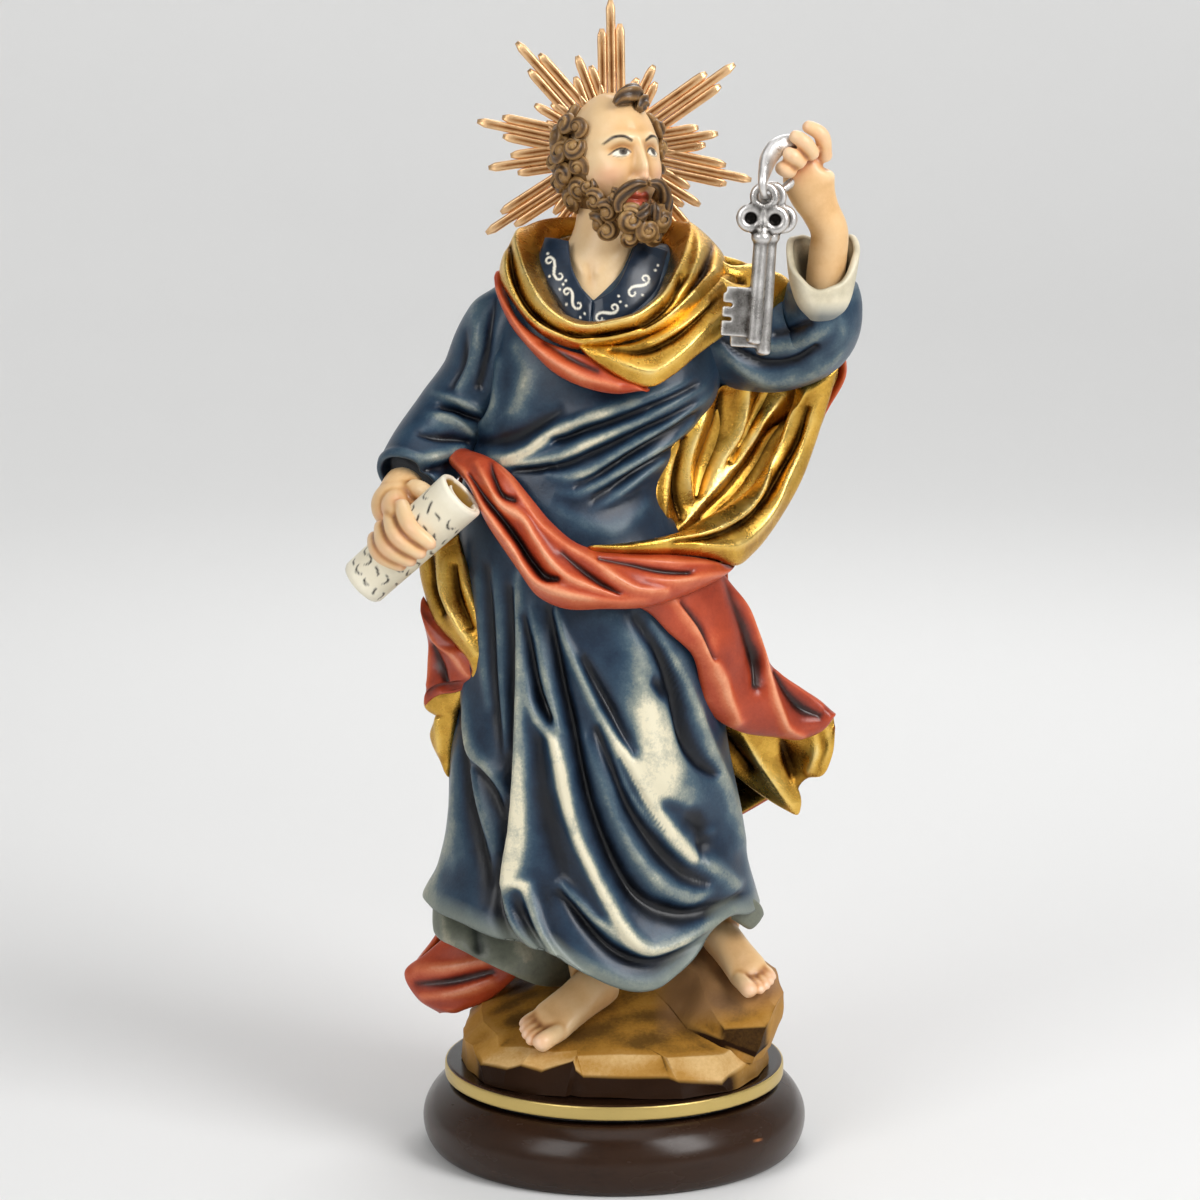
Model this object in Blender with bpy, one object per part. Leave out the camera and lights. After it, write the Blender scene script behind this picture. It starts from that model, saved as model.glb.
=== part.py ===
"""Carved and painted wooden statue of a standing bearded saint with a scroll and two keys.

The figure, its drapery, scroll and rock are one carved block. A ray halo sits behind the
head, a silver ring with two keys hangs from the raised fist, and the rock stands on a
turned plinth. The origin is at the centre of the plinth's underside, +Z is up, and the
figure faces -Y. Sizes below are in millimetres and turn to metres when a mesh is made.
"""
import math

import bmesh
import bpy
import numpy as np

MM = 0.001
GAP = 0.3  # clearance between separate pieces that touch

# Plinth
PLINTH_RADIUS = 60.5
FILLET_RADIUS = 53.4
FILLET_HEIGHT = 4.6
PLINTH_HEIGHT = 27.0

# Figure
FIGURE_FOOT = PLINTH_HEIGHT + GAP
CARVING_STEP = 1.2  # finest detail that the carved block keeps
FIGURE_TRIANGLES = 5200
HEAD_CENTRE = (-0.5, -3.0, 308.5)
HEAD_YAW = math.radians(30)
HEAD_TIP = math.radians(12)

# Halo
HALO_CENTRE = (-0.5, 19.6, 311.4)
HALO_SEAT = 18.2  # the hair is flat behind, where the halo sits on it
HALO_THICK = 1.5
FLUTE = 2.3  # width of one halo stick

# Keys
FRONT_KEY_HOLE = (44, -33.5, 298.5)
BACK_KEY_HOLE = (46.5, -28.5, 298.5)


# Curves and shells
def smooth_rows(rows, count):
    """A curve that passes through every row, read at evenly spread places."""
    rows = np.asarray(rows, float)
    step = np.linalg.norm(np.diff(rows[:, :3], axis=0), axis=1)
    at = np.concatenate([[0.0], np.cumsum(step)])
    slope = np.gradient(rows, at, axis=0)
    want = np.linspace(0.0, at[-1], count)
    i = np.clip(np.searchsorted(at, want, side="right") - 1, 0, len(rows) - 2)
    span = at[i + 1] - at[i]
    t = ((want - at[i]) / span)[:, None]
    span = span[:, None]
    return (
        (2 * t**3 - 3 * t**2 + 1) * rows[i]
        + (t**3 - 2 * t**2 + t) * span * slope[i]
        + (3 * t**2 - 2 * t**3) * rows[i + 1]
        + (t**3 - t**2) * span * slope[i + 1]
    )


def between(z, levels, column):
    """One column of a table of levels, at the heights z."""
    table = np.asarray(levels, float)
    table = table[np.argsort(table[:, 0])]
    fine = smooth_rows(table, 400)
    return np.interp(z, fine[:, 0], fine[:, column])


def unit(vectors):
    return vectors / np.linalg.norm(vectors, axis=-1, keepdims=True)


def shell(rings, flat_ends=False):
    """Closed surface through rings of points, as corners and triangles that face outwards.

    Its ends close on their middle point, or as a strip between the two halves of the ring.
    """
    rings = np.asarray(rings, float)
    rows, around = rings.shape[:2]
    corners = rings.reshape(-1, 3)
    i, j = np.meshgrid(np.arange(rows - 1), np.arange(around), indexing="ij")
    a, b = i * around + j, i * around + (j + 1) % around
    c, d = b + around, a + around
    faces = [np.stack([a, b, c], -1).reshape(-1, 3), np.stack([a, c, d], -1).reshape(-1, 3)]
    for row, turn in ((0, -1), (rows - 1, 1)):
        start = row * around
        if flat_ends:
            k = np.arange(around // 2 - 1)
            near, far = start + k, start + around - 1 - k
            ends = [np.stack([near, near + 1, far - 1], -1), np.stack([near, far - 1, far], -1)]
        else:
            k = np.arange(around)
            corners = np.vstack([corners, rings[row].mean(axis=0)])
            middle = np.full(around, len(corners) - 1)
            ends = [np.stack([start + k, start + (k + 1) % around, middle], -1)]
        faces += [end[:, ::turn] for end in ends]
    faces = np.concatenate(faces)
    volume = np.linalg.det(corners[faces]).sum()
    return corners, faces if volume > 0 else faces[:, ::-1]


def tube(points, reference=(0, 1, 0), steps=16, around=14):
    """Rod through rows of x, y, z, radius across, radius along the reference direction."""
    rows = smooth_rows(points, steps)
    centre, across, along = rows[:, :3], rows[:, 3], rows[:, -1]
    tangent = unit(np.gradient(centre, axis=0))
    side = unit(np.cross(tangent, np.asarray(reference, float)))
    front = np.cross(side, tangent)
    turn = np.linspace(0, 2 * math.pi, around, endpoint=False)
    ring = (
        centre[:, None]
        + np.cos(turn)[None, :, None] * (side * across[:, None])[:, None]
        + np.sin(turn)[None, :, None] * (front * along[:, None])[:, None]
    )
    return shell(ring)


def ball(centre, radii, tip=0.0, yaw=0.0, rows=12, around=18):
    """Ellipsoid, tipped back about X and then turned about Z."""
    rise = np.linspace(-0.49 * math.pi, 0.49 * math.pi, rows)[:, None]
    turn = np.linspace(0, 2 * math.pi, around, endpoint=False)[None]
    points = np.stack(
        [
            np.cos(rise) * np.cos(turn) * radii[0],
            np.cos(rise) * np.sin(turn) * radii[1],
            np.sin(rise) * radii[2] + 0 * turn,
        ],
        -1,
    )
    return shell(turned(points, tip, yaw) + np.asarray(centre, float))


def turned(points, tip, yaw):
    """Points tipped back about X (face up) and then turned about Z (face to the viewer's right)."""
    x, y, z = np.moveaxis(np.asarray(points, float), -1, 0)
    y, z = y * math.cos(tip) + z * math.sin(tip), z * math.cos(tip) - y * math.sin(tip)
    x, y = x * math.cos(yaw) - y * math.sin(yaw), x * math.sin(yaw) + y * math.cos(yaw)
    return np.stack([x, y, z], -1)


def relief(across, along, strokes):
    """Sum of carved strokes: rows of across, along, width, height, with a bell across each line."""
    across, along = np.broadcast_arrays(across, along)
    place = np.stack([across.ravel(), along.ravel()], -1)
    total = np.zeros(len(place))
    for rows in strokes:
        line = smooth_rows(np.array(rows, float), 8 * len(rows))
        start, reach = line[:-1, :2], np.diff(line[:, :2], axis=0)
        offset = place[:, None] - start[None]
        t = np.clip((offset * reach).sum(-1) / (reach**2).sum(-1), 0, 1)
        away = ((offset - t[..., None] * reach) ** 2).sum(-1)
        near = away.argmin(axis=1)
        pick = np.arange(len(place)), near
        here = line[near, 2:] + t[pick][:, None] * (line[near + 1, 2:] - line[near, 2:])
        total += here[:, 1] * np.exp(-away[pick] / np.maximum(here[:, 0], 0.1) ** 2)
    return total.reshape(across.shape)


def ribbon(first, second, bulge, thick, strokes=(), steps=40, across=14, outward=(0, -1, 0)):
    """Band of cloth between two edges, swelled outwards in its middle, with folds along it.

    Strokes are rows of place along (0 to 1), place across (0 to 1), width and height.
    """
    a, b = smooth_rows(first, steps), smooth_rows(second, steps)
    v = np.linspace(0, 1, across)
    sheet = a[:, None] + (b - a)[:, None] * v[None, :, None]
    along = np.linalg.norm(np.diff(a, axis=0), axis=1).sum()
    wide = np.linalg.norm(b - a, axis=1).mean()
    normal = unit(np.cross(np.gradient(sheet, axis=0), np.gradient(sheet, axis=1)))
    normal *= np.sign((normal * np.asarray(outward, float)).sum(-1, keepdims=True).mean())
    u = np.linspace(0, 1, steps)
    scaled = [[(s[0] * along, s[1] * wide, s[2], s[3]) for s in rows] for rows in strokes]
    height = bulge * 4 * v * (1 - v) + relief(u[:, None] * along, v[None] * wide, scaled)
    front = sheet + normal * height[..., None]
    back = sheet + normal * (height * 0.6 - thick)[..., None]
    return shell(np.concatenate([front, back[:, ::-1]], axis=1), flat_ends=True)


def mesh_of(name, shells):
    """A mesh in metres that holds all the shells."""
    corners, faces, count = [], [], 0
    for points, triangles in shells:
        corners.append(points * MM)
        faces.append(triangles + count)
        count += len(points)
    mesh = bpy.data.meshes.new(name)
    mesh.from_pydata(np.vstack(corners).tolist(), [], np.vstack(faces).tolist())
    return mesh


def add_object(name, mesh, material):
    """The mesh as a visible, smooth-shaded object with its material."""
    mesh.materials.append(material)
    piece = bpy.data.objects.new(name, mesh)
    bpy.context.collection.objects.link(piece)
    return piece


def paint(name, colour, roughness, metallic=0.0):
    material = bpy.data.materials.new(name)
    material.use_nodes = True
    surface = material.node_tree.nodes["Principled BSDF"]
    surface.inputs["Base Color"].default_value = (*colour, 1)
    surface.inputs["Roughness"].default_value = roughness
    surface.inputs["Metallic"].default_value = metallic
    return material


def cut(piece, name, mesh, operation="DIFFERENCE"):
    """Cuts the closed mesh out of the piece, or joins it to the piece."""
    tool = bpy.data.objects.new(name, mesh)
    bpy.context.collection.objects.link(tool)
    tool.hide_render = True
    tool.display_type = "WIRE"
    change = piece.modifiers.new(name, "BOOLEAN")
    change.operation = operation
    change.solver = "MANIFOLD"
    change.object = tool
    return tool


# Robe: height, left side, right side, depth in front, depth behind
ROBE_LEVELS = [
    (281, -17, 12, 6, 14),
    (277, -21, 17, 10, 16),
    (272, -24, 19, 15, 17),
    (267, -32, 26, 18, 19),
    (260, -38, 33, 22, 21),
    (250, -40, 35, 25, 23),
    (236, -41, 31, 29, 24),
    (222, -44, 20, 29, 24),
    (210, -47, 17, 30, 24),
    (196, -48, 24, 34, 26),
    (182, -48, 33, 37, 28),
    (165, -48, 35, 38, 29),
    (145, -49, 35, 40, 30),
    (128, -50, 36, 43, 31),
    (110, -50, 38.5, 42, 32),
    (95, -51, 41, 43, 33),
    (84, -56, 43, 45, 34),
    (74, -58, 48, 48, 35),
    (55, -58, 50, 49, 35),
]

# Hem: turn from the front (degrees, viewer's right positive), height
HEM = [(-180, 62), (-130, 74), (-90, 82), (-62, 71), (-35, 68), (-18, 62), (0, 60),
       (20, 60), (45, 67), (72, 76), (95, 78), (130, 70), (180, 62)]

# Folds of the skirt: x, z, width, height
SKIRT_FOLDS = [
    [(-31.5, 188, 3, 0.5), (-28, 163, 3.5, 2.5), (-28, 140, 4, 3.5), (-29, 118, 4.5, 4),
     (-29.5, 101.5, 5, 4.5), (-31.5, 88.5, 5, 3)],
    [(-24, 179, 2.5, 0.5), (-19.5, 153.5, 3, 2.5), (-17, 133.5, 3.5, 3), (-12, 111, 4, 3.5),
     (-4, 94.5, 4.5, 3.5), (5, 77, 5, 2.5), (13.5, 73, 5, 2), (26, 77, 5, 2), (36.5, 82.5, 5, 1.5)],
    [(-18, 177.5, 3, 0.5), (-11, 157.5, 3.5, 2), (-4, 144.5, 3.5, 1.8), (6, 131, 3, 0)],
    [(-26, 164, 3, -0.5), (-22, 130.5, 4, -3), (-20, 109.5, 5, -4.5), (-21, 87.5, 5, -4)],
    [(-19.5, 177.5, 2.5, -0.5), (-14.5, 156.5, 2.5, -2), (-9.5, 138.5, 2.5, -2), (-4.5, 119, 3, -2.5),
     (2, 91.5, 3, -1)],
    [(-7, 126.5, 3, -1), (0.5, 102, 3, -2.5), (12.5, 87, 3, -2.5), (29.5, 83.5, 3, -1.5)],
    [(-2, 117, 3, 0.8), (6.5, 101.5, 3, 2), (18.5, 90, 3, 2), (29, 86.5, 3, 1)],
    [(1, 114, 2.5, -0.8), (9, 102.5, 2.5, -2), (22.5, 91.5, 2.5, -2), (29.5, 88, 2.5, -1)],
    [(-2.5, 131, 3, 0.5), (5.5, 114.5, 3, 1.8), (17, 102.5, 3, 1.8), (29, 94, 3, 1)],
    [(7.5, 164.5, 13, 1), (16, 143, 15, 4), (21, 121, 15, 4), (26, 102, 12, 1)],
    [(15, 167, 3, -1), (19, 151, 3, -2.5), (24, 133, 3, -2.5), (29.5, 124.5, 3, -1)],
    [(26.5, 120.5, 2.5, -1), (31.5, 111.5, 2.5, -2), (32.5, 94, 2.5, -2)],
    [(-36.5, 147.5, 4, -1), (-35.5, 120, 4, -3), (-37.5, 85.5, 5, -3)],
    [(-42.5, 146.5, 4, 1), (-45, 115.5, 5, 2.5), (-49, 85.5, 5, 3)],
    [(-16.5, 91.5, 3, 1.5), (-5.5, 80.5, 4, 2.5), (5.5, 71, 4, 2), (23, 73, 4, 1.5)],
    [(-15.5, 86.5, 2.5, -1.5), (-7.5, 77.5, 2.5, -2), (5.5, 69, 3, -2)],
]

# Folds of the chest: x, z, width, height
CHEST_FOLDS = [
    [(-34.5, 221.5, 2.5, 0.5), (-17.5, 229, 3, 1.8), (-2.5, 234.5, 3, 1.8), (13.5, 240, 3, 0.8)],
    [(-17, 226, 2.5, -1), (4.5, 234.5, 2.5, -1.8), (25.5, 244, 2.5, -1)],
    [(-6, 220.5, 2.5, 0.8), (7.5, 230, 3, 1.6), (26, 240.5, 3, 1)],
    [(4.5, 216.5, 2.5, 0.8), (16, 228, 3, 1.6), (28.5, 237, 3, 1)],
    [(-43, 227.5, 2.5, 0.8), (-34.5, 235, 2.5, 1.6), (-25.5, 245.5, 3, 0.8)],
    [(-38.5, 225, 2.5, -1), (-30, 233, 2.5, -1.5), (-21, 244, 2.5, -0.5)],
    [(-33, 252.5, 4, 1.5), (-30, 242, 4, 1.2), (-31.5, 231.5, 4, 0.5)],
]


SIDE_PLEATS = 9
SIDE_PLEAT_DEPTH = 1.2
SIDE_PLEAT_TOP = 190


def robe(rows=110, around=140):
    """Robe from hem to neck: an oval for each height, moved outwards by its folds.

    The front carries the listed folds, and the sides and back carry even pleats below the hips.
    """
    turn = np.linspace(-math.pi, math.pi, around, endpoint=False)[None]
    up = np.linspace(0, 1, rows)[:, None]
    hem = between(np.degrees(turn), HEM, 1)
    top = ROBE_LEVELS[0][0]
    z = hem + (top - hem) * up
    left, right, front, back = (between(z, ROBE_LEVELS, k) for k in (1, 2, 3, 4))
    middle, half = (left + right) / 2, (right - left) / 2
    x = middle + half * np.sin(turn)
    depth = np.where(np.cos(turn) > 0, front, back)
    y = -depth * np.sign(np.cos(turn)) * np.abs(np.cos(turn)) ** 0.85
    facing = np.clip(np.cos(turn) * 1.6, 0, 1)
    out = relief(x, z, SKIRT_FOLDS + CHEST_FOLDS) * facing
    pleats = SIDE_PLEAT_DEPTH * np.sin(SIDE_PLEATS * turn + 0.02 * z)
    out += pleats * (1 - facing) * np.clip((SIDE_PLEAT_TOP - z) / 90, 0, 1)
    x = x + out * np.sin(turn)
    y = y - out * np.cos(turn)
    rings = np.stack([x, y, z], -1)
    rim = rings[0]
    inside = rim.mean(axis=0) + (rim - rim.mean(axis=0)) * (0.86, 0.86, 1.0) + (0, 0, 7)
    return shell(np.concatenate([inside[None], rings]))


# Back of the mantle: height, left x, left y, depth behind, right x, right y
BACK_LEVELS = [
    (281, -17, 12, 19, 14, 12),
    (274, -24, 12, 21, 24, 14),
    (266, -35, 12, 24, 40, 12),
    (256, -40, 14, 28, 66, 8),
    (245, -42, 16, 29, 72, 4),
    (232, -44, 14, 30, 66, 3),
    (213, -48, 8, 31, 57, 4),
    (197, -52, 2, 32, 49, 2),
    (186, -57, -4, 33, 42, 0),
    (170, -58, -4, 34, 42, 0),
    (155, -57, -4, 35, 47, 0),
    (144, -56, 0, 36, 58, 1),
    (135, -54, 4, 37, 67, 2),
    (120, -51, 8, 38, 66, 4),
    (100, -50, 12, 40, 58, 6),
    (80, -52, 15, 41, 50, 8),
    (62, -57, 14, 41, 45, 10),
    (50, -66, 15, 38, 42, 12),
    (38, -60, 16, 36, 40, 14),
]

# Lower hem of the mantle: place across from left (-1) to right (1), height
MANTLE_HEM = [(-1, 44), (-0.9, 38), (-0.6, 43), (-0.2, 62), (0.2, 82), (0.6, 102), (0.85, 106),
    (1, 101)]

# Folds of the mantle's back: place across in millimetres from its middle, z, width, height
BACK_FOLDS = [
    [(30, 262, 5, 1), (12, 225, 6, 3), (-8, 180, 7, 3.5), (-24, 120, 8, 4), (-36, 60, 8, 4)],
    [(44, 250, 5, 1), (30, 210, 6, 3), (14, 160, 7, 3.5), (0, 110, 8, 4), (-8, 70, 8, 4)],
    [(52, 235, 5, 1), (44, 190, 6, 2.5), (34, 150, 7, 3), (24, 110, 8, 3)],
    [(-10, 262, 5, 1), (-24, 220, 6, 2.5), (-38, 170, 6, 2.5), (-46, 120, 6, 2)],
    [(22, 245, 4, -1), (2, 200, 4, -2.5), (-14, 150, 5, -3), (-28, 90, 5, -3)],
    [(38, 230, 4, -1), (22, 185, 4, -2.5), (8, 140, 5, -3), (-4, 90, 5, -3)],
    [(50, 190, 4, -1), (46, 165, 5, -2.5), (42, 140, 5, -2.5), (40, 115, 5, -2)],
]


MANTLE_TOP = 280
MANTLE_SLOPE = 15  # how far the shoulders lie below the nape
MANTLE_THICK = 3.2


def mantle_back(rows=80, around=56):
    """Cloth round the back from under the carved arm to its other edge, down to a slanting hem."""
    v = np.linspace(-1, 1, around)[None]
    hem = between(v, MANTLE_HEM, 1)
    top = MANTLE_TOP - MANTLE_SLOPE * v**2
    z = top + (hem - top) * np.linspace(0, 1, rows)[:, None]
    columns = [between(z, BACK_LEVELS, k) for k in (1, 2, 3, 4, 5)]
    left, left_y, deep, right, right_y = columns
    x = (left + right) / 2 + (right - left) / 2 * np.sin(v * math.pi / 2)
    lean = (left_y + right_y) / 2 + (right_y - left_y) / 2 * v
    y = lean + (deep - lean) * (1 - np.abs(v) ** 2.4)
    out = relief(x, z, BACK_FOLDS) * np.clip(2.5 - 2.5 * np.abs(v), 0, 1)
    outer = np.stack([x + out * 0.3 * v, y + out, z], -1)
    inner = np.stack([x - MANTLE_THICK * 0.6 * v, y + out * 0.7 - MANTLE_THICK, z], -1)
    return shell(np.concatenate([outer, inner[:, ::-1]], axis=1), flat_ends=True)


def gold_collar():
    """Rolled edge of the gold lining, once round the neck."""
    return ribbon(
        [(1.5, 14, 286.5), (-9, 13, 286.5), (-18, 8, 285), (-22.5, 0, 281.5), (-23.5, -8, 276),
         (-20.5, -18, 268.5), (-15, -25, 261.5), (-6, -28, 260),
         (4.5, -27, 262), (10.5, -23, 266), (15, -14, 273), (17, -2, 281), (14, 8, 285),
         (6.5, 13, 286.5), (-4.5, 14, 286.5)],
        [(1.5, 20, 282.5), (-12.5, 19, 283), (-23.5, 13, 284), (-31.5, 2, 280.5), (-35, -8, 275),
         (-30.5, -20, 266), (-22.5, -27, 257.5), (-10.5, -31, 253),
         (1.5, -32, 254.5), (18, -28, 260), (29, -18, 267), (34.5, -2, 275.5), (30, 9, 280.5),
         (17, 16, 282.5), (-4.5, 20, 282.5)],
        4.5, 5, [[(0.2, 0.55, 2.5, 1.2), (0.5, 0.6, 2.5, 1.5), (0.8, 0.5, 2.5, 1)]], steps=60)


def red_border():
    """Strip of the red side that shows below the roll on the chest."""
    return ribbon(
        [(-36, -8, 272.5), (-30, -20, 265), (-22, -27, 257.5), (-10.5, -31, 253.5), (-2.5, -33, 248.5),
         (7.5, -34, 242.5)],
        [(-35, -6, 271.5), (-32, -19, 262), (-25.5, -27, 253), (-16, -31, 244.5), (-4.5, -33, 240),
         (9, -33, 240)],
        1.5, 4)


def chest_flap():
    """Gold lining turned out over the chest, down to a point."""
    return ribbon(
        [(-12, -31, 254.5), (-2.5, -33, 254.5), (6, -33, 257), (18, -29, 260.5), (27, -20, 267.5),
         (36.5, -6, 275), (44, 4, 276.5)],
        [(-4.5, -33, 248), (9, -34, 242), (14, -33, 244.5), (22.5, -30, 249.5), (31.5, -24, 255.5),
         (42.5, -14, 263.5), (51, -6, 269.5)],
        1.5, 4, [[(0.1, 0.5, 2, 1), (0.6, 0.45, 2.5, 1.4), (0.95, 0.4, 2.5, 0.5)]])


def shoulder_drape():
    """Gold lining over the shoulder of the raised arm."""
    return ribbon(
        [(18, 12, 287.5), (24.5, 6, 283), (33, 2, 278.5), (45, 0, 275.5), (52, 0, 271)],
        [(22.5, -18, 267), (28.5, -20, 263.5), (36, -17, 261), (45.5, -10, 263), (53, -4, 266.5)],
        3, 5, [[(0.1, 0.5, 4, 1), (0.9, 0.5, 4, 1)]])


def gold_edge():
    """Turned-over edge that falls from the raised arm and crosses the waist."""
    return ribbon(
        [(68, -2, 244.5), (64, 2, 229), (60.5, 2, 218.5), (56.5, 0, 208.5), (49.5, -4, 198.5),
         (41.5, -12, 190.5), (27.5, -24, 188),
         (17.5, -32, 190), (4.5, -38, 192.5), (-8, -38, 194.5)],
        [(57, 2, 239), (51.5, 6, 229), (46.5, 6, 219.5), (42.5, 2, 212), (36.5, -6, 207.5),
         (29.5, -14, 205.5), (21, -24, 199.5),
         (12.5, -30, 198), (2, -35, 196.5), (-8.5, -37, 195.5)],
        2.5, 4, [[(0.05, 0.5, 2, 1), (0.3, 0.5, 2.5, 2), (0.6, 0.5, 2.5, 1.5), (0.9, 0.5, 1.5, 0.5)]],
        steps=56)


def red_sash():
    """Red side of the mantle, drawn across the hips."""
    return ribbon(
        [(-47, 0, 221.5), (-41, -12, 220.5), (-32.5, -24, 217), (-25, -30, 207), (-18, -34, 200.5),
         (-9.5, -37, 195),
         (0.5, -38, 192.5), (17.5, -33, 191), (33, -20, 186.5), (39.5, -6, 185)],
        [(-50, 0, 215), (-46.5, -12, 211), (-40, -24, 204.5), (-33.5, -32, 194), (-25.5, -37, 183),
         (-16.5, -40, 178.5),
         (-4.5, -42, 177), (10.5, -40, 177.5), (25.5, -32, 181.5), (36.5, -16, 182)],
        3, 5, [[(0.05, 0.35, 2, 1), (0.3, 0.45, 3, 2.5), (0.6, 0.55, 3, 2), (0.95, 0.5, 3, 0.5)],
               [(0.15, 0.75, 2, -0.5), (0.4, 0.7, 2, -1.5), (0.6, 0.75, 2, -1.5), (0.8, 0.7, 2, -0.5)],
               [(0.3, 0.2, 2, -0.5), (0.5, 0.3, 2, -1.5), (0.7, 0.25, 2, -0.5)]], steps=56)


def red_tail():
    """Red end that swings out to the viewer's right of the hip."""
    return ribbon(
        [(33, -14, 187.5), (39.5, -12, 174.5), (44, -10, 162.5), (47, -8, 155.5), (55.5, -5, 146.5),
         (64.5, -2, 141.5), (69, 0, 137.5)],
        [(9, -40, 177.5), (17.5, -38, 167), (24, -32, 158), (26.5, -24, 145.5), (34, -18, 138),
         (45, -12, 133), (64.5, -2, 131.5)],
        3, 5, [[(0.05, 0.5, 3, 1), (0.4, 0.45, 3.5, 2.5), (0.7, 0.5, 3.5, 2.5), (0.95, 0.5, 3, 0.5)],
               [(0.2, 0.75, 2, -0.5), (0.6, 0.72, 2.5, -2), (0.9, 0.7, 2, -0.5)]], steps=44)


def tail_lining():
    """Gold lining that shows below the swinging end."""
    return ribbon(
        [(23.5, 0, 141.5), (34, 2, 135.5), (44.5, 4, 132), (56, 4, 130), (69, 3, 136)],
        [(27.5, 4, 129), (36, 8, 118), (46, 9, 108.5), (60, 8, 102.5), (68.5, 6, 122)],
        -2, 3.5, [[(0.2, 0.5, 3, 1.5), (0.9, 0.6, 3, 1.5)]], steps=32)


def wrist_end():
    """End of the mantle that hangs below the hand with the scroll."""
    return ribbon(
        [(-57, 0, 192), (-60, -2, 184), (-59, -4, 174), (-57, -4, 155), (-58.5, -4, 140)],
        [(-46.5, -14, 197), (-44.5, -20, 184), (-41, -22, 173), (-37, -20, 161.5), (-48.5, -12, 139)],
        3, 6, [[(0.1, 0.5, 3, 1), (0.6, 0.6, 3, 2), (0.95, 0.6, 3, 0.5)]])


def rear_corner():
    """Corner of the mantle that comes forward beside the rock."""
    return ribbon(
        [(-51.5, 8, 66), (-60.5, 10, 57.5), (-66.5, 10, 52), (-61.5, 8, 43), (-55.5, 5, 40)],
        [(-26.5, 4, 60.5), (-28, 0, 56.5), (-31.5, 0, 52.5), (-39.5, 2, 45), (-49.5, 4, 40.5)],
        2, 4, [[(0.2, 0.4, 3, 1), (0.7, 0.5, 3, 1.5)]], steps=24)


def sleeves():
    """Both arms of the robe, with their turned-back cuffs."""
    right_arm = tube([
        (-27, 2, 264, 11, 14), (-34, 2, 255, 13.5, 15), (-41, 3, 240, 13.5, 15),
        (-49, 2, 229, 13.5, 14),
        (-58, -6, 219, 12, 12.5), (-64, -14, 211.5, 11, 12),
    ], steps=26, around=22)
    left_arm = tube([
        (24, 2, 254, 13, 15), (36, 2, 254, 15, 16), (50, 0, 254, 15.5, 15.5), (60, -3, 257, 14, 14.5),
        (63, -8, 266, 12, 12.5), (63.5, -11, 276, 10.5, 11),
    ], steps=26, around=22)
    cuff = tube([
        (61, -11, 261, 7, 7), (62, -11, 265, 10.6, 10.6), (63, -11.5, 272, 11.4, 11.4),
        (63.5, -12, 281, 10.6, 10.6),
    ], around=22)
    return [right_arm, left_arm, cuff]


def hand_fingers(knuckles, tips, radius, bend):
    """Four fingers from a row of knuckles to a row of tips, each bent outwards in its middle."""
    rods = []
    for start, end in zip(np.asarray(knuckles, float), np.asarray(tips, float)):
        middle = (start + end) / 2 + np.asarray(bend, float)
        rods.append(tube([(*start, radius), (*middle, radius * 1.05), (*end, radius * 0.85)],
            (0, 0.3, 1), 10, 10))
    return rods


def hands():
    """The raised fist with its forearm, and the hand round the scroll."""
    forearm = tube([
        (62, -11, 268, 6.5, 6.5), (63.5, -13, 282, 5.8, 5.8), (63.5, -15, 291, 5.8, 5.4),
        (61.5, -18, 299, 7.5, 5.6),
        (58.5, -20, 307, 8.5, 5.6), (57.5, -21, 313, 7, 5), (56.5, -21.5, 317, 4, 3.5),
    ], steps=24, around=18)
    fist = hand_fingers(
        [(59, -22, 317), (57.5, -23.5, 312.5), (56, -24, 308), (54, -23.5, 303.5)],
        [(53, -21.5, 319.5), (49.5, -23, 316), (47.6, -23.5, 311.5), (47.2, -22.5, 307)],
        2.9, (0, -2.2, 0.6))
    thumb = tube([(57, -15, 302, 3.3), (52, -14, 308, 3), (50, -16, 313, 2.5)], (0, 0.3, 1), 10, 10)
    palm = ball((-64, -21, 204), (9, 8, 9.5), rows=10, around=16)
    grip = hand_fingers(
        [(-71, -26, 204), (-68, -29, 207.5), (-63.5, -32, 209), (-58.5, -33, 208)],
        [(-64, -39, 192.5), (-60, -41, 194), (-56, -42, 196), (-52.5, -42.5, 198)],
        3.1, (-1.5, -4.5, 2.5))
    return [forearm, thumb, palm, *fist, *grip]


SCROLL_LOW = (-76.5, -28, 182)
SCROLL_HIGH = (-45.5, -36, 210.5)
SCROLL_RADIUS = 7.2


def scroll():
    """Rolled sheet: a straight rod that opens slightly towards its upper end."""
    low, high = np.array(SCROLL_LOW, float), np.array(SCROLL_HIGH, float)
    points = [(*(low + (high - low) * t), SCROLL_RADIUS + 0.5 * t) for t in (0.0, 0.5, 1.0)]
    return tube(points, (0, 1, 0), 8, 18)


def curls(centres, radius):
    """Round locks of hair, one ball for each centre on the head."""
    places = turned(np.asarray(centres, float), HEAD_TIP, HEAD_YAW) + np.asarray(HEAD_CENTRE)
    return [ball(place, (radius, radius, radius), rows=8, around=10) for place in places]


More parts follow.
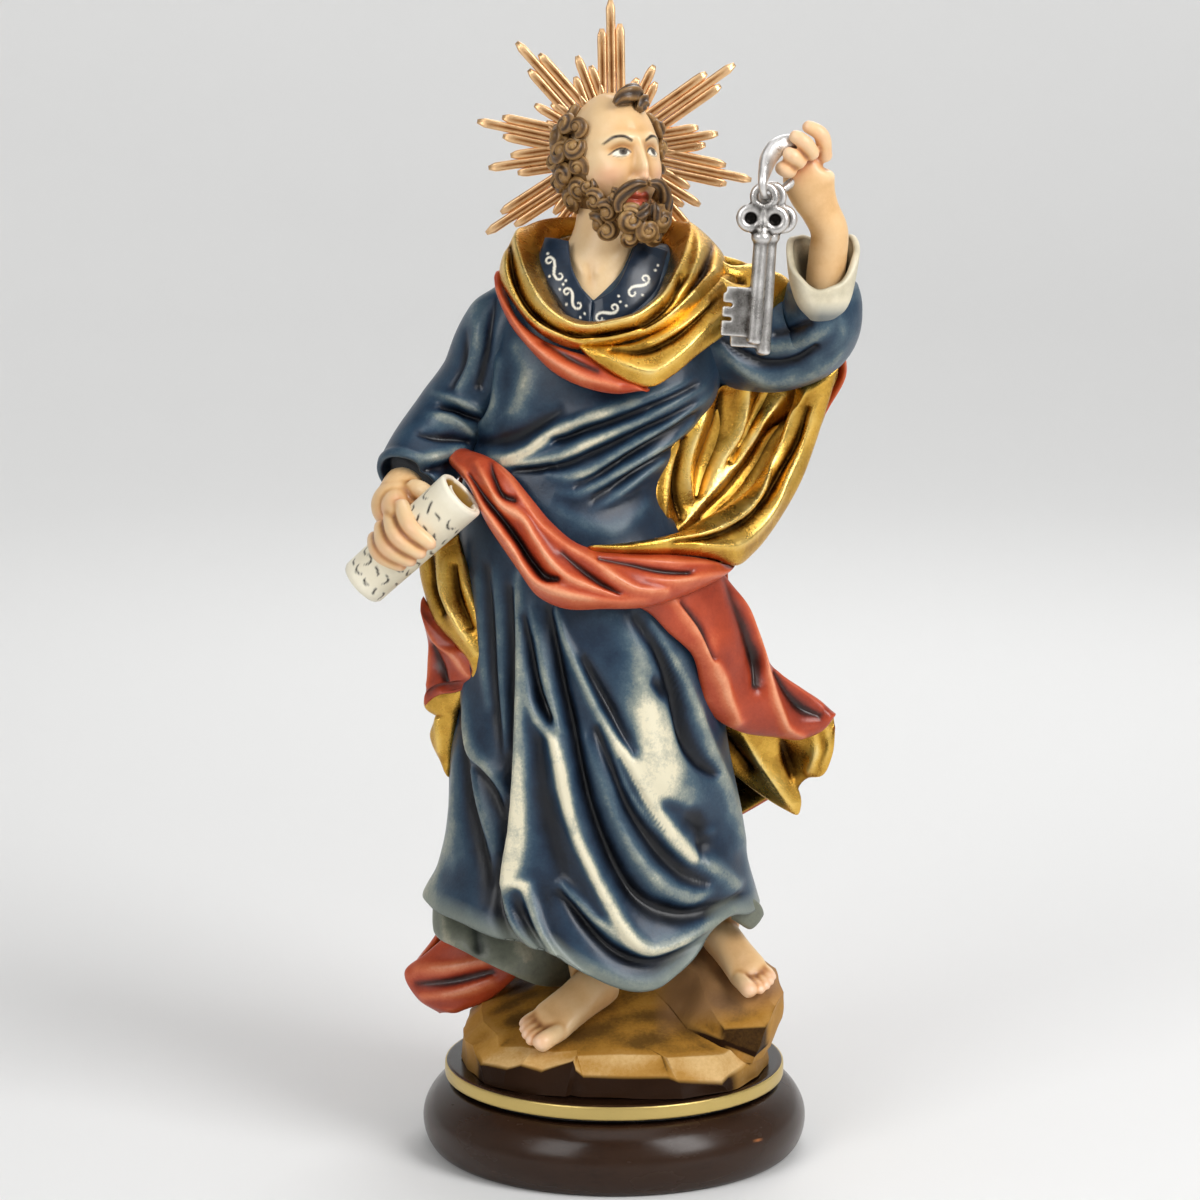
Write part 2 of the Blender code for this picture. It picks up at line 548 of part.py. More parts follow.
def head():
    """Head in its own frame (face to -Y), tipped back and turned to the viewer's right."""
    def placed(points):
        return turned(points, HEAD_TIP, HEAD_YAW) + np.asarray(HEAD_CENTRE)

    skull = ball(HEAD_CENTRE, (15.5, 18.5, 19.5), HEAD_TIP, HEAD_YAW, 16, 22)
    face = ball(placed((0, -5.5, -6)), (12, 12, 16), HEAD_TIP, HEAD_YAW, 14, 20)
    nose = tube([(*placed((0, -16, 1.5)), 1.6), (*placed((0, -18.5, -3)), 2),
        (*placed((0, -19.5, -6)), 2.6)], (1, 0, 0), 8, 10)
    brow = tube([(*placed((-9, -13, 3.2)), 1.8), (*placed((0, -16, 3.6)), 2),
        (*placed((9, -13, 3.2)), 1.8)], (0, 0, 1), 10, 8)
    neck = tube([(-4, -2, 268, 14, 13), (-3, -1, 276, 11.5, 11.5), (-1, 0, 286, 11, 12),
        (0, 1, 296, 11, 12)], steps=12, around=20)
    side_hair = [(s * 16.5, y, z) for s in (-1, 1) for y,
        z in ((-4, 4), (1, 9), (6, 4), (0, -2), (6, -6), (11, 0), (11, 9), (-2, -8))]
    back_hair = [(x, 15, z) for z in (-9, -1, 8) for x in (-12, -4, 4, 12)] + [(x, 9, 15) for x in (-9,
        0, 9)]
    beard = [(x, -13 + abs(x) * 0.45, z) for z, reach in ((-14, 12), (-19, 10),
        (-24, 6)) for x in np.linspace(-reach, reach, 4)]
    moustache = tube([(*placed((-8, -14.5, -11.5)), 2.2), (*placed((0, -18, -8.8)), 2.4),
        (*placed((8, -14.5, -11.5)), 2.2)], (0, 0, 1), 10, 8)
    forelock = curls([(0, -13, 15.5), (4, -12, 16.5)], 3.2)
    return [skull, face, nose, brow, neck, moustache, *curls(side_hair, 4.6), *curls(back_hair, 5),
        *curls(beard, 4.4), *forelock]


def foot(heel, ball_of_foot, toes, toe_radius, ankle):
    """Bare foot: a sole that widens to the toes, five toes, and the ankle above."""
    heel, front, toes = (np.asarray(p, float) for p in (heel, ball_of_foot, toes))
    sole = tube([(*heel, 5, 5), (*((heel + front) / 2 + (0, 0, 2)), 6.2, 5.5), (*front, 7.5, 4.5),
        (*(front + (toes - front) * 0.5), 6.5, 3.4)], (0, 0, 1), 12, 14)
    leg = tube([(*heel, 5.5), (*ankle, 6), (*(np.asarray(ankle, float) + (0, 4, 14)), 7.5)], (0, 1, 0),
        10, 14)
    aim = toes - front
    side = unit(np.cross(aim, (0, 0, 1)))
    rods = []
    for k, spread in enumerate((-1.0, -0.42, 0.05, 0.5, 0.92)):
        size = toe_radius * (1.25 if k == 0 else 1.0 - 0.06 * k)
        start = front + side * spread * 5.8
        end = toes + side * spread * 6.4 - unit(aim) * 1.1 * k
        rods.append(tube([(*start, size), (*((start + end) / 2 + (0, 0, 0.5)), size),
            (*end, size * 0.85)], (0, 0, 1), 8, 10))
    return [sole, leg, *rods]


def chunk(points):
    """Rock with flat chisel faces: the convex hull of its corners."""
    work = bmesh.new()
    for point in points:
        work.verts.new(point)
    hull = bmesh.ops.convex_hull(work, input=work.verts[:])
    inner = {thing for thing in hull["geom_interior"] + hull["geom_unused"] if isinstance(thing,
        bmesh.types.BMVert)}
    bmesh.ops.delete(work, geom=list(inner), context="VERTS")
    bmesh.ops.triangulate(work, faces=work.faces[:])
    bmesh.ops.recalc_face_normals(work, faces=work.faces[:])
    work.verts.index_update()
    corners = np.array([vert.co[:] for vert in work.verts])
    faces = np.array([[vert.index for vert in face.verts] for face in work.faces])
    work.free()
    volume = np.linalg.det(corners[faces]).sum()
    return corners, faces if volume > 0 else faces[:, ::-1]


def rock():
    """Slab with chipped edges, a taller block under the viewer's right foot, and the mass behind."""
    foot_z = FIGURE_FOOT - 1.0
    slab = chunk([
        (-39.5, -26, 26.5), (-15, -40, 25.5), (11.5, -41, 25.5), (34, -34, 26), (44.5, -22, 26),
        (-40, -12, foot_z), (-40, 14, foot_z), (-26, 33, foot_z), (20, 35, foot_z), (42, 18, foot_z),
        (46, -8, foot_z),
        (-38, -24, foot_z), (-18, -39, foot_z), (12, -41, foot_z), (34, -33, foot_z),
        (-41.5, -26, 33), (-35, -33, 32.5), (-24, -37, 33.5), (-13.5, -42, 38), (-6.5, -42, 39),
        (14, -42, 37),
        (33, -36, 37.5), (44, -22, 33.5), (-45.5, -14, 39), (-42, -8, 43.5),
        (-38, 18, 46), (-22, 32, 48), (18, 33, 50), (40, 18, 50), (-24, -8, 53), (10, -12, 54),
    ])
    high = chunk([
        (12, -22, 54), (24.5, -16, 60.5), (16.5, -30, 52), (22.5, -36, 46), (36, -34, 40),
        (46.5, -22, 36.5),
        (53.5, -12, 44), (53, -14, 51.5), (47.5, -36, 58.5), (42, -38, 54), (51, -6, 56), (50, 6, 52),
        (36, 14, 62), (20, 10, 62),
        (46, 4, 36), (20, 8, 36), (30, -28, 36), (44, -16, 34),
    ])
    back = chunk([
        (-36, -4, 40), (-30, 24, 44), (30, 26, 44), (40, 2, 44), (-36, -4, 72), (-30, 20, 72),
        (26, 24, 72), (36, 0, 74),
        (-12, -18, 60), (20, -20, 62), (-24, -12, 64),
    ])
    return [slab, high, back]


# Halo: turn from straight up (degrees, clockwise from the front) and length of each bundle of sticks
HALO_BUNDLES = [
    (-1, 46), (26, 29), (55, 46), (81, 33), (102, 44), (122, 32), (140, 44), (160, 24),
    (181, 24), (200, 24), (217, 31), (237, 47), (262, 39), (282, 43), (300, 28), (318, 44.5), (339, 31),
]
FLUTE_RIDGE = 1.1
FLUTE_TIP = 3.2


def halo():
    """Sunburst: fluted bundles of three sticks each, which meet in a plain disc behind the head."""
    count = len(HALO_BUNDLES)
    turns = np.radians([row[0] for row in HALO_BUNDLES])
    gaps = np.mod(np.roll(turns, -1) - turns, 2 * math.pi)
    half = 1.5 * FLUTE
    corners, faces = [(0.0, FLUTE_RIDGE, 0.0)], []
    for i, (turn, (_, length)) in enumerate(zip(turns, HALO_BUNDLES)):
        before, after = half / np.tan(gaps[i - 1] / 2), half / np.tan(gaps[i] / 2)
        side = length - (9 if length > 35 else 6)
        tips = [(-half, side - FLUTE_TIP), (-FLUTE, side), (-FLUTE / 2, side - FLUTE_TIP),
            (-FLUTE / 2, length - FLUTE_TIP),
                (0, length), (FLUTE / 2, length - FLUTE_TIP), (FLUTE / 2, side - FLUTE_TIP),
                (FLUTE, side), (half, side - FLUTE_TIP)]
        feet = [(k * FLUTE / 2, before + (after - before) * (k + 3) / 6) for k in range(-3, 4)]
        first = len(corners)
        for x, reach in feet + tips:
            ridge = abs(abs(x) / FLUTE - 0.5) > 0.25 and abs(x) < half * 0.99
            place = (x * math.cos(turn) + reach * math.sin(turn),
                reach * math.cos(turn) - x * math.sin(turn))
            corners.append((place[0], FLUTE_RIDGE if ridge else 0.25, place[1]))
        f, t = first, first + 7
        faces += [(0, f + k, f + k + 1) for k in range(6)]
        faces += [(f, t, t + 1), (f, t + 1, f + 1), (f + 1, t + 1, t + 2), (f + 1, t + 2, f + 2)]
        faces += [(f + 2, t + 2, t + 3), (f + 2, t + 3, t + 4), (f + 2, t + 4, f + 3)]
        faces += [(f + 3, t + 4, t + 5), (f + 3, t + 5, t + 6), (f + 3, t + 6, f + 4)]
        faces += [(f + 4, t + 6, t + 7), (f + 4, t + 7, f + 5), (f + 5, t + 7, t + 8),
            (f + 5, t + 8, f + 6)]
    corners = np.array(corners)
    corners, faces = welded(corners, np.array(faces))
    rear = corners * (1, 0, 1) + (0, -HALO_THICK, 0)
    edges = np.concatenate([faces[:, [0, 1]], faces[:, [1, 2]], faces[:, [2, 0]]])
    codes = edges[:, 0] * len(corners) + edges[:, 1]
    rim = edges[~np.isin(codes, edges[:, 1] * len(corners) + edges[:, 0])]
    far = rim + len(corners)
    walls = [np.stack([rim[:, 1], rim[:, 0], far[:, 0]], -1),
        np.stack([rim[:, 1], far[:, 0], far[:, 1]], -1)]
    solid = np.vstack([corners, rear])
    faces = np.concatenate([faces, faces[:, ::-1] + len(corners), *walls])
    solid = solid * (1, -1, 1) + np.asarray(HALO_CENTRE)
    if np.linalg.det(solid[faces]).sum() < 0:
        faces = faces[:, ::-1]
    return solid, faces


def welded(corners, faces, within=0.01):
    """The same surface with corners that coincide made one."""
    _, first, index = np.unique(np.round(corners / within), axis=0, return_index=True,
        return_inverse=True)
    return corners[first], index.reshape(-1)[faces]


def build_halo():
    return add_object("ray_halo", mesh_of("ray_halo", [halo()]),
        paint("coppery_gold", (0.50, 0.25, 0.07), 0.35, 1.0))


# Plinth: radius, height, from its top down its outer side
PLINTH_PROFILE = [
    (0, PLINTH_HEIGHT), (FILLET_RADIUS - 0.5, PLINTH_HEIGHT), (FILLET_RADIUS, PLINTH_HEIGHT - 0.5),
    (FILLET_RADIUS, PLINTH_HEIGHT - FILLET_HEIGHT), (51.6, 21.6), (53.6, 20.6), (56.6, 18.3),
    (59.1, 14.8),
    (PLINTH_RADIUS, 10.2), (60.2, 6), (58.9, 2.6), (57.6, 0.7), (56.6, 0), (0, 0),
]


def build_plinth():
    """Turned foot: its profile spun about the axis."""
    mesh = bpy.data.meshes.new("turned_plinth")
    points = [(radius * MM, 0, height * MM) for radius, height in PLINTH_PROFILE]
    mesh.from_pydata(points, [(i, i + 1) for i in range(len(points) - 1)], [])
    piece = add_object("turned_plinth", mesh, paint("dark_stain", (0.045, 0.018, 0.009), 0.3))
    spin = piece.modifiers.new("spin", "SCREW")
    spin.steps = spin.render_steps = 48
    spin.use_merge_vertices = True
    spin.merge_threshold = 0.00001
    return piece


# Key ring: a bent wire, as centre x, y, z and the wire's radius across and along y
RING_PATH = [
    (53.5, -25, 314.4, 2.2, 1.6), (48.6, -27, 313.6, 2.5, 1.7), (45.4, -30.5, 310.2, 2.4, 1.7),
    (43.9, -35, 306.2, 1.7, 1.4),
    (43.2, -37.6, 302.6, 1.3, 1.2), (43.4, -37.2, 299.8, 1.1, 1.1), (44.3, -33.6, 298.4, 1.1, 1.1),
    (46.7, -28.6, 298.3, 1.1, 1.1),
    (48.8, -24.8, 299.6, 1.15, 1.15), (52.8, -22.5, 302.6, 1.6, 1.5), (56, -22, 306.8, 1.8, 1.6),
    (56.5, -23, 311.4, 2.0, 1.6),
]


def ring_wire(extra=0.0):
    """The ring's wire, thicker all round by the extra."""
    rows = np.array([*RING_PATH, RING_PATH[0], RING_PATH[1]], float)
    rows = np.vstack([np.array(RING_PATH[-1:], float), rows])
    fine = smooth_rows(rows, 160)
    start = np.linalg.norm(fine[:, :3] - rows[1, :3], axis=1)[:60].argmin()
    end = 100 + np.linalg.norm(fine[100:, :3] - rows[-2, :3], axis=1).argmin()
    loop = fine[start:end][:: max(1, (end - start) // 30)]
    centre = loop[:, :3]
    middle = centre.mean(axis=0)
    tangent = unit(np.roll(centre, -1, axis=0) - np.roll(centre, 1, axis=0))
    outwards = centre - middle
    outwards = unit(outwards - (outwards * tangent).sum(-1, keepdims=True) * tangent)
    side = np.cross(tangent, outwards)
    turn = np.linspace(0, 2 * math.pi, 10, endpoint=False)
    rings = (centre[:, None]
             + np.cos(turn)[None, :, None] * (outwards * (loop[:, 3:4] + extra))[:, None]
             + np.sin(turn)[None, :, None] * (side * (loop[:, 4:5] + extra))[:, None])
    rows, around = rings.shape[:2]
    i, j = np.meshgrid(np.arange(rows), np.arange(around), indexing="ij")
    a, b = i * around + j, i * around + (j + 1) % around
    c, d = (i + 1) % rows * around + (j + 1) % around, (i + 1) % rows * around + j
    faces = np.concatenate([np.stack([a, b, c], -1).reshape(-1, 3),
        np.stack([a, c, d], -1).reshape(-1, 3)])
    corners = rings.reshape(-1, 3)
    return corners, faces if np.linalg.det(corners[faces]).sum() > 0 else faces[:, ::-1]


def disc(centre, radius, depth, sides=24):
    """Round plate or hole with its axis along Y."""
    turn = np.linspace(0, 2 * math.pi, sides, endpoint=False)
    ring = np.stack([radius * np.cos(turn), 0 * turn, radius * np.sin(turn)], -1) + np.asarray(centre,
        float)
    return shell([ring + (0, -depth / 2, 0), ring + (0, depth / 2, 0)])


def box(low, high):
    low, high = np.asarray(low, float), np.asarray(high, float)
    ring = np.array([(low[0], low[1]), (high[0], low[1]), (high[0], high[1]), (low[0], high[1])])
    return shell([np.column_stack([ring, np.full(4, low[2])]),
        np.column_stack([ring, np.full(4, high[2])])])


# Keys: sizes from the middle of the bow
HOLE_RISE = 5.6
KEY_LOBE = 4.2
KEY_HOLE = 2.3
KEY_PLATE = 2.8
KEY_SHANK = 2.0
FRONT_KEY_LENGTH = 48.0
BACK_KEY_LENGTH = 51.5
BIT_WIDTH = 10.0
BIT_HEIGHT = 14.5


def build_key(name, hole, slant, length):
    """Key: trefoil bow with a hole at its top, round shank with a collar, and a slotted bit."""
    foot_z = 11.0 - length
    def moved(solid):
        x, y, z = solid[0].T
        z = z - HOLE_RISE
        x, z = x * math.cos(slant) + z * math.sin(slant), z * math.cos(slant) - x * math.sin(slant)
        return np.stack([x, y, z], -1) + np.asarray(hole, float), solid[1]

    shank = tube([(0, 0, -3, KEY_SHANK), (0, 0, (foot_z - 3) / 2, KEY_SHANK),
        (0, 0, foot_z, KEY_SHANK)], steps=3, around=16)
    piece = add_object(name, mesh_of(name, [moved(shank)]),
        paint("aged_silver", (0.45, 0.43, 0.40), 0.35, 1.0))
    collar = tube([(0, 0, -7.5, 2.3), (0, 0, -6.5, 2.5), (0, 0, -5.5, 2.3)], steps=3, around=16)
    joined = {
        "collar": collar,
        "top_lobe": disc((0, 0, HOLE_RISE), KEY_LOBE, KEY_PLATE),
        "left_lobe": disc((-3.4, 0, -1), KEY_LOBE, KEY_PLATE + 0.1),
        "right_lobe": disc((3.4, 0, -1), KEY_LOBE, KEY_PLATE + 0.2),
        "bit": box((-BIT_WIDTH, -1.2, foot_z + 1.0), (0, 1.2, foot_z + 1.0 + BIT_HEIGHT)),
    }
    holes = {
        "ring_hole": disc((0, 0, HOLE_RISE), KEY_HOLE, 9),
        "left_hole": disc((-3.6, -KEY_PLATE / 2, -1), KEY_HOLE - 0.4, 2.4, 16),
        "right_hole": disc((3.6, -KEY_PLATE / 2, -1), KEY_HOLE - 0.4, 2.6, 16),
        "upper_slot": box((-BIT_WIDTH - 1, -3, foot_z + 9.6), (-BIT_WIDTH + 3.2, 3, foot_z + 10.8)),
        "lower_slot": box((-BIT_WIDTH - 1, -3, foot_z + 5.4), (-BIT_WIDTH + 3.2, 3, foot_z + 6.6)),
    }
    for part, solid in joined.items():
        cut(piece, f"{name}_{part}", mesh_of(part, [moved(solid)]), "UNION")
    for part, solid in holes.items():
        cut(piece, f"{name}_{part}", mesh_of(part, [moved(solid)]))
    return piece


def build_keys():
    silver = paint("ring_silver", (0.5, 0.48, 0.45), 0.3, 1.0)
    add_object("key_ring", mesh_of("key_ring", [ring_wire()]), silver)
    build_key("front_key", FRONT_KEY_HOLE, math.radians(4), FRONT_KEY_LENGTH)
    build_key("back_key", BACK_KEY_HOLE, math.radians(3), BACK_KEY_LENGTH)


def build_figure():
    """The whole carved block: all its forms joined, carved to one skin, then cut flat underneath."""
    left_foot = foot((33, -20, 67), (41, -30, 64.5), (46.5, -36, 60), 2.1, (31.5, -16, 72))
    right_foot = foot((-7, -34, 55.5), (-17, -42, 50), (-23, -47, 45.5), 2.1, (-2.5, -28, 58))
    shells = [robe(), mantle_back(), gold_collar(), red_border(), chest_flap(), shoulder_drape(),
              gold_edge(), red_sash(), red_tail(), tail_lining(), wrist_end(), rear_corner(),
              *sleeves(), *hands(), scroll(), *head(),
              *left_foot, *right_foot, *rock()]
    piece = add_object("saint_figure", mesh_of("saint_figure", shells),
        paint("painted_wood", (0.10, 0.17, 0.27), 0.5))
    skin = piece.modifiers.new("skin", "REMESH")
    skin.mode = "VOXEL"
    skin.voxel_size = CARVING_STEP * MM
    graph = bpy.context.evaluated_depsgraph_get()
    fine = sum(len(face.vertices) - 2 for face in piece.evaluated_get(graph).data.polygons)
    facets = piece.modifiers.new("facets", "DECIMATE")
    facets.ratio = FIGURE_TRIANGLES / fine
    cut(piece, "flat_foot", mesh_of("flat_foot", [box((-70, -70, 0), (70, 70, FIGURE_FOOT))]))
    cut(piece, "halo_seat", mesh_of("halo_seat", [box((-34, HALO_SEAT, 282), (34, 50, 340))]))
    cut(piece, "ring_tunnel", mesh_of("ring_tunnel", [ring_wire(GAP)]))
    return piece


def main():
    for thing in list(bpy.data.objects):
        bpy.data.objects.remove(thing)
    build_plinth()
    build_figure()
    build_halo()
    build_keys()


main()
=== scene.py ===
"""Carved and painted wooden statue of a standing bearded saint with a scroll and two keys."""
import math

import bpy
import numpy as np
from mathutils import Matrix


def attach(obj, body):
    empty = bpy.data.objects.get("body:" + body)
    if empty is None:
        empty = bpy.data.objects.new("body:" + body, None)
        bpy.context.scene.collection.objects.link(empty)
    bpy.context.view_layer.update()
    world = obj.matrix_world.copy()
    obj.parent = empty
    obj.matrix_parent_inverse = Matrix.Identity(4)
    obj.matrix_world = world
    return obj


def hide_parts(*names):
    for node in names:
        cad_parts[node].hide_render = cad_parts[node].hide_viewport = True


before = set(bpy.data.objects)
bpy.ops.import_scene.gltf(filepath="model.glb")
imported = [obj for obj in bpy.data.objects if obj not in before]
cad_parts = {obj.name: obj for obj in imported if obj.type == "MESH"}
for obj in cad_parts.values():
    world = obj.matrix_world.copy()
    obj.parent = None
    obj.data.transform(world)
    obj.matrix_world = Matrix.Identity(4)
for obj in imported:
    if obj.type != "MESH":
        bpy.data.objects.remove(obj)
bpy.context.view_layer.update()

# Studio. The statue stands in a pale round bowl whose floor sweeps up into its wall, and is lit by
# large soft panels in front of it, to its right and left, with a dimmer one above. The camera looks
# slightly down from just above the head. Figure sizes below are in millimetres, the studio's in metres.
MM = 0.001
CAMERA_PLACE = (-0.0045, -1.0, 0.322)
CAMERA_DIP = 8.46  # degrees below level
CAMERA_LENS, CAMERA_SENSOR = 97.66, 36
FLOOR_PROFILE = [(0.0, 0.0), (0.8, 0.0), (1.5, 0.0), (1.85, 0.03), (2.15, 0.15), (2.35, 0.4), (2.45, 0.9),
                 (2.5, 1.6), (2.5, 2.6)]  # radius, height
PANELS = {  # turn from the front (viewer's right positive), rise in degrees, distance, width, height, power
    "right_panel": (48, 34, 1.35, 0.55, 0.9, 14),
    "left_panel": (-38, 30, 1.4, 0.6, 0.9, 6.5),
    "top_panel": (0, 80, 1.5, 1.0, 1.0, 4),
    "rear_panel": (165, 45, 1.5, 0.9, 0.7, 7),
}
PANEL_AIM = 0.18  # height that the panels look at


def smooth_line(rows, count):
    """A curve through every row: between two rows it is the cubic that keeps their slopes."""
    rows = np.asarray(rows, float)
    step = np.linalg.norm(np.diff(rows[:, :3], axis=0), axis=1)
    at = np.concatenate([[0.0], np.cumsum(step)])
    slope = np.gradient(rows, at, axis=0)
    want = np.linspace(0.0, at[-1], count)
    i = np.clip(np.searchsorted(at, want, side="right") - 1, 0, len(rows) - 2)
    span = (at[i + 1] - at[i])[:, None]
    t = (want - at[i])[:, None] / span
    return ((2 * t**3 - 3 * t**2 + 1) * rows[i] + (t**3 - 2 * t**2 + t) * span * slope[i]
            + (3 * t**2 - 2 * t**3) * rows[i + 1] + (t**3 - t**2) * span * slope[i + 1])


def grid_faces(rows, around, closed=True):
    """Four corners of each cell of a grid that closes on itself around, or stays open."""
    i, j = np.meshgrid(np.arange(rows - 1), np.arange(around if closed else around - 1), indexing="ij")
    a, b = i * around + j, i * around + (j + 1) % around
    return np.stack([a, b, b + around, a + around], -1).reshape(-1, 4)


def revolved(radius, height, around):
    """Rings of points: each row's radius and height carried once round the upright axis."""
    turn = np.linspace(0, 2 * math.pi, around, endpoint=False)
    return np.stack([radius * np.cos(turn), radius * np.sin(turn), height + 0 * turn], -1)


def studio_bowl(steps=32, around=64):
    """Surface of revolution: the smoothed floor profile, closed at the middle by a fan of triangles."""
    profile = smooth_line(FLOOR_PROFILE, steps)[1:]
    points = revolved(profile[:, :1], profile[:, 1:], around).reshape(-1, 3)
    k = np.arange(around)
    fan = np.stack([np.full(around, len(points)), k, (k + 1) % around], -1)
    mesh = bpy.data.meshes.new("studio_floor")
    mesh.from_pydata([*points.tolist(), (0, 0, 0)], [],
                     grid_faces(steps - 1, around)[:, ::-1].tolist() + fan.tolist())
    mesh.shade_smooth()
    return mesh


studio_floor = bpy.data.objects.new("studio_floor", studio_bowl())
bpy.context.scene.collection.objects.link(studio_floor)
pale = bpy.data.materials.new("pale_floor")
pale.use_nodes = True
pale.node_tree.nodes["Principled BSDF"].inputs["Base Color"].default_value = (0.80, 0.80, 0.795, 1)
pale.node_tree.nodes["Principled BSDF"].inputs["Roughness"].default_value = 0.7
studio_floor.data.materials.append(pale)


def soft_panel(name, place, tip, turn, width, height, power):
    """Rectangular area light, tipped up from looking straight down, then turned round the statue."""
    light = bpy.data.lights.new(name, "AREA")
    light.shape, light.size, light.size_y, light.energy = "RECTANGLE", width, height, power
    lamp = bpy.data.objects.new(name, light)
    bpy.context.scene.collection.objects.link(lamp)
    lamp.location, lamp.rotation_euler = place, (tip, 0, turn)


for panel, (turn, rise, distance, width, height, power) in PANELS.items():
    turn, rise = math.radians(turn), math.radians(rise)
    out = distance * math.cos(rise)
    place = (out * math.sin(turn), -out * math.cos(turn), PANEL_AIM + distance * math.sin(rise))
    soft_panel(panel, place, math.pi / 2 - rise, turn, width, height, power)
soft_panel("wall_panel", (0, 0.95, 1.6), math.radians(58), 0, 2.2, 0.5, 15)

world = bpy.data.worlds.new("studio_air")
world.use_nodes = True
world.node_tree.nodes["Background"].inputs["Color"].default_value = (1, 1, 1, 1)
world.node_tree.nodes["Background"].inputs["Strength"].default_value = 0.08
bpy.context.scene.world = world

camera = bpy.data.objects.new("camera", bpy.data.cameras.new("camera"))
camera.location, camera.rotation_euler = CAMERA_PLACE, (math.radians(90 - CAMERA_DIP), 0, 0)
camera.data.lens, camera.data.sensor_width = CAMERA_LENS, CAMERA_SENSOR
bpy.context.scene.collection.objects.link(camera)
bpy.context.scene.camera = camera
bpy.context.scene.view_settings.view_transform = "Standard"


# Plinth. A round foot turned on the lathe from one piece of beech, stained dark brown and waxed to a
# soft shine. Its top plate has a square edge painted dull gold, over a hollow and a fat rounded foot.
PLINTH_TURNING = [  # radius, height, from the middle of the top down to the middle underneath
    (0, 27), (26, 27), (51.6, 27), (52.8, 26.9), (53.3, 26.5), (53.4, 25.9), (53.4, 23.4), (53.3, 22.7),
    (52.7, 22.3), (51.5, 21.95), (51.5, 21.6), (52.2, 21.2), (53.6, 20.6), (56.6, 18.3), (59.1, 14.8),
    (60.5, 10.2), (60.2, 6), (58.9, 2.6), (57.6, 0.8), (56.6, 0.05), (40, 0), (0, 0)]
GOLD_EDGE_LOW, GOLD_EDGE_HIGH = 22.5, 26.75
GOLD_EDGE_RADIUS, GOLD_EDGE_HALF = 53.0, 0.62  # middle of the gold strip and half its thickness
CHIP_PLACE, CHIP_REACH = (43.3, -41.2, 12.6), (0.9, 1.2, 0.5)  # a chip through the stain to bare wood


def unit(vectors):
    """The same directions with length 1."""
    return vectors / np.maximum(np.linalg.norm(vectors, axis=-1, keepdims=True), 1e-12)


def normals_of(points, faces):
    """Mean direction of the faces round each point."""
    tri = np.concatenate([faces[:, :3], faces[:, [0, 2, 3]]]) if faces.shape[1] == 4 else faces
    across = np.cross(points[tri[:, 1]] - points[tri[:, 0]], points[tri[:, 2]] - points[tri[:, 0]])
    total = [np.bincount(tri.ravel(), np.repeat(across[:, k], 3), len(points)) for k in range(3)]
    return unit(np.stack(total, -1))


def neighbour_mean(values, faces, times):
    """Each value becomes the mean of its neighbours along the faces' edges, again and again."""
    ends = np.concatenate([faces[:, [k, (k + 1) % faces.shape[1]]] for k in range(faces.shape[1])])
    ends = np.concatenate([ends, ends[:, ::-1]])
    count = len(values)
    share = 1 / np.maximum(np.bincount(ends[:, 0], minlength=count), 1)
    for _ in range(times):
        values = np.stack([np.bincount(ends[:, 0], values[ends[:, 1], k], count) * share
                           for k in range(values.shape[1])], -1)
    return values


def edge_and_hollow(points, faces, depth=0.16, times=14):
    """How far each point stands out of its smoothed surroundings, from 0 in a hollow to 1 on an edge.
    The paint ramps turn hollows into painted shade and edges into rubbed wear.
    """
    standing = ((points - neighbour_mean(points, faces, times)) * normals_of(points, faces)).sum(-1)
    return 0.5 + 0.5 * np.tanh(standing / depth)


def shell(rings, flat_ends=False):
    """Closed surface through rings of points. Its ends close on their middle, or flat across the ring."""
    rings = np.asarray(rings, float)
    rows, around = rings.shape[:2]
    points = rings.reshape(-1, 3)
    quads = grid_faces(rows, around)
    faces = [quads[:, [0, 1, 2]], quads[:, [0, 2, 3]]]
    for row, way in ((0, -1), (rows - 1, 1)):
        start = row * around
        if flat_ends:
            k = np.arange(around // 2 - 1)
            near, far = start + k, start + around - 1 - k
            ends = [np.stack([near, near + 1, far - 1], -1), np.stack([near, far - 1, far], -1)]
        else:
            k = np.arange(around)
            points = np.vstack([points, rings[row].mean(axis=0)])
            ends = [np.stack([start + k, start + (k + 1) % around, np.full(around, len(points) - 1)], -1)]
        faces += [end[:, ::way] for end in ends]
    faces = np.concatenate(faces)
    return points, faces if np.linalg.det(points[faces]).sum() > 0 else faces[:, ::-1]


def joined(shells):
    """Several closed surfaces as one list of points and faces."""
    counts = np.cumsum([0] + [len(points) for points, _ in shells])
    return (np.vstack([points for points, _ in shells]),
            np.vstack([faces + start for (_, faces), start in zip(shells, counts)]))


def finished(name, surface, material, slot, stands_for="saint_figure", sharp=None, **attributes):
    """The surface as a smooth piece that rides with the statue, its attributes stored point by point."""
    points, faces = surface
    mesh = bpy.data.meshes.new(name)
    mesh.from_pydata((points * MM).tolist(), [], faces.tolist())
    mesh.shade_smooth()
    if sharp:
        mesh.set_sharp_from_angle(angle=math.radians(sharp))
    # By default the hollows get painted shade and the edges rubbed wear.
    attributes.setdefault("worn", edge_and_hollow(points, faces))
    for label, values in attributes.items():
        stored = mesh.attributes.new(label, "FLOAT", "POINT")
        stored.data.foreach_set("value", np.ravel(values).astype("f"))
    mesh.materials.append(material)
    piece = bpy.data.objects.new(name, mesh)
    bpy.context.scene.collection.objects.link(piece)
    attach(piece, "root")
    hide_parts(stands_for)
    return piece


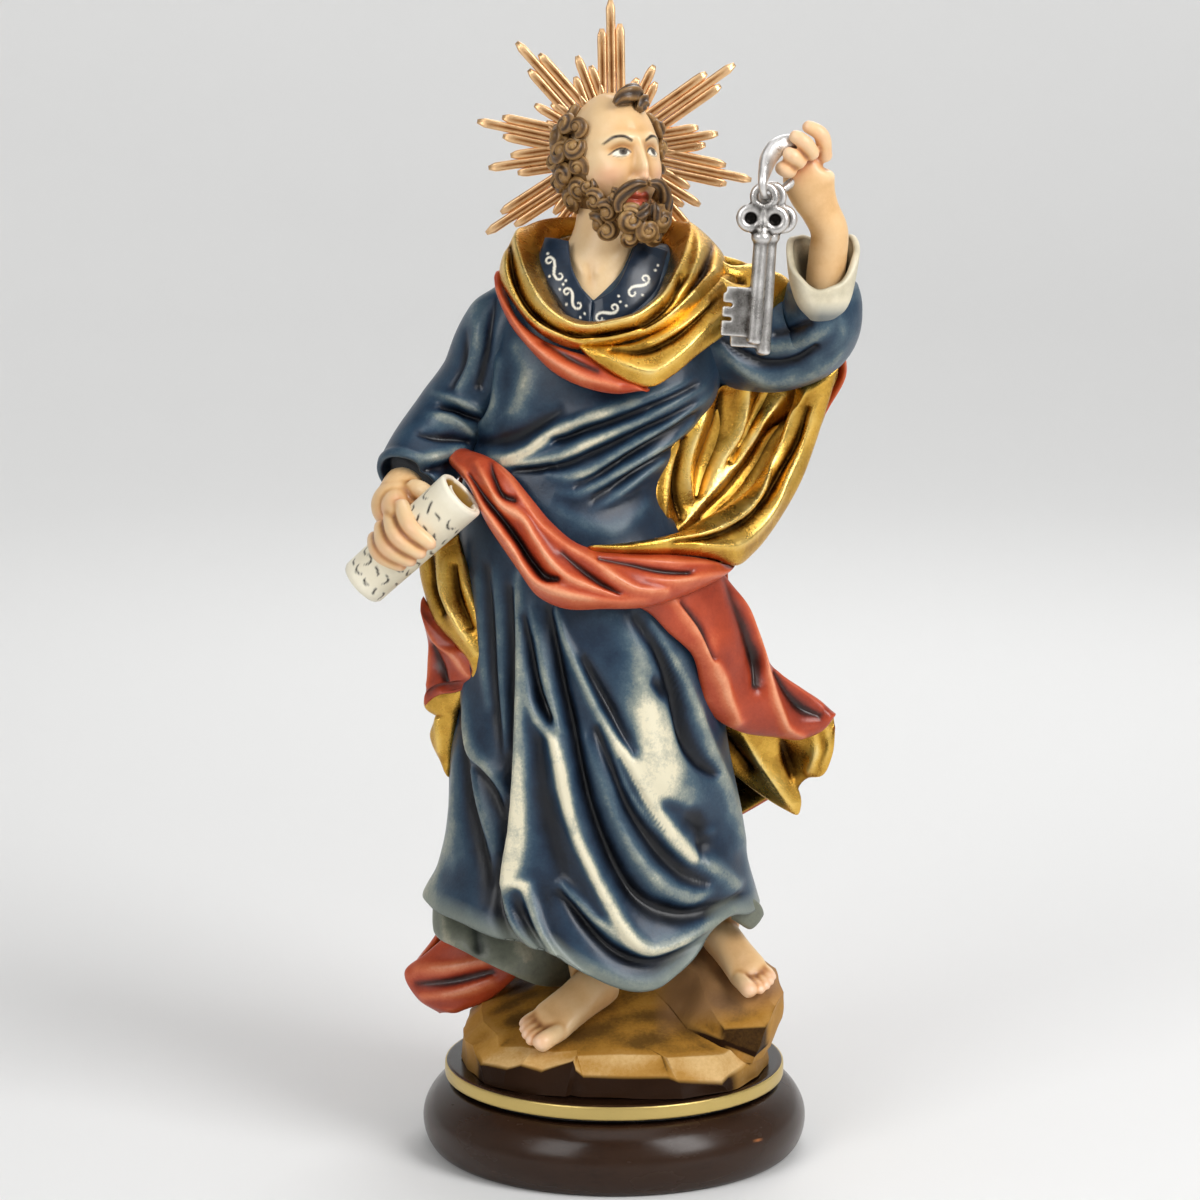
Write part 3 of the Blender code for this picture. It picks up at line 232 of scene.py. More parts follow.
def coating(name, tones, roughness, metallic=0.0, cloud=0.25, cloud_size=9, fine_size=1.6, bump=0.12,
            layers=(), clear=0.0, stretch=(1, 1, 1), gleam=0.35):
    """Paint or leaf over carved wood, in procedural nodes.

    The tones run from hollows darkened as painted shade to rubbed edges, along a point attribute that a
    cloudy noise breaks up. Layers lay more paint over it where their attributes are high. Sizes are in
    millimetres.
    """
    made = bpy.data.materials.new(name)
    made.use_nodes = True
    nodes, links = made.node_tree.nodes, made.node_tree.links
    surface = nodes["Principled BSDF"]
    surface.inputs["Specular IOR Level"].default_value = gleam
    place = nodes.new("ShaderNodeTexCoord")
    turned_place = nodes.new("ShaderNodeMapping")
    turned_place.inputs["Scale"].default_value = stretch
    links.new(place.outputs["Object"], turned_place.inputs["Vector"])

    def noise(size, detail, rough=0.55):
        cloudy = nodes.new("ShaderNodeTexNoise")
        cloudy.inputs["Scale"].default_value = 1000 / size
        cloudy.inputs["Detail"].default_value = detail
        cloudy.inputs["Roughness"].default_value = rough
        links.new(turned_place.outputs["Vector"], cloudy.inputs["Vector"])
        return cloudy.outputs["Fac"]

    def sums(operation, first, second, clamp=False):
        node = nodes.new("ShaderNodeMath")
        node.operation, node.use_clamp = operation, clamp
        for socket, value in zip(node.inputs, (first, second)):
            if isinstance(value, (int, float)):
                socket.default_value = value
            else:
                links.new(value, socket)
        return node.outputs[0]

    def attribute(label):
        node = nodes.new("ShaderNodeAttribute")
        node.attribute_name = label
        return node.outputs["Fac"]

    broad, fine = noise(cloud_size, 4), noise(fine_size, 3, 0.7)
    drift = sums("MULTIPLY", sums("SUBTRACT", broad, 0.5), 2 * cloud)
    speck = sums("MULTIPLY", sums("SUBTRACT", fine, 0.5), cloud)
    level = sums("ADD", sums("ADD", attribute("worn"), drift), speck, True)
    ramp = nodes.new("ShaderNodeValToRGB")
    while len(ramp.color_ramp.elements) < len(tones):
        ramp.color_ramp.elements.new(0.5)
    for element, (position, colour) in zip(ramp.color_ramp.elements, tones):
        element.position, element.color = position, (*colour, 1)
    links.new(level, ramp.inputs["Fac"])
    colour = ramp.outputs["Color"]
    for label, paint in layers:
        mix = nodes.new("ShaderNodeMix")
        mix.data_type = "RGBA"
        mix.inputs["B"].default_value = (*paint, 1)
        edge = sums("MULTIPLY", sums("SUBTRACT", fine, 0.5), 0.3)
        amount = attribute(label)
        links.new(sums("ADD", amount, sums("MULTIPLY", edge, amount), True), mix.inputs["Factor"])
        links.new(colour, mix.inputs["A"])
        colour = mix.outputs["Result"]
    links.new(colour, surface.inputs["Base Color"])
    matt = sums("ADD", sums("MULTIPLY", broad, 0.3), roughness - 0.15, True)
    links.new(matt, surface.inputs["Roughness"])
    surface.inputs["Metallic"].default_value = metallic
    surface.inputs["Coat Weight"].default_value = clear
    surface.inputs["Coat Roughness"].default_value = 0.18
    grain = nodes.new("ShaderNodeBump")
    grain.inputs["Strength"].default_value = bump
    grain.inputs["Distance"].default_value = 0.0004
    links.new(sums("ADD", fine, sums("MULTIPLY", broad, 0.6)), grain.inputs["Height"])
    links.new(grain.outputs["Normal"], surface.inputs["Normal"])
    return made


def turned_foot(steps=90, around=150):
    """Surface of revolution: the turning, smoothed between its two flat faces."""
    profile = smooth_line([(r, z, 0) for r, z in PLINTH_TURNING[2:-2]], steps)[:, :2]
    profile = np.vstack([PLINTH_TURNING[1], profile, PLINTH_TURNING[-2]])
    return shell(revolved(profile[:, :1], profile[:, 1:], around))


foot_surface = turned_foot()
chip = np.exp(-(((foot_surface[0] - CHIP_PLACE) / CHIP_REACH) ** 2).sum(-1))
stained_beech = coating("stained_beech",
                        [(0.0, (0.001, 0.0005, 0.0003)), (0.5, (0.004, 0.0016, 0.0008)),
                         (0.75, (0.009, 0.0036, 0.0018)), (1.0, (0.03, 0.013, 0.006))], 0.24, cloud=0.2,
                        cloud_size=22, fine_size=2.5, bump=0.06, gleam=0.3, stretch=(1, 1, 3),
                        layers=[("chip", (0.55, 0.20, 0.07))])
finished("plinth_foot", foot_surface, stained_beech, "plinth_stain", "turned_plinth",
         chip=np.clip(chip * 1.6 - 0.4, 0, 1))


def wheel_faces(rows, around):
    """Four corners of each cell of a grid that closes on itself both ways."""
    i, j = np.meshgrid(np.arange(rows), np.arange(around), indexing="ij")
    a, b = i * around + j, i * around + (j + 1) % around
    c, d = (i + 1) % rows * around + (j + 1) % around, (i + 1) % rows * around + j
    return np.stack([a, b, c, d], -1).reshape(-1, 4)


def gold_band(steps=24, around=150):
    """A thin ring of dull gold laid on the plate's edge: an upright strip with rounded corners."""
    middle = (GOLD_EDGE_LOW + GOLD_EDGE_HIGH) / 2
    half = (GOLD_EDGE_HIGH - GOLD_EDGE_LOW) / 2
    rise = np.linspace(0, 2 * math.pi, steps, endpoint=False)
    height = middle + half * np.sign(np.sin(rise)) * np.abs(np.sin(rise)) ** 0.5
    radius = GOLD_EDGE_RADIUS + GOLD_EDGE_HALF * np.sign(np.cos(rise)) * np.abs(np.cos(rise)) ** 0.5
    points = revolved(radius[:, None], height[:, None], around).swapaxes(0, 1)
    return points.reshape(-1, 3), wheel_faces(around, steps)[:, [0, 3, 2, 1]]


dull_gold = coating(
    "dull_gold", [(0.0, (0.10, 0.06, 0.01)), (0.45, (0.40, 0.27, 0.06)), (1.0, (0.62, 0.46, 0.16))],
    0.34, metallic=0.85, cloud=0.2, cloud_size=14, fine_size=1.2, bump=0.18, stretch=(1, 1, 3))
finished("plinth_gold_band", gold_band(), dull_gold, "halo_gold", "turned_plinth")


# Rock. The ground under the feet is part of the carved block: a low slab with chisel-cut edges and a
# higher boulder on the right. It is painted ochre; its steep front faces are near black-brown, darker
# towards the bottom, with painted shade on the facet below the boulder's front edge, in the groove beside
# the boulder and under the right foot, and a painted highlight along the front bevels.
SLAB_CORNERS = [  # underside, rim and bevel of each corner, round from the front left
    [(-40, -31, 27.3), (-41.5, -29, 32.5), (-36, -27, 38)],
    [(-34, -37, 27.3), (-33.5, -37.5, 33.5), (-29, -31, 39)],
    [(-29, -39.5, 27.3), (-28.9, -38.7, 35), (-25, -34, 39.4)],
    [(-21, -43, 27.3), (-22.6, -39.6, 33.2), (-19, -35, 38.6)],
    [(-15, -44.5, 27.3), (-12.7, -39.4, 37), (-11.5, -35, 39)],
    [(-13.4, -43, 27.3), (-12, -40.6, 34), (-11.6, -37.6, 38)],
    [(-10, -45, 27.3), (-9.4, -41.6, 32), (-11.3, -37.4, 38)],
    [(16, -46.5, 27.3), (16.5, -42.6, 32), (14, -36.6, 38)],
    [(20.7, -46.5, 27.3), (19.8, -43.6, 31), (15.9, -38.6, 37.8)],
    [(34.9, -39.4, 27.3), (32.9, -42, 30), (31.2, -36.4, 38)],
    [(37.5, -36, 27.3), (34.8, -38, 31), (33.3, -34, 37.4)],
    [(44.2, -24, 27.3), (43, -26, 33), (39, -24, 38)],
    [(48.5, -8, 27.3), (47.5, -9, 36), (43, -9, 42)],
    [(48.5, 13, 27.3), (46.5, 12, 42), (42, 10, 48)],
    [(38, 30, 27.3), (36.5, 28.5, 44), (33, 25, 50)],
    [(14, 43, 27.3), (13.5, 40.5, 45), (12, 36, 51)],
    [(-14, 42, 27.3), (-13.5, 39.5, 44), (-12, 35, 50)],
    [(-36, 30, 27.3), (-35, 28.5, 42), (-32, 25, 48)],
    [(-47, 16, 27.3), (-46, 14.5, 38), (-41, 12, 45.5)],
    [(-48.5, -2, 27.3), (-47.8, -3, 37), (-42, -3, 43.5)],
    [(-46, -14, 27.3), (-46.6, -13.4, 36), (-41, -13, 42)],
    [(-43, -22, 27.3), (-44, -20.5, 36.5), (-36, -24, 40.5)]]
SLAB_CROWN = (0, 2, 56)
BOULDER_CORNERS = [
    [(10, 4, 40), (11, 2, 52), (20, 2, 60)],
    [(12, -7, 40), (12.2, -6.6, 50.6), (21, -6, 59)],
    [(17, -14, 38), (17, -13.8, 47.6), (26, -11, 57)],
    [(22.5, -24, 36), (22.3, -23.8, 43), (28, -20, 51)],
    [(32.6, -29, 34), (32.6, -30, 40.6), (33.6, -31, 44.4)],
    [(42.5, -28.6, 33), (43.2, -30.2, 35.6), (46.5, -30.6, 45)],
    [(46, -22, 33), (47.6, -24, 38), (49.6, -27, 50.6)],
    [(49, -10, 33), (52.4, -14, 43.6), (52.6, -19, 53)],
    [(48.5, 2, 33), (51.6, -2, 45), (50.6, -5, 57)],
    [(45, 14, 36), (45.6, 12.6, 48), (42, 9, 60)],
    [(32, 20, 38), (31, 19, 50), (29, 13, 62)],
    [(16, 14, 40), (15, 12, 52), (20, 8, 61)]]
BOULDER_CROWN = (36, -4, 61.0)
SLAB_CUTS, BOULDER_CUTS = 10, 13  # points from one corner to the next
SIDE_ROWS, SLOPE_ROWS, TOP_ROWS = 6, 5, 24  # rings up the side, up the bevel and over the top


def fade(value, start, width):
    """Rises evenly from 0 at the start to 1 over the width, backwards where the width is negative."""
    return np.clip((value - start) / width, 0, 1)


def chiselled(corners, crown, each, belly):
    """Loft of flat chisel cuts: straight lines join the underside, rim and bevel of neighbouring
    corners. From the bevels the top rises to the crown, its ring evened out further and further in."""
    columns = np.array(corners + corners[:1], float)
    place = np.linspace(0, len(corners), len(corners) * each, endpoint=False)
    first, share = place.astype(int), (place % 1)[:, None, None]
    columns = columns[first] * (1 - share) + columns[first + 1] * share
    low, rim, bevel = columns[:, 0], columns[:, 1], columns[:, 2]
    even = np.mean([np.roll(bevel, k, axis=0) for k in range(-3 * each // 2, 3 * each // 2 + 1)], axis=0)
    walls = [low + (rim - low) * s for s in np.linspace(0, 1, SIDE_ROWS, endpoint=False)]
    walls += [rim + (bevel - rim) * s for s in np.linspace(0, 1, SLOPE_ROWS, endpoint=False)]
    for s in np.linspace(0, 0.985, TOP_ROWS) ** 1.3:
        ring = bevel + (even - bevel) * min(1.0, 6 * s)
        lift = belly * math.sin(math.pi * s) * 8 * np.array([0, 0, 1])
        walls.append(ring + (np.array(crown) - ring) * s + lift)
    return shell(np.array(walls))


def wavy(points, size, height, seed):
    """Low uneven swells: a sum of six sine waves with seeded directions, along the given size."""
    drawn = np.random.default_rng(seed)
    ways = unit(drawn.normal(size=(6, 3))) * (2 * math.pi / size) * drawn.uniform(0.6, 1.5, (6, 1))
    return height * np.sin(points @ ways.T + drawn.uniform(0, 6.28, 6)).sum(-1) / 3


def cut_rows(slab_rows, boulder_rows):
    """1 on these ring rows of the slab and of the boulder, and 0 elsewhere and on their end points."""
    marked = []
    for corners, each, (start, below) in (
            (SLAB_CORNERS, SLAB_CUTS, slab_rows), (BOULDER_CORNERS, BOULDER_CUTS, boulder_rows)):
        row = np.repeat(np.arange(SIDE_ROWS + SLOPE_ROWS + TOP_ROWS), len(corners) * each)
        marked += [(row >= start) * (row < below), [0, 0]]
    return np.concatenate(marked) * 1.0


rock = joined([chiselled(SLAB_CORNERS, SLAB_CROWN, SLAB_CUTS, 0.0),
               chiselled(BOULDER_CORNERS, BOULDER_CROWN, BOULDER_CUTS, 0.25)])
rock = (rock[0] + normals_of(*rock) * wavy(rock[0], 11, 0.30, 4)[:, None], rock[1])
x, y, z = rock[0].T
walls, highlit_bevels = cut_rows((0, 7), (0, 7)), cut_rows((7, 12), (0, 0))
front = fade(y, -21, -6) * fade(x, -44, 4) * fade(x, 38, -5)
# Painted shade on the facet below the boulder's front edge.
shaded_facet = cut_rows((0, 0), (6, 12)) * fade(x, 32, 1.5) * fade(x, 48, -1.5) * (y < -24)
# Darker towards the bottom of the walls.
lowest = 0.45 * fade(z, 36, -7)
steep = np.maximum(0.8 * shaded_facet, walls) * np.clip(shaded_facet + front + lowest, 0, 1) * (z < 46)
# Painted shade in the groove round the foot of the boulder.
groove_shade = np.exp(-((np.hypot(x - 20, y + 17) - 4) / 5) ** 2) * 0.5
# Painted shadow on the rock under the right foot.
foot_shadow = np.exp(-(((x + 19) / 9) ** 2 + ((y + 26) / 9) ** 2)) * 0.35
boulder_grey = fade(x, 12, 6) * np.clip((z - 42 - 0.25 * (x - 20)) / 5, 0, 1) * 0.75
ochre_rock = coating("ochre_rock",
                     [(0.0, (0.030, 0.012, 0.004)), (0.34, (0.15, 0.074, 0.016)),
                      (0.52, (0.36, 0.172, 0.028)), (0.72, (0.46, 0.245, 0.060)),
                      (1.0, (0.68, 0.46, 0.21))], 0.5, cloud=0.26, cloud_size=13, fine_size=1.1,
                     bump=0.26, gleam=0.06,
                     # The last layers darken the steep faces and paint shade on the lower facet, in the
                     # groove and under the foot.
                     layers=[("boulder", (0.36, 0.20, 0.10)), ("steep", (0.020, 0.008, 0.003)),
                             ("soot", (0.09, 0.04, 0.012))])
# Painted highlight along the front bevels, over the rubbed edges and shaded hollows.
rock_worn = 0.40 + 0.50 * (edge_and_hollow(*rock, 0.35, 12) - 0.5) + 0.26 * highlit_bevels * fade(y, -24, -6)
finished("carved_rock", rock, ochre_rock, "rock_ochre", sharp=24, worn=np.clip(rock_worn, 0, 1),
         steep=steep * 1.15, soot=np.clip(groove_shade + foot_shadow, 0, 0.7), boulder=boulder_grey)


# Robe. The saint's long gown is cut from the same block, with deep gouged folds, and painted dark blue.
# Its crests are rubbed back to a warm cream, as if worn by hands, its hollows are painted nearly black
# as shade, and broad pale patches over the folds are painted highlight.
ROBE_LEVELS = [  # height, left side, right side, depth in front, depth behind
    (284, -19, 15, 9, 14), (279, -23, 20, 13, 16), (274, -27, 24, 16, 17), (268, -32, 27, 19, 19),
    (260, -37.5, 32, 22, 21), (250, -40, 34, 25, 23), (236, -41, 31, 28, 24), (222, -44, 21, 28.5, 24),
    (210, -47, 17, 30, 24), (196, -48, 22, 33, 26), (182, -48, 31, 36, 28), (165, -48, 34, 37, 29),
    (145, -49, 34, 39, 30), (128, -50, 36, 42, 31), (110, -50.5, 39, 42, 32), (98, -51.5, 41, 43, 33),
    (90, -53.5, 42.5, 44, 33), (84, -57, 44, 45, 34), (80, -59, 45, 46, 34), (72, -59.5, 47, 47, 34),
    (54, -59, 49, 47, 34)]
ROBE_HEM = [  # turn from the front in degrees, height
    (-180, 62), (-130, 76), (-105, 81), (-90, 81.5), (-72, 79), (-48, 77.4), (-34, 74.7), (-24, 73.5),
    (-17, 72.8), (-12, 71.8), (-8, 69), (-2, 65.4), (5, 62), (13, 60), (19, 60.6), (26, 64.2), (38, 71.5),
    (46, 77), (52, 79), (68, 77.5), (95, 78), (130, 70), (180, 62)]
NECK_DIP = 22
PLEAT_TOP, PLEAT_FADE = 190, 90  # the pleats at the sides and behind start here and are full this far below
HEM_BAND = 4.6
# Enlarged views of the photograph: enlargement, and left and top edge in its pixels. Edges, folds and
# patches were read off these views, in their own pixels to the right and down.
SKIRT_VIEW, CHEST_VIEW = (3.11, 410, 560), (3.415, 430, 210)
IMAGE_SIZE, IMAGE_MIDDLE = 1200, 600
FOCAL_PIXELS = round(CAMERA_LENS / CAMERA_SENSOR * IMAGE_SIZE, 1)
SKIRT_OVAL, CHEST_OVAL = (-3, 52, 43), (-11, 38, 28)  # middle, half-width and depth in front


def sight(view, right, down, y):
    """x and height where the line of sight through a place in a view meets the depth y."""
    zoom, left, top = view
    eye_x, eye_y, eye_z = (value / MM for value in CAMERA_PLACE)
    dip_cos, dip_sin = math.cos(math.radians(CAMERA_DIP)), math.sin(math.radians(CAMERA_DIP))
    across = (left + right / zoom - IMAGE_MIDDLE) / FOCAL_PIXELS
    rise = (IMAGE_MIDDLE - (top + down / zoom)) / FOCAL_PIXELS
    drop = (y - eye_y) * (rise * dip_cos - dip_sin) / (dip_cos + rise * dip_sin)
    return eye_x + across * ((y - eye_y) * dip_cos - drop * dip_sin), eye_z + drop


def marks(view, places):
    """Places given as right, down, depth and more, as x, depth, height and the rest, to 0.1 mm."""
    made = []
    for right, down, y, *rest in places:
        x, z = sight(view, right, down, y)
        made.append((round(x, 1), y, round(z, 1), *rest))
    return made


def lines_in(view, lines):
    """Folds whose places are right, down, depth, width and rise, as x, height, width and rise."""
    return [[(x, z, *rest) for x, _, z, *rest in marks(view, line)] for line in lines]


def lines_on(oval, view, lines):
    """Folds on the body's front, read as right, down, width and rise. Depth and x follow from each
    other: the oval has its depth where the line of sight meets it, which repeating settles."""
    middle, half, deep = oval
    made = []
    for line in lines:
        made.append([])
        for right, down, *rest in line:
            y = -0.7 * deep
            for _ in range(8):
                x, z = sight(view, right, down, y)
                y = -deep * math.sqrt(max(0.0, 1 - ((x - middle) / half) ** 2))
            made[-1].append((round(x, 1), round(z, 1), *rest))
    return made


SKIRT_FOLDS = lines_on(SKIRT_OVAL, SKIRT_VIEW, [  # crests stand out and hollows go in
    [(335, 60, 1.6, 1), (342, 200, 1.8, 2.2), (345, 350, 2, 3), (343, 500, 2.2, 3.4),
     (340, 650, 2.6, 3.8), (332, 800, 3, 4.2), (318, 920, 3.2, 4.4), (303, 1000, 2.4, 4.2)],
    [(308, 100, 1.2, -1), (316, 300, 1.4, -2.4), (316, 500, 1.5, -3), (308, 700, 1.7, -3.6),
     (296, 850, 1.8, -4), (276, 970, 1.8, -4.2), (274, 1060, 1.8, -4.2), (300, 1140, 1.8, -3.6),
     (350, 1200, 1.8, -3), (430, 1245, 1.8, -2.4)],
    [(365, 1012, 1, 3), (385, 1070, 1.1, 3.6), (405, 1130, 1.1, 3.8), (440, 1190, 1.1, 3.8),
     (480, 1235, 1.2, 3.4), (540, 1285, 1.4, 2.4)],
    [(365, 1010, 1, 3.2), (330, 1000, 1, 3.6), (303, 1015, 1, 3.6), (296, 1050, 1, 3.4),
     (312, 1100, 1, 3.2), (350, 1155, 1, 2.8), (410, 1205, 1, 2.4), (465, 1232, 1, 2.4)],
    [(328, 1045, 1.3, 0.4), (345, 1090, 1.6, -1.4), (378, 1140, 1.6, -1.6), (420, 1192, 1.1, -0.4)],
    [(372, 150, 1.2, 0.8), (395, 240, 1.4, 1.8), (415, 330, 1.5, 2.2), (435, 420, 1.6, 2.4),
     (452, 480, 1.6, 2.4), (462, 530, 1.8, 2.4)],
    [(350, 180, 1.1, -0.8), (372, 280, 1.2, -2), (393, 390, 1.3, -2.8), (412, 462, 1.4, -3.6),
     (436, 498, 1, -2.6)],
    [(352, 360, 1.4, 1.6), (372, 440, 1.5, 2.2), (400, 500, 1.6, 2.6), (440, 545, 2, 3),
     (462, 620, 2.3, 3.4), (485, 740, 2.3, 3.6), (515, 850, 2.2, 3.6), (560, 950, 2.1, 3.6),
     (605, 1040, 2.1, 3.6), (645, 1110, 2.2, 3.4), (685, 1165, 2.3, 3.2), (745, 1205, 2.4, 3),
     (830, 1185, 2.4, 2.6), (920, 1135, 2.3, 2.2), (1000, 1085, 2.2, 1.6)],
    [(400, 570, 2, -0.4), (410, 700, 2.6, -1), (436, 850, 3.2, -1.4), (470, 970, 3, -1)],
    [(430, 160, 1.2, -1), (455, 300, 1.3, -2.4), (480, 420, 1.5, -3), (505, 520, 1.7, -3.4),
     (530, 640, 1.8, -3.4), (560, 760, 1.9, -3.4), (600, 870, 1.9, -3.4), (650, 970, 1.9, -3.6),
     (710, 1050, 1.9, -3.8), (790, 1092, 1.8, -3.8), (880, 1102, 1.7, -3.4), (970, 1082, 1.5, -2.2),
     (1020, 1052, 1.3, -1)],
    [(455, 170, 1.3, 1), (480, 250, 1.4, 2), (515, 330, 1.6, 2.4), (560, 430, 1.8, 2.4),
     (600, 510, 1.9, 2.2), (650, 590, 2, 2.2), (700, 680, 2.2, 2.4), (745, 770, 2.3, 2.8),
     (800, 850, 2.3, 3), (870, 920, 2.2, 3), (940, 965, 2.2, 2.6), (1010, 1020, 2, 1.8)],
    [(545, 560, 1.2, 0.2), (580, 650, 1.3, 0.4), (620, 760, 1.5, 1), (665, 860, 1.7, 1.8),
     (730, 960, 1.8, 2.4), (800, 1025, 1.9, 2.8), (870, 1050, 1.9, 2.6), (920, 1035, 1.6, 1.4)],
    [(580, 530, 1.2, -0.8), (625, 640, 1.3, -2), (680, 770, 1.4, -2.8), (740, 860, 1.5, -3),
     (800, 930, 1.5, -3), (870, 988, 1.4, -2.4), (920, 1008, 1.1, -1.2)],
    [(650, 620, 0.8, -0.6), (700, 720, 0.9, -1.4), (750, 800, 0.9, -1.4), (790, 850, 0.8, -0.6)],
    [(460, 1030, 1.1, -0.8), (500, 1070, 1.3, -2.2), (545, 1125, 1.5, -3), (600, 1182, 1.6, -3.2),
     (660, 1222, 1.6, -3.2), (740, 1240, 1.6, -3), (830, 1214, 1.5, -2.4), (920, 1165, 1.3, -1.4),
     (980, 1122, 1.1, -0.6)],
    [(470, 1005, 1.2, 0.6), (520, 1055, 1.5, 1.8), (580, 1112, 1.6, 2), (635, 1150, 1.6, 1.4)],
    [(500, 1190, 2, 0.4), (600, 1265, 2.4, 1.4), (700, 1310, 2.4, 1.6), (800, 1300, 2.2, 1.4),
     (880, 1240, 2, 1)],
    [(540, 320, 1.3, -0.8), (575, 390, 2, -1.8), (625, 475, 2.2, -2), (665, 550, 1.7, -1.6),
     (696, 598, 1, -0.8)],
    [(752, 385, 1.2, -1), (782, 412, 1.8, -2), (812, 440, 1.2, -1)],
    [(640, 190, 4, 0.6), (700, 300, 5, 1.8), (720, 420, 6, 2.4), (750, 560, 7, 2.8), (775, 680, 7, 2.8),
     (850, 770, 6, 1.6)],
    [(700, 190, 1.3, -0.8), (770, 290, 1.6, -2.6), (815, 390, 1.9, -3.8), (840, 480, 2, -4.4),
     (862, 570, 1.9, -4.4), (905, 640, 1.6, -3.4), (952, 682, 1.1, -1.4)],
    [(745, 220, 1.2, 1), (800, 300, 1.3, 2), (850, 390, 1.4, 2.6), (885, 480, 1.5, 2.8),
     (925, 590, 1.6, 2.6), (965, 680, 1.8, 2.2), (1005, 790, 2.2, 1.8), (1030, 900, 2.4, 1.4)],
    [(800, 765, 2.2, -0.4), (870, 800, 3, -1.2), (912, 880, 3.4, -1.6), (900, 950, 2.6, -0.8)],
    [(850, 830, 0.9, 0.2), (890, 862, 1, 0.9), (945, 858, 0.9, 0.3)],
    [(165, 400, 1.2, 0.6), (172, 480, 1.4, 1.6), (180, 560, 1.5, 2.2), (200, 610, 1.5, 2.6),
     (235, 640, 1.4, 2.4), (275, 690, 1.3, 1.8), (305, 755, 1.1, 0.6)],
    [(208, 655, 1.2, -1.4), (236, 700, 1.5, -2.8), (268, 770, 1.5, -2.8), (292, 840, 1.3, -2.2)],
    [(190, 660, 1.2, 0.6), (212, 740, 1.4, 1.4), (240, 830, 1.5, 1.6), (262, 900, 1.5, 1)],
    [(150, 480, 1.4, -0.8), (158, 600, 1.6, -2.4), (172, 720, 1.8, -3), (198, 850, 2, -3.2),
     (225, 950, 2.2, -2.6), (240, 1050, 2.6, -1.6)],
    [(128, 540, 1.4, 1), (137, 680, 1.6, 2.2), (140, 800, 1.8, 2.8), (130, 900, 2, 3), (100, 970, 2, 2.8),
     (66, 1012, 1.8, 2.2)],
    [(262, 40, 1.3, 0.4), (275, 200, 1.5, 1), (283, 350, 1.5, 1.2), (294, 500, 1.4, 1),
     (300, 600, 1.2, 0.2)],
    [(232, 30, 1.2, -0.6), (248, 200, 1.3, -1.6), (256, 350, 1.4, -1.8), (268, 500, 1.4, -1.6),
     (285, 640, 1.2, -0.8)],
    [(205, 60, 1.2, 0.5), (222, 220, 1.3, 1.2), (232, 360, 1.3, 1.2), (245, 460, 1.2, 0.5)],
    [(385, 250, 0.8, 0.2), (400, 330, 0.9, 0.9), (418, 420, 0.9, 0.8)]])
CHEST_FOLDS = lines_on(CHEST_OVAL, CHEST_VIEW, [
    [(130, 760, 1.2, 0.8), (200, 715, 1.4, 1.6), (225, 660, 1.5, 1.6), (228, 600, 1.5, 1.2),
     (236, 530, 1.5, 0.8)],
    [(215, 400, 0.9, -1.6), (210, 445, 1, -2.4), (222, 478, 0.8, -1.2)],
    [(196, 540, 1.1, -1.2), (184, 640, 1.2, -2.4), (165, 700, 1.2, -2.8), (135, 745, 1.2, -2.8)],
    [(300, 480, 3.5, 0.8), (340, 580, 4.5, 1.4), (290, 680, 3.5, 1.2)],
    [(165, 795, 1.3, -1), (260, 785, 1.8, -1.6), (360, 738, 1.8, -1.4), (440, 690, 1.5, -0.6)],
    [(212, 848, 1.2, 1.2), (260, 848, 1.4, 2), (340, 818, 1.6, 2.6), (400, 773, 1.6, 3),
     (470, 733, 1.7, 2.8), (560, 700, 1.7, 2.4), (660, 668, 1.7, 2), (760, 633, 1.7, 1.4),
     (860, 588, 1.7, 0.8)],
    [(424, 785, 0.7, -2.4), (470, 776, 0.9, -2.8), (520, 756, 0.9, -2.6), (600, 730, 0.9, -2.2),
     (700, 692, 1, -2), (800, 647, 1, -1.4), (900, 592, 1, -0.8)],
    [(235, 868, 1.2, 1), (320, 866, 1.4, 1.8), (400, 850, 1.5, 2.2), (470, 828, 1.5, 2.2),
     (540, 795, 1.5, 2.2), (620, 760, 1.5, 2), (720, 715, 1.5, 1.8), (820, 660, 1.5, 1.4),
     (920, 600, 1.5, 0.8)],
    [(290, 884, 0.9, -1.2), (400, 880, 1, -2.2), (480, 862, 1, -2), (540, 838, 1, -1.6),
     (620, 802, 1, -1.8), (720, 752, 1, -1.8), (820, 702, 1, -1.4), (900, 652, 0.9, -0.8)],
    [(400, 895, 1.2, 0.4), (450, 908, 1.3, 1), (520, 900, 1.5, 1.8), (600, 855, 1.5, 2),
     (700, 795, 1.5, 2), (800, 735, 1.5, 1.8), (880, 680, 1.5, 1.2), (950, 620, 1.5, 0.6)],
    [(500, 938, 0.9, -0.6), (570, 906, 1, -1.4), (650, 857, 1.1, -2), (740, 802, 1.1, -2),
     (830, 747, 1.1, -1.6), (900, 692, 1, -0.8)],
    [(430, 962, 1.3, 0.6), (500, 962, 1.5, 1.2), (570, 935, 1.5, 1.6), (660, 885, 1.5, 2),
     (750, 835, 1.5, 2), (830, 785, 1.5, 1.6), (890, 730, 1.4, 1)],
    [(560, 985, 1, -0.8), (640, 936, 1.1, -1.6), (720, 882, 1.1, -1.8), (800, 836, 1.1, -1.4),
     (860, 790, 1, -0.6)],
    [(560, 1010, 1.3, 0.6), (640, 970, 1.4, 1.4), (720, 912, 1.4, 1.6), (790, 865, 1.4, 1.2)],
    [(420, 1000, 2.4, 0.6), (500, 1050, 3, 1), (640, 1080, 3.4, 1), (730, 1010, 2.4, 0.8)]])
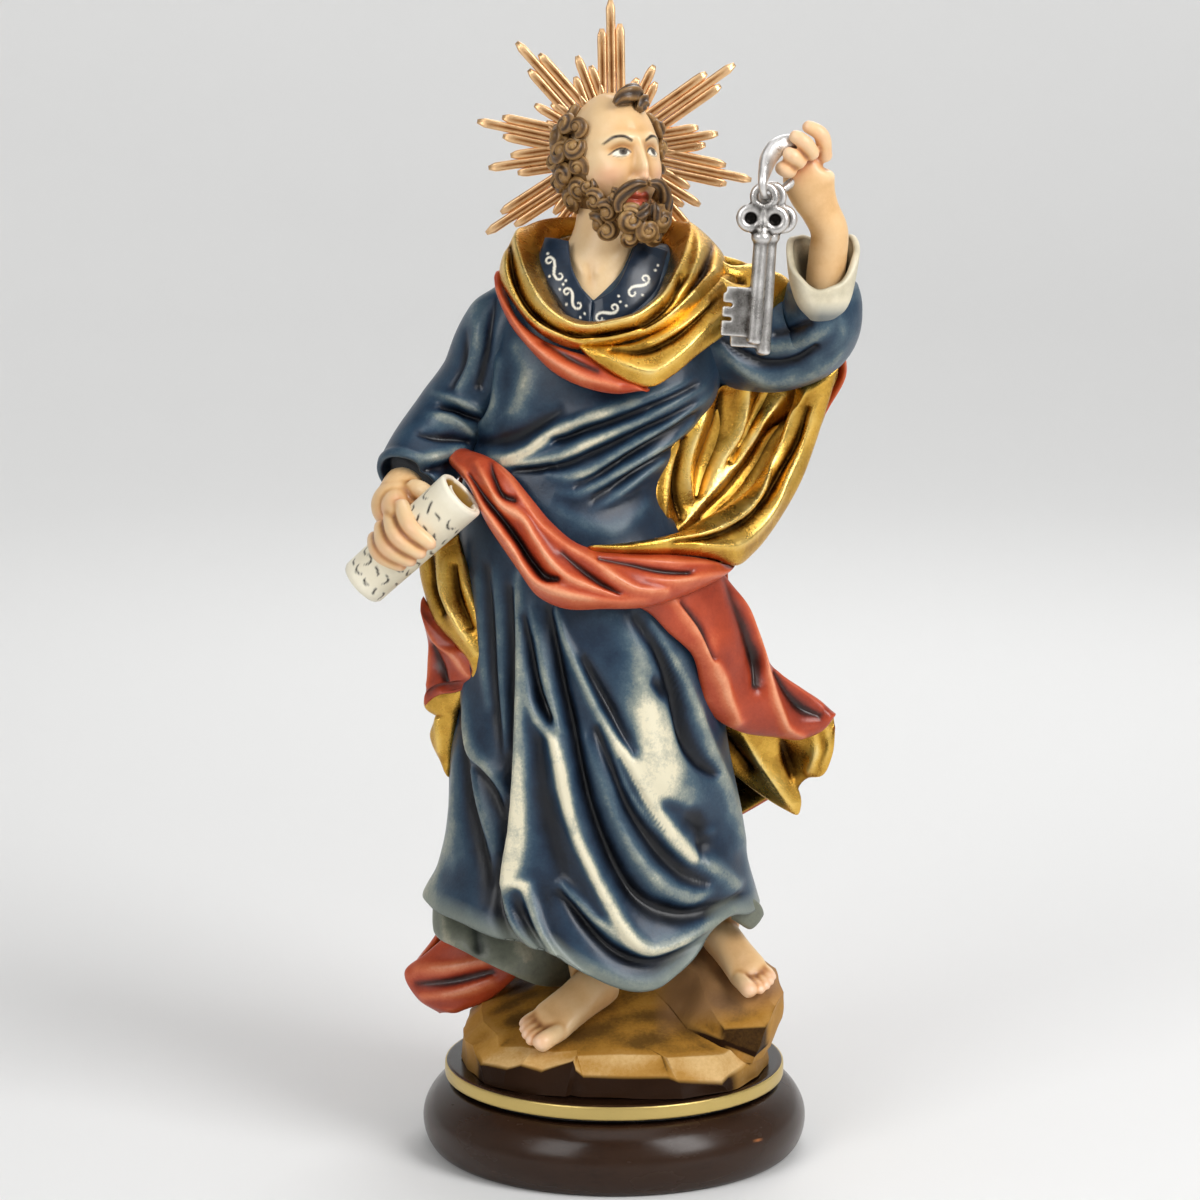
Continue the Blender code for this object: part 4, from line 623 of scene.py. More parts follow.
HIGHLIGHT_PATCHES = lines_on(SKIRT_OVAL, SKIRT_VIEW, [  # reach and strength of the painted highlight in cream over the blue
    [(700, 330, 4, 0.1), (735, 470, 6, 0.34), (765, 600, 8, 0.55), (765, 700, 8, 0.55),
     (830, 780, 5, 0.2)],
    [(345, 620, 2.5, 0.1), (345, 750, 3.6, 0.4), (345, 880, 4, 0.5), (340, 980, 4, 0.5)],
    [(450, 560, 2, 0.3), (470, 650, 2, 0.45), (490, 750, 2, 0.4), (530, 870, 1.6, 0.3),
     (600, 1030, 1.6, 0.3), (680, 1160, 2, 0.3)],
    [(600, 500, 2, 0.1), (660, 600, 2.4, 0.3), (720, 720, 2.6, 0.35), (800, 850, 2.4, 0.35),
     (900, 940, 2.2, 0.25)],
    [(850, 1190, 3, 0.2), (760, 1215, 3, 0.35), (600, 1120, 2.4, 0.2)]])
HIGHLIGHT_PATCHES += lines_on(CHEST_OVAL, CHEST_VIEW, [
    [(250, 860, 1.8, 0.45), (340, 830, 2, 0.6), (400, 790, 2, 0.55), (500, 735, 1.6, 0.3),
     (600, 700, 1.6, 0.2)],
    [(430, 860, 1.6, 0.2), (530, 810, 1.6, 0.35), (640, 760, 1.4, 0.15)],
    [(290, 470, 3, 0.16), (320, 560, 4.5, 0.26), (300, 650, 3.5, 0.22)],
    [(470, 560, 3.5, 0.1), (560, 650, 2.6, 0.14)],
    [(250, 700, 1.6, 0.16), (200, 760, 1.4, 0.2)],
    [(480, 930, 2.4, 0.2), (560, 900, 1.6, 0.2)]])
HIGHLIGHT_PATCHES += lines_on(SKIRT_OVAL, SKIRT_VIEW, [
    [(66, 1010, 3, 0.2), (60, 1035, 3, 0.3)],
    [(960, 700, 2, 0.2), (1000, 800, 2, 0.15)]])


def level_of(height, table, column):
    """One column of a table of levels, read at each height along a smooth curve through the rows."""
    table = np.asarray(table, float)
    fine = smooth_line(table[np.argsort(table[:, 0])], 500)
    return np.interp(height, fine[:, 0], fine[:, column])


def beside_line(place, rows, reach):
    """Nearest point of a smoothed line for each place near it: which places, how many of the line's own
    widths away they are, and the line's rise there."""
    line = smooth_line(np.array(rows, float), 4 * len(rows))
    margin = reach * line[:, 2].max()
    low, high = line[:, :2].min(0) - margin, line[:, :2].max(0) + margin
    near = np.flatnonzero(((place > low) & (place < high)).all(axis=1))
    start, step = line[:-1, :2], np.diff(line[:, :2], axis=0)
    offset = place[near, None] - start[None]
    t = np.clip((offset * step).sum(-1) / (step**2).sum(-1), 0, 1)
    away = ((offset - t[..., None] * step) ** 2).sum(-1)
    pick = np.arange(len(near)), away.argmin(axis=1)
    here = line[pick[1], 2:4] + t[pick][:, None] * (line[pick[1] + 1, 2:4] - line[pick[1], 2:4])
    return near, np.sqrt(away[pick]) / np.maximum(here[:, 0], 0.1), here[:, 1]


def carved(across, along, lines, sharpness=2.0):
    """Sum of chisel strokes. Each adds its rise times exp(-(distance from its line / width)^sharpness)."""
    across, along = np.broadcast_arrays(across, along)
    place = np.stack([across.ravel(), along.ravel()], -1)
    total = np.zeros(len(place))
    for rows in lines:
        near, gap, rise = beside_line(place, rows, 3)
        total[near] += rise * np.exp(-gap**sharpness)
    return total.reshape(across.shape)


def folded(across, along, lines, reach=5.0, soft=0.10):
    """Carved folds. Each line pulls the cloth to its own rise with the strength 1 / (gap^2 + soft), the
    gap counted in its widths, and cloth that no line pulls stays at 0. So crests and hollows are
    crisp, and one slope joins them."""
    across, along = np.broadcast_arrays(across, along)
    place = np.stack([across.ravel(), along.ravel()], -1)
    pull, lifted = np.ones(len(place)), np.zeros(len(place))
    for rows in lines:
        near, gap, rise = beside_line(place, rows, reach)
        strength = np.maximum(1 / (gap**2 + soft) - 1 / reach**2, 0)
        pull[near] += strength
        lifted[near] += strength * rise
    return (lifted / pull).reshape(across.shape)


def gown(rows=272, around=240):
    """Oval for each height, half-width times sine and depth times cosine of the turn, pushed outwards
    by the drawn folds in front and by even pleats at the sides and behind."""
    even = np.linspace(-math.pi, math.pi, around, endpoint=False)
    turn = (even - 0.6 * np.sin(even))[None]  # closer together in front, where the folds are
    up = np.linspace(0, 1, rows)[:, None]
    hem = level_of(np.degrees(turn), ROBE_HEM, 1)
    neckline = ROBE_LEVELS[0][0] - NECK_DIP * np.clip(1 - np.abs(turn + 0.16) / 0.62, 0, 1)
    z = hem + (neckline - hem) * up
    left, right, front, back = (level_of(z, ROBE_LEVELS, k) for k in (1, 2, 3, 4))
    x = (left + right) / 2 + (right - left) / 2 * np.sin(turn)
    y = -np.where(np.cos(turn) > 0, front, back) * np.sign(np.cos(turn)) * np.abs(np.cos(turn)) ** 0.85
    facing = np.clip(np.cos(turn) * 2.0 + 0.25, 0, 1)
    out = 1.2 * folded(x, z, SKIRT_FOLDS + CHEST_FOLDS) * facing
    pleats = 1.9 * np.sin(9 * turn + 0.025 * z) + 0.7 * np.sin(19 * turn - 0.05 * z + 1)
    out = out + pleats * (1 - facing) * fade(z, PLEAT_TOP, -PLEAT_FADE)
    x, y = x + out * np.sin(turn), y - out * np.cos(turn)
    # Broad patches of painted highlight in cream over the folds.
    pale = np.clip(carved(x, z, HIGHLIGHT_PATCHES, 1.6), 0, 1) * facing
    band = np.clip(1.5 - (z - hem) / HEM_BAND, 0, 1)
    rings = np.stack([x, y, z], -1)
    rim = rings[0]
    inside = rim.mean(axis=0) + (rim - rim.mean(axis=0)) * (0.93, 0.93, 1) + (0, 0, 3)
    surface = shell(np.concatenate([inside[None], rings]))
    spare = np.zeros(len(surface[0]) - around - rows * around)

    def whole(values, under):
        return np.concatenate([np.full(around, under), values.ravel(), spare])
    return surface, whole(out, -3.0), whole(pale, 0.0), whole(band, 0.0)


BLUE_TONES = [(0.0, (0.0015, 0.002, 0.004)), (0.22, (0.004, 0.008, 0.017)), (0.42, (0.010, 0.024, 0.049)),
              (0.58, (0.022, 0.050, 0.086)), (0.72, (0.062, 0.105, 0.138)), (0.86, (0.25, 0.28, 0.245)),
              (1.0, (0.74, 0.68, 0.50))]
gown_surface, gown_lift, painted_highlight, hem_band = gown()
gown_surface = neighbour_mean(*gown_surface, 1), gown_surface[1]
# Crests rubbed cream and hollows painted near black as shade, from the folds' rise and finer edges; the
# broad patches add painted highlight.
gown_worn = 0.41 + 0.30 * np.tanh(gown_lift / 2.8) + 0.42 * (edge_and_hollow(*gown_surface, 0.45, 18) - 0.5)
blue_paint = coating("blue_paint", BLUE_TONES, 0.38, cloud=0.17, cloud_size=7, fine_size=0.9, bump=0.16,
                     clear=0.10, layers=[("hem_band", (0.25, 0.27, 0.215))])
finished("blue_gown", gown_surface, blue_paint, "robe_blue",
         worn=np.clip(gown_worn + 0.62 * painted_highlight, 0, 1), hem_band=hem_band * 0.62)


def band_of_cloth(first, second, swell, thick, lines=(), steps=110, across=40, outward=(0, -1, 0),
                  flat=0.6):
    """Sheet between two smoothed edges. Its face stands out by swell * 4v(1 - v) plus the folds drawn
    over it in the front view (x and height), its back follows less, and it thins out at both edges."""
    a, b = smooth_line(first, steps), smooth_line(second, steps)
    v = 0.5 - 0.5 * np.cos(np.linspace(0, math.pi, across))
    sheet = a[:, None] + (b - a)[:, None] * v[None, :, None]
    along = np.linalg.norm(np.diff(a, axis=0), axis=1).sum()
    normal = unit(np.cross(np.gradient(sheet, axis=0), np.gradient(sheet, axis=1)))
    normal *= np.sign((normal * np.asarray(outward, float)).sum(-1, keepdims=True).mean())
    u = np.linspace(0, 1, steps)[:, None]
    lift = folded(sheet[..., 0], sheet[..., 2], lines)
    ends = np.clip(np.minimum(u, 1 - u) * along / 3.0, 0, 1) ** 0.5
    body = np.sqrt(np.clip(1 - (2 * v[None] - 1) ** 6, 0, 1)) * ends
    swelling = swell * 4 * v * (1 - v)
    front = sheet + normal * (swelling + lift + thick * 0.5 * body)[..., None]
    back = sheet + normal * (swelling * flat + lift * 0.4 - thick * 0.5 * body - 0.05)[..., None]
    surface = shell(np.concatenate([front, back[:, ::-1]], axis=1), flat_ends=True)
    return (*surface, np.concatenate([lift, 0.4 * lift[:, ::-1]], axis=1).ravel())


def relief(surface, base=0.46, broad=0.30, scale=2.2, fine=0.42, depth=0.35, times=10):
    """Wear and painted shade of a folded piece: its folds' own rise, with its finer edges added; low in the
    hollows, high on the crests.
    """
    points, faces, lift = surface
    lift = np.concatenate([lift, np.zeros(len(points) - len(lift))])
    return np.clip(base + broad * np.tanh(lift / scale) + fine * (
                       edge_and_hollow(points, faces, depth, times) - 0.5), 0, 1)


# Hem behind. A second, paler layer of the gown shows below the first at the left, and its corner sticks
# out behind the foot on the right. Both are thin carved edges, greyed with cream.
FOOT_VIEW = (4.923, 690, 905)
UNDER_HEM = marks(SKIRT_VIEW, [
    (84, 1000, 6), (150, 1040, -4), (250, 1070, -12), (350, 1100, -14), (450, 1140, -8), (560, 1180, 2)])
UNDER_HEM_EDGE = marks(SKIRT_VIEW, [
    (76, 1158, -5), (96, 1182, -12), (165, 1216, -20), (300, 1282, -23), (400, 1322, -16),
    (480, 1326, -6), (580, 1322, 2)])
GOWN_CORNER = marks(FOOT_VIEW, [(190, -50, -19), (240, -60, -18), (300, -40, -15), (345, -5, -12)])
GOWN_CORNER_EDGE = marks(FOOT_VIEW, [(205, 70, -18), (250, 98, -17), (292, 120, -15), (362, 50, -10)])
grey_hem = [band_of_cloth(UNDER_HEM, UNDER_HEM_EDGE, 0.8, 2.2, lines_on(SKIRT_OVAL, SKIRT_VIEW, [
    [(110, 1080, 1.6, 0.6), (125, 1195, 1.8, 1.2)],
    [(190, 1100, 1.6, -0.8), (212, 1230, 1.6, -1.6)],
    [(320, 1140, 2, 0.6), (335, 1280, 2, 1.2)]]), 80, 22),
            band_of_cloth(GOWN_CORNER, GOWN_CORNER_EDGE, 0.5, 2.0, steps=50, across=20)]
hem_paint = coating("hem_paint",
                    [(0.0, (0.015, 0.018, 0.016)), (0.4, (0.075, 0.085, 0.068)),
                     (0.7, (0.19, 0.20, 0.15)), (1.0, (0.55, 0.50, 0.36))], 0.42, cloud=0.25, clear=0.1)
for name, surface in zip(("under_hem", "hem_corner"), grey_hem):
    finished(name, surface[:2], hem_paint, "robe_blue", worn=relief(surface))


# Sleeves. Wide sleeves of the same gown on both arms, their crooks folded deeply at the elbow. The one
# on the raised arm ends in a turned-back cream cuff, and the other in a plain hem above the hand.
RIGHT_SLEEVE = [  # x, y, z, half-width, half-depth
    (-27, 2, 264, 11, 14), (-34, 2, 255, 13.5, 15), (-41, 3, 240, 13.5, 15), (-49, 2, 229, 13.5, 14),
    (-58, -6, 219, 12, 12.5), (-63.4, -13.2, 212.2, 10.4, 11.2)]
LEFT_SLEEVE = [
    (24, 2, 254, 13, 15), (36, 2, 254, 15, 16), (50, 0, 254, 15.5, 15.5), (60, -3, 257, 14, 14.5),
    (63, -8, 265, 12.4, 12.8), (63, -10, 271, 10.8, 11)]
HIP_VIEW = (3.59, 330, 440)
RIGHT_SLEEVE_FOLDS = lines_in(CHEST_VIEW, [
    [(200, 250, -12, 2.2, 0.4), (160, 330, -12, 2.6, 1.4), (165, 430, -12, 2.2, 1.6),
     (140, 520, -12, 2, 1.4), (95, 610, -12, 1.8, 1)],
    [(222, 300, -14, 1.1, -0.6), (204, 400, -14, 1.2, -1.6), (190, 500, -14, 1.3, -2),
     (165, 600, -14, 1.2, -1.6)],
    [(120, 420, -6, 1.4, -0.4), (118, 520, -6, 1.5, -1.2), (80, 600, -6, 1.4, -0.8)],
    [(40, 672, -10, 0.9, -1.6), (85, 680, -11, 1, -3.2), (130, 705, -12, 1, -3.2),
     (165, 722, -14, 0.9, -2)],
    [(20, 632, -8, 1.4, 0.8), (80, 648, -10, 1.5, 2.2), (130, 670, -12, 1.5, 2.4),
     (170, 688, -14, 1.3, 1.2)],
    [(0, 700, -8, 1.5, 0.8), (50, 714, -10, 1.6, 2.4), (100, 738, -12, 1.6, 2.6),
     (135, 765, -13, 1.4, 1.6)],
    [(-30, 755, -8, 0.9, -1), (30, 768, -10, 1, -2.4), (90, 780, -12, 1, -2.6),
     (130, 792, -13, 0.9, -1.6)]])
RIGHT_SLEEVE_FOLDS += lines_in(HIP_VIEW, [
    [(290, 52, -12, 1.5, 0.8), (340, 62, -13, 1.7, 1.9), (400, 52, -14, 1.7, 2.2),
     (470, 30, -14, 1.4, 1.2)],
    [(235, 100, -10, 1, -0.8), (300, 88, -12, 1.1, -2), (380, 96, -14, 1.1, -1.9),
     (440, 80, -14, 1, -1)],
    [(205, 112, -8, 1.5, 0.8), (260, 122, -12, 1.6, 2), (330, 132, -14, 1.6, 2),
     (380, 150, -15, 1.3, 1)],
    [(190, 168, -8, 1, -0.6), (250, 152, -12, 1, -1.6), (310, 166, -14, 1, -1.2)]])
LEFT_SLEEVE_FOLDS = lines_in(CHEST_VIEW, [
    [(990, 470, -8, 1.8, 0.6), (1060, 535, -10, 2, 1.8), (1150, 580, -10, 2.2, 2.2),
     (1260, 572, -10, 2.2, 2), (1360, 512, -8, 2, 1.6), (1425, 420, -6, 1.8, 0.8)],
    [(1000, 440, -8, 1.1, -1), (1060, 486, -10, 1.2, -2.6), (1150, 524, -12, 1.3, -2.8),
     (1240, 514, -12, 1.3, -2.6), (1310, 464, -10, 1.2, -1.6)],
    [(1100, 440, -12, 1.4, 0.6), (1180, 468, -12, 1.6, 1.4), (1250, 455, -12, 1.7, 1.8),
     (1320, 420, -12, 1.7, 1.6), (1370, 380, -10, 1.5, 0.6)],
    [(1180, 420, -12, 1.1, -1.4), (1240, 404, -12, 1.2, -2.2), (1290, 384, -12, 1.1, -1.4)],
    [(1380, 330, -10, 1.6, 0.4), (1400, 420, -10, 1.8, 1.2), (1360, 480, -10, 1.6, 0.6)]])


def swept(points, reference=(0, 1, 0), steps=120, around=96, lines=(), hollow=0.0, lip=0.0):
    """Profile carried along a path: an oval at right angles to the smoothed path, its radii smoothed
    with it, pushed outwards in front by the folds. A hollow sinks its far end in by that length."""
    rows = smooth_line(points, steps)
    centre, across, along = rows[:, :3], rows[:, 3], rows[:, -1]
    tangent = unit(np.gradient(centre, axis=0))
    side = unit(np.cross(tangent, np.asarray(reference, float)))
    front = np.cross(side, tangent)
    turn = 2 * math.pi * np.linspace(0, 1, around, endpoint=False)[None, :, None]
    length = np.linalg.norm(np.diff(centre, axis=0), axis=1).sum()
    outwards = np.cos(turn) * side[:, None] + np.sin(turn) * front[:, None]
    ring = (centre[:, None] + np.cos(turn) * side[:, None] * across[:, None, None]
            + np.sin(turn) * front[:, None] * along[:, None, None])
    facing = np.clip(0.5 - 2.0 * outwards[..., 1], 0, 1)
    lift = folded(ring[..., 0], ring[..., 2], lines) * facing
    rim = np.linspace(1, 0, steps)[:, None] * length
    ring = ring + outwards * (lift + lip * np.exp(-((rim - 1.4) / 1.1) ** 2))[..., None]
    if hollow:
        mouth = ring[-1] - centre[-1]
        inward = [centre[-1] + mouth * k - tangent[-1] * hollow * d for k,
                  d in ((0.97, -0.06), (0.93, -0.08), (0.88, -0.03), (0.84, 0.1), (0.80, 0.4),
                        (0.76, 0.8), (0.7, 1.0))]
        ring = np.concatenate([ring, np.array(inward)])
    return (*shell(ring), lift.ravel())


for name, surface in (("right_sleeve",
                       swept(RIGHT_SLEEVE, lines=RIGHT_SLEEVE_FOLDS, steps=96, around=90, hollow=4,
                             lip=0.5)),
                      ("left_sleeve", swept(LEFT_SLEEVE, lines=LEFT_SLEEVE_FOLDS, steps=90, around=96))):
    worn = relief(surface, 0.44, 0.24, 2.4)
    finished(name, surface[:2], blue_paint, "robe_blue", worn=worn, hem_band=0 * worn)


# Cuff. The end of the raised sleeve is turned back into a thick cream band that opens towards the front.
CUFF_MIDDLE = (62.8, -12)
CUFF_LEVELS = [  # turn from the front (viewer's right positive), bottom, rim height, half-width out
    (-180, 268, 286, 10.0), (-135, 267, 286, 10.0), (-100, 265, 285, 10.2), (-75, 262.5, 281, 10.5),
    (-45, 260.4, 275, 11.0), (-20, 259.6, 271.4, 11.2), (0, 259.6, 270.4, 11.2), (20, 260, 271.4, 11.2),
    (45, 261.4, 275.6, 11.0), (75, 264, 281.5, 10.6), (100, 266, 285, 10.4), (135, 268, 286, 10.2),
    (180, 268, 286, 10.0)]


def turned_back_cuff(steps=40, around=90):
    """Band round the forearm. At each turn its wall rises from bottom to rim, drawn in below as
    (1 - place)^3.2, rolls over a lip as a half circle and sinks in beside the arm."""
    turn = np.linspace(-180, 180, around, endpoint=False)
    bottom, rim, half = (level_of(turn, CUFF_LEVELS, k) for k in (1, 2, 3))
    angle = np.radians(turn)
    wall = np.linspace(0, 1, steps)[:, None]
    wavy_rim = rim + 0.5 * np.sin(3 * angle + 1) + 0.3 * np.sin(7 * angle)
    radius = half + 0.4 - 5.0 * (1 - wall) ** 3.2 + 0.5 * np.sin(2 * angle + 4 * wall)
    height = bottom + (wavy_rim - 1.2 - bottom) * wall
    roll = np.linspace(0, math.pi, 14)[1:, None]
    radius = np.concatenate([radius, radius[-1] - 1.1 + 1.1 * np.cos(roll),
                             radius[-1] - 2.3 - np.linspace(0, 3, 10)[:, None] ** 0.8])
    height = np.concatenate([height, height[-1] + 1.2 * np.sin(roll),
                             height[-1] - np.linspace(0.5, 9, 10)[:, None]])
    x = CUFF_MIDDLE[0] + radius * np.sin(angle)
    y = CUFF_MIDDLE[1] - 0.95 * radius * np.cos(angle)
    return shell(np.stack([x, y, height + 0 * x], -1))


cuff = turned_back_cuff()
cream_cloth = coating("cream_cloth",
                      [(0.0, (0.05, 0.045, 0.03)), (0.35, (0.20, 0.175, 0.115)),
                       (0.6, (0.43, 0.38, 0.26)), (1.0, (0.78, 0.71, 0.54))], 0.42, cloud=0.2, clear=0.1,
                      layers=[("blue_rest", (0.07, 0.11, 0.145))])
cx, cy, cz = cuff[0].T
finished("turned_cuff", cuff, cream_cloth, "robe_blue", worn=0.2 + 0.8 * edge_and_hollow(*cuff, 0.5, 20),
         blue_rest=np.clip((267 - cz) / 6, 0, 0.75) * fade(cx, 54, 8))


# Mantle. A wide cloak carved round the figure: down the back, over both shoulders, in a roll round the
# neck and across the hips. Its outside is painted brick red, and its lining is laid with burnished gold.
BACK_LEVELS = [  # height, left x, left y, depth behind, right x, right y
    (281, -17, 12, 19, 14, 12), (274, -24, 12, 21, 24, 14), (266, -35, 12, 24, 40, 12),
    (256, -40, 14, 28, 66, 8), (245, -42, 16, 29, 72, 4), (232, -44, 14, 30, 66, 3),
    (213, -48, 8, 31, 55, 4), (197, -52, 2, 32, 43, 2), (186, -57, -4, 33, 36, 1),
    (170, -58, -4, 34, 37, 1), (155, -57, -4, 35, 43, 1), (144, -56, 0, 36, 55, 1),
    (135, -54, 4, 37, 67, 2), (120, -51, 8, 38, 66, 4), (100, -50, 12, 40, 58, 6),
    (80, -52, 15, 41, 50, 8), (62, -57, 14, 41, 45, 10), (50, -66, 15, 38, 42, 12),
    (38, -60, 16, 36, 40, 14)]
MANTLE_HEM = [
    (-1, 44), (-0.9, 38), (-0.6, 43), (-0.2, 62), (0.2, 82), (0.6, 102), (0.8, 114), (0.9, 126), (1, 134)]
BACK_FOLDS = [  # place across from the middle, height, width, rise
    [(30, 262, 3, 1), (12, 225, 3.6, 3.4), (-8, 180, 4, 4.4), (-24, 120, 5, 5.0), (-36, 60, 5, 5.0)],
    [(44, 250, 3, 1), (30, 210, 3.6, 3.4), (14, 160, 4, 4.4), (0, 110, 5, 5.0), (-8, 70, 5, 5.0)],
    [(52, 235, 3, 1), (44, 190, 3.6, 3.2), (34, 150, 4, 4.0), (24, 110, 5, 4.2), (18, 90, 5, 4.2)],
    [(-10, 262, 3, 1), (-24, 220, 3.6, 3), (-38, 170, 4, 3.4), (-46, 120, 4, 3.0), (-50, 60, 4, 2.8)],
    [(16, 264, 2.6, 1), (0, 232, 2.8, 2.4), (-16, 195, 3.0, 2.6), (-26, 165, 3.0, 1.4)],
    [(34, 245, 2.6, 1), (22, 205, 2.8, 2.2), (12, 176, 3.0, 2.2), (4, 150, 2.6, 1)],
    [(22, 245, 2.0, -1), (2, 200, 2.4, -2.8), (-14, 150, 2.8, -3.6), (-28, 90, 3.2, -4.0),
     (-32, 60, 3.2, -3.6)],
    [(38, 230, 2.0, -1), (22, 185, 2.4, -2.8), (8, 140, 2.8, -3.6), (-4, 90, 3.2, -4.0)],
    [(50, 190, 2.0, -1), (42, 160, 2.4, -2.8), (34, 125, 2.8, -3.2), (28, 105, 3.2, -2.6)],
    [(-16, 240, 2.0, -0.8), (-32, 190, 2.4, -2.4), (-42, 140, 2.8, -2.8), (-46, 90, 3.0, -2.4)]]


def cloak_back(offset, thick, rows=106, around=84):
    """Sheet round the back. At each height the place across runs from side to side as a sine, and the
    depth is that of the sides plus (behind - sides) * (1 - |v|^2.4); the folds push it outwards."""
    v = np.linspace(-1, 1, around)[None]
    hem = level_of(v, MANTLE_HEM, 1)
    top = 280 - 15 * v**2
    z = top + (hem - top) * np.linspace(0, 1, rows)[:, None]
    left, left_y, deep, right, right_y = (level_of(z, BACK_LEVELS, k) for k in (1, 2, 3, 4, 5))
    x = (left + right) / 2 + (right - left) / 2 * np.sin(v * math.pi / 2)
    lean = (left_y + right_y) / 2 + (right_y - left_y) / 2 * v
    y = lean + (deep - lean) * (1 - np.abs(v) ** 2.4)
    out = 1.25 * folded(x, z, BACK_FOLDS, soft=0.6) * np.clip(2.5 - 2.5 * np.abs(v), 0, 1)
    edge = np.sqrt(np.clip(1 - np.abs(v) ** 12, 0, 1)) * np.clip((z - hem) / 1.5 + 0.15, 0, 1) ** 0.5
    near = np.stack([x + (out * 0.3 - offset) * v, y + out - offset, z], -1)
    far = near - np.stack([thick * 0.8 * v * edge, thick * edge + 0.05, 0 * z], -1)
    surface = shell(np.concatenate([near, far[:, ::-1]], axis=1), flat_ends=True)
    return neighbour_mean(*surface, 2), surface[1], np.concatenate([out, out[:, ::-1]], axis=1).ravel()


red_tones = [(0.0, (0.010, 0.003, 0.002)), (0.22, (0.06, 0.010, 0.006)), (0.42, (0.26, 0.029, 0.010)),
             (0.60, (0.45, 0.062, 0.019)), (0.78, (0.64, 0.155, 0.062)), (1.0, (0.86, 0.42, 0.23))]
red_paint = coating("red_paint", red_tones, 0.36, cloud=0.15, cloud_size=8, fine_size=0.9, bump=0.14,
                    clear=0.15)
gold_tones = [(0.0, (0.020, 0.008, 0.002)), (0.22, (0.10, 0.045, 0.006)), (0.42, (0.40, 0.20, 0.028)),
              (0.62, (0.72, 0.42, 0.075)), (0.82, (0.88, 0.58, 0.15)), (1.0, (0.98, 0.76, 0.32))]
gold_leaf = coating("gold_leaf", gold_tones, 0.27, metallic=1.0, cloud=0.20, cloud_size=6, fine_size=0.7,
                    bump=0.40)


def cloth(name, surface, finish, slot):
    """One carved cloth piece, painted dark as shade in its folds and worn on its crests."""
    return finished(name, surface[:2], finish, slot, worn=relief(surface))


cloth("cloak_back", cloak_back(0, 3.0), red_paint, "mantle_red")
cloth("cloak_lining", cloak_back(2.8, 1.6, 70, 50), gold_leaf, "leaf_gold")

# Gold hollow. Beside the chest the cloak falls open from the raised arm, so that its lining shows in
# deep soft pleats between the ribs and the turned-over edge.
GOLD_HOLLOW = band_of_cloth(
    marks(CHEST_VIEW, [
        (1000, 600, -6), (930, 670, -8), (880, 740, -11), (830, 800, -13), (785, 870, -15),
        (768, 960, -17), (768, 1050, -20), (780, 1130, -24)]),
    marks(CHEST_VIEW, [
        (1385, 560, 6), (1365, 650, 8), (1335, 740, 8), (1300, 830, 8), (1250, 930, 6), (1190, 1020, 0),
        (1110, 1100, -6), (1020, 1160, -12)]),
    -7, 3.0,
    lines_in(CHEST_VIEW, [
        [(955, 660, -4, 1.5, 1), (925, 730, -4, 1.7, 2.6), (900, 800, -4, 1.9, 3.4),
         (890, 880, -4, 1.9, 3.4), (905, 950, -6, 1.7, 2.4), (925, 1010, -8, 1.4, 1)],
        [(1110, 610, -2, 1.5, 1.2), (1100, 690, -2, 1.7, 2.8), (1080, 770, -2, 1.8, 3.2),
         (1030, 850, -4, 1.8, 3), (985, 930, -6, 1.6, 2.2), (950, 1000, -8, 1.3, 0.8)],
        [(1230, 650, 0, 1.6, 1), (1165, 715, 0, 1.8, 2.6), (1120, 790, -2, 1.9, 3.2),
         (1070, 860, -2, 2, 3.4), (1000, 930, -4, 1.8, 3), (930, 1010, -8, 1.6, 2.2),
         (870, 1070, -12, 1.3, 1)],
        [(850, 800, -8, 1.2, 0.6), (822, 880, -8, 1.3, 1.6), (815, 960, -10, 1.3, 1.4),
         (820, 1040, -14, 1.2, 0.6)],
        [(1000, 630, -4, 1.2, -1.4), (1000, 720, -4, 1.5, -3), (980, 810, -4, 1.6, -3.6),
         (950, 890, -5, 1.4, -3.2), (935, 960, -7, 1.2, -1.8)],
        [(1170, 640, 0, 1.2, -1.2), (1130, 710, -1, 1.3, -2.6), (1100, 790, -2, 1.3, -2.8),
         (1050, 860, -3, 1.2, -2)],
        [(1250, 720, 0, 1.2, -1), (1180, 790, -1, 1.3, -2.4), (1130, 870, -2, 1.4, -2.8),
         (1050, 950, -4, 1.3, -2.6), (960, 1030, -9, 1.2, -1.6)],
        [(865, 780, -7, 1, -1), (848, 860, -8, 1.2, -2.2), (850, 950, -10, 1.2, -2.2),
         (880, 1040, -12, 1, -1.2)]]), steps=112, across=68)
cloth("gold_hollow", GOLD_HOLLOW, gold_leaf, "leaf_gold")

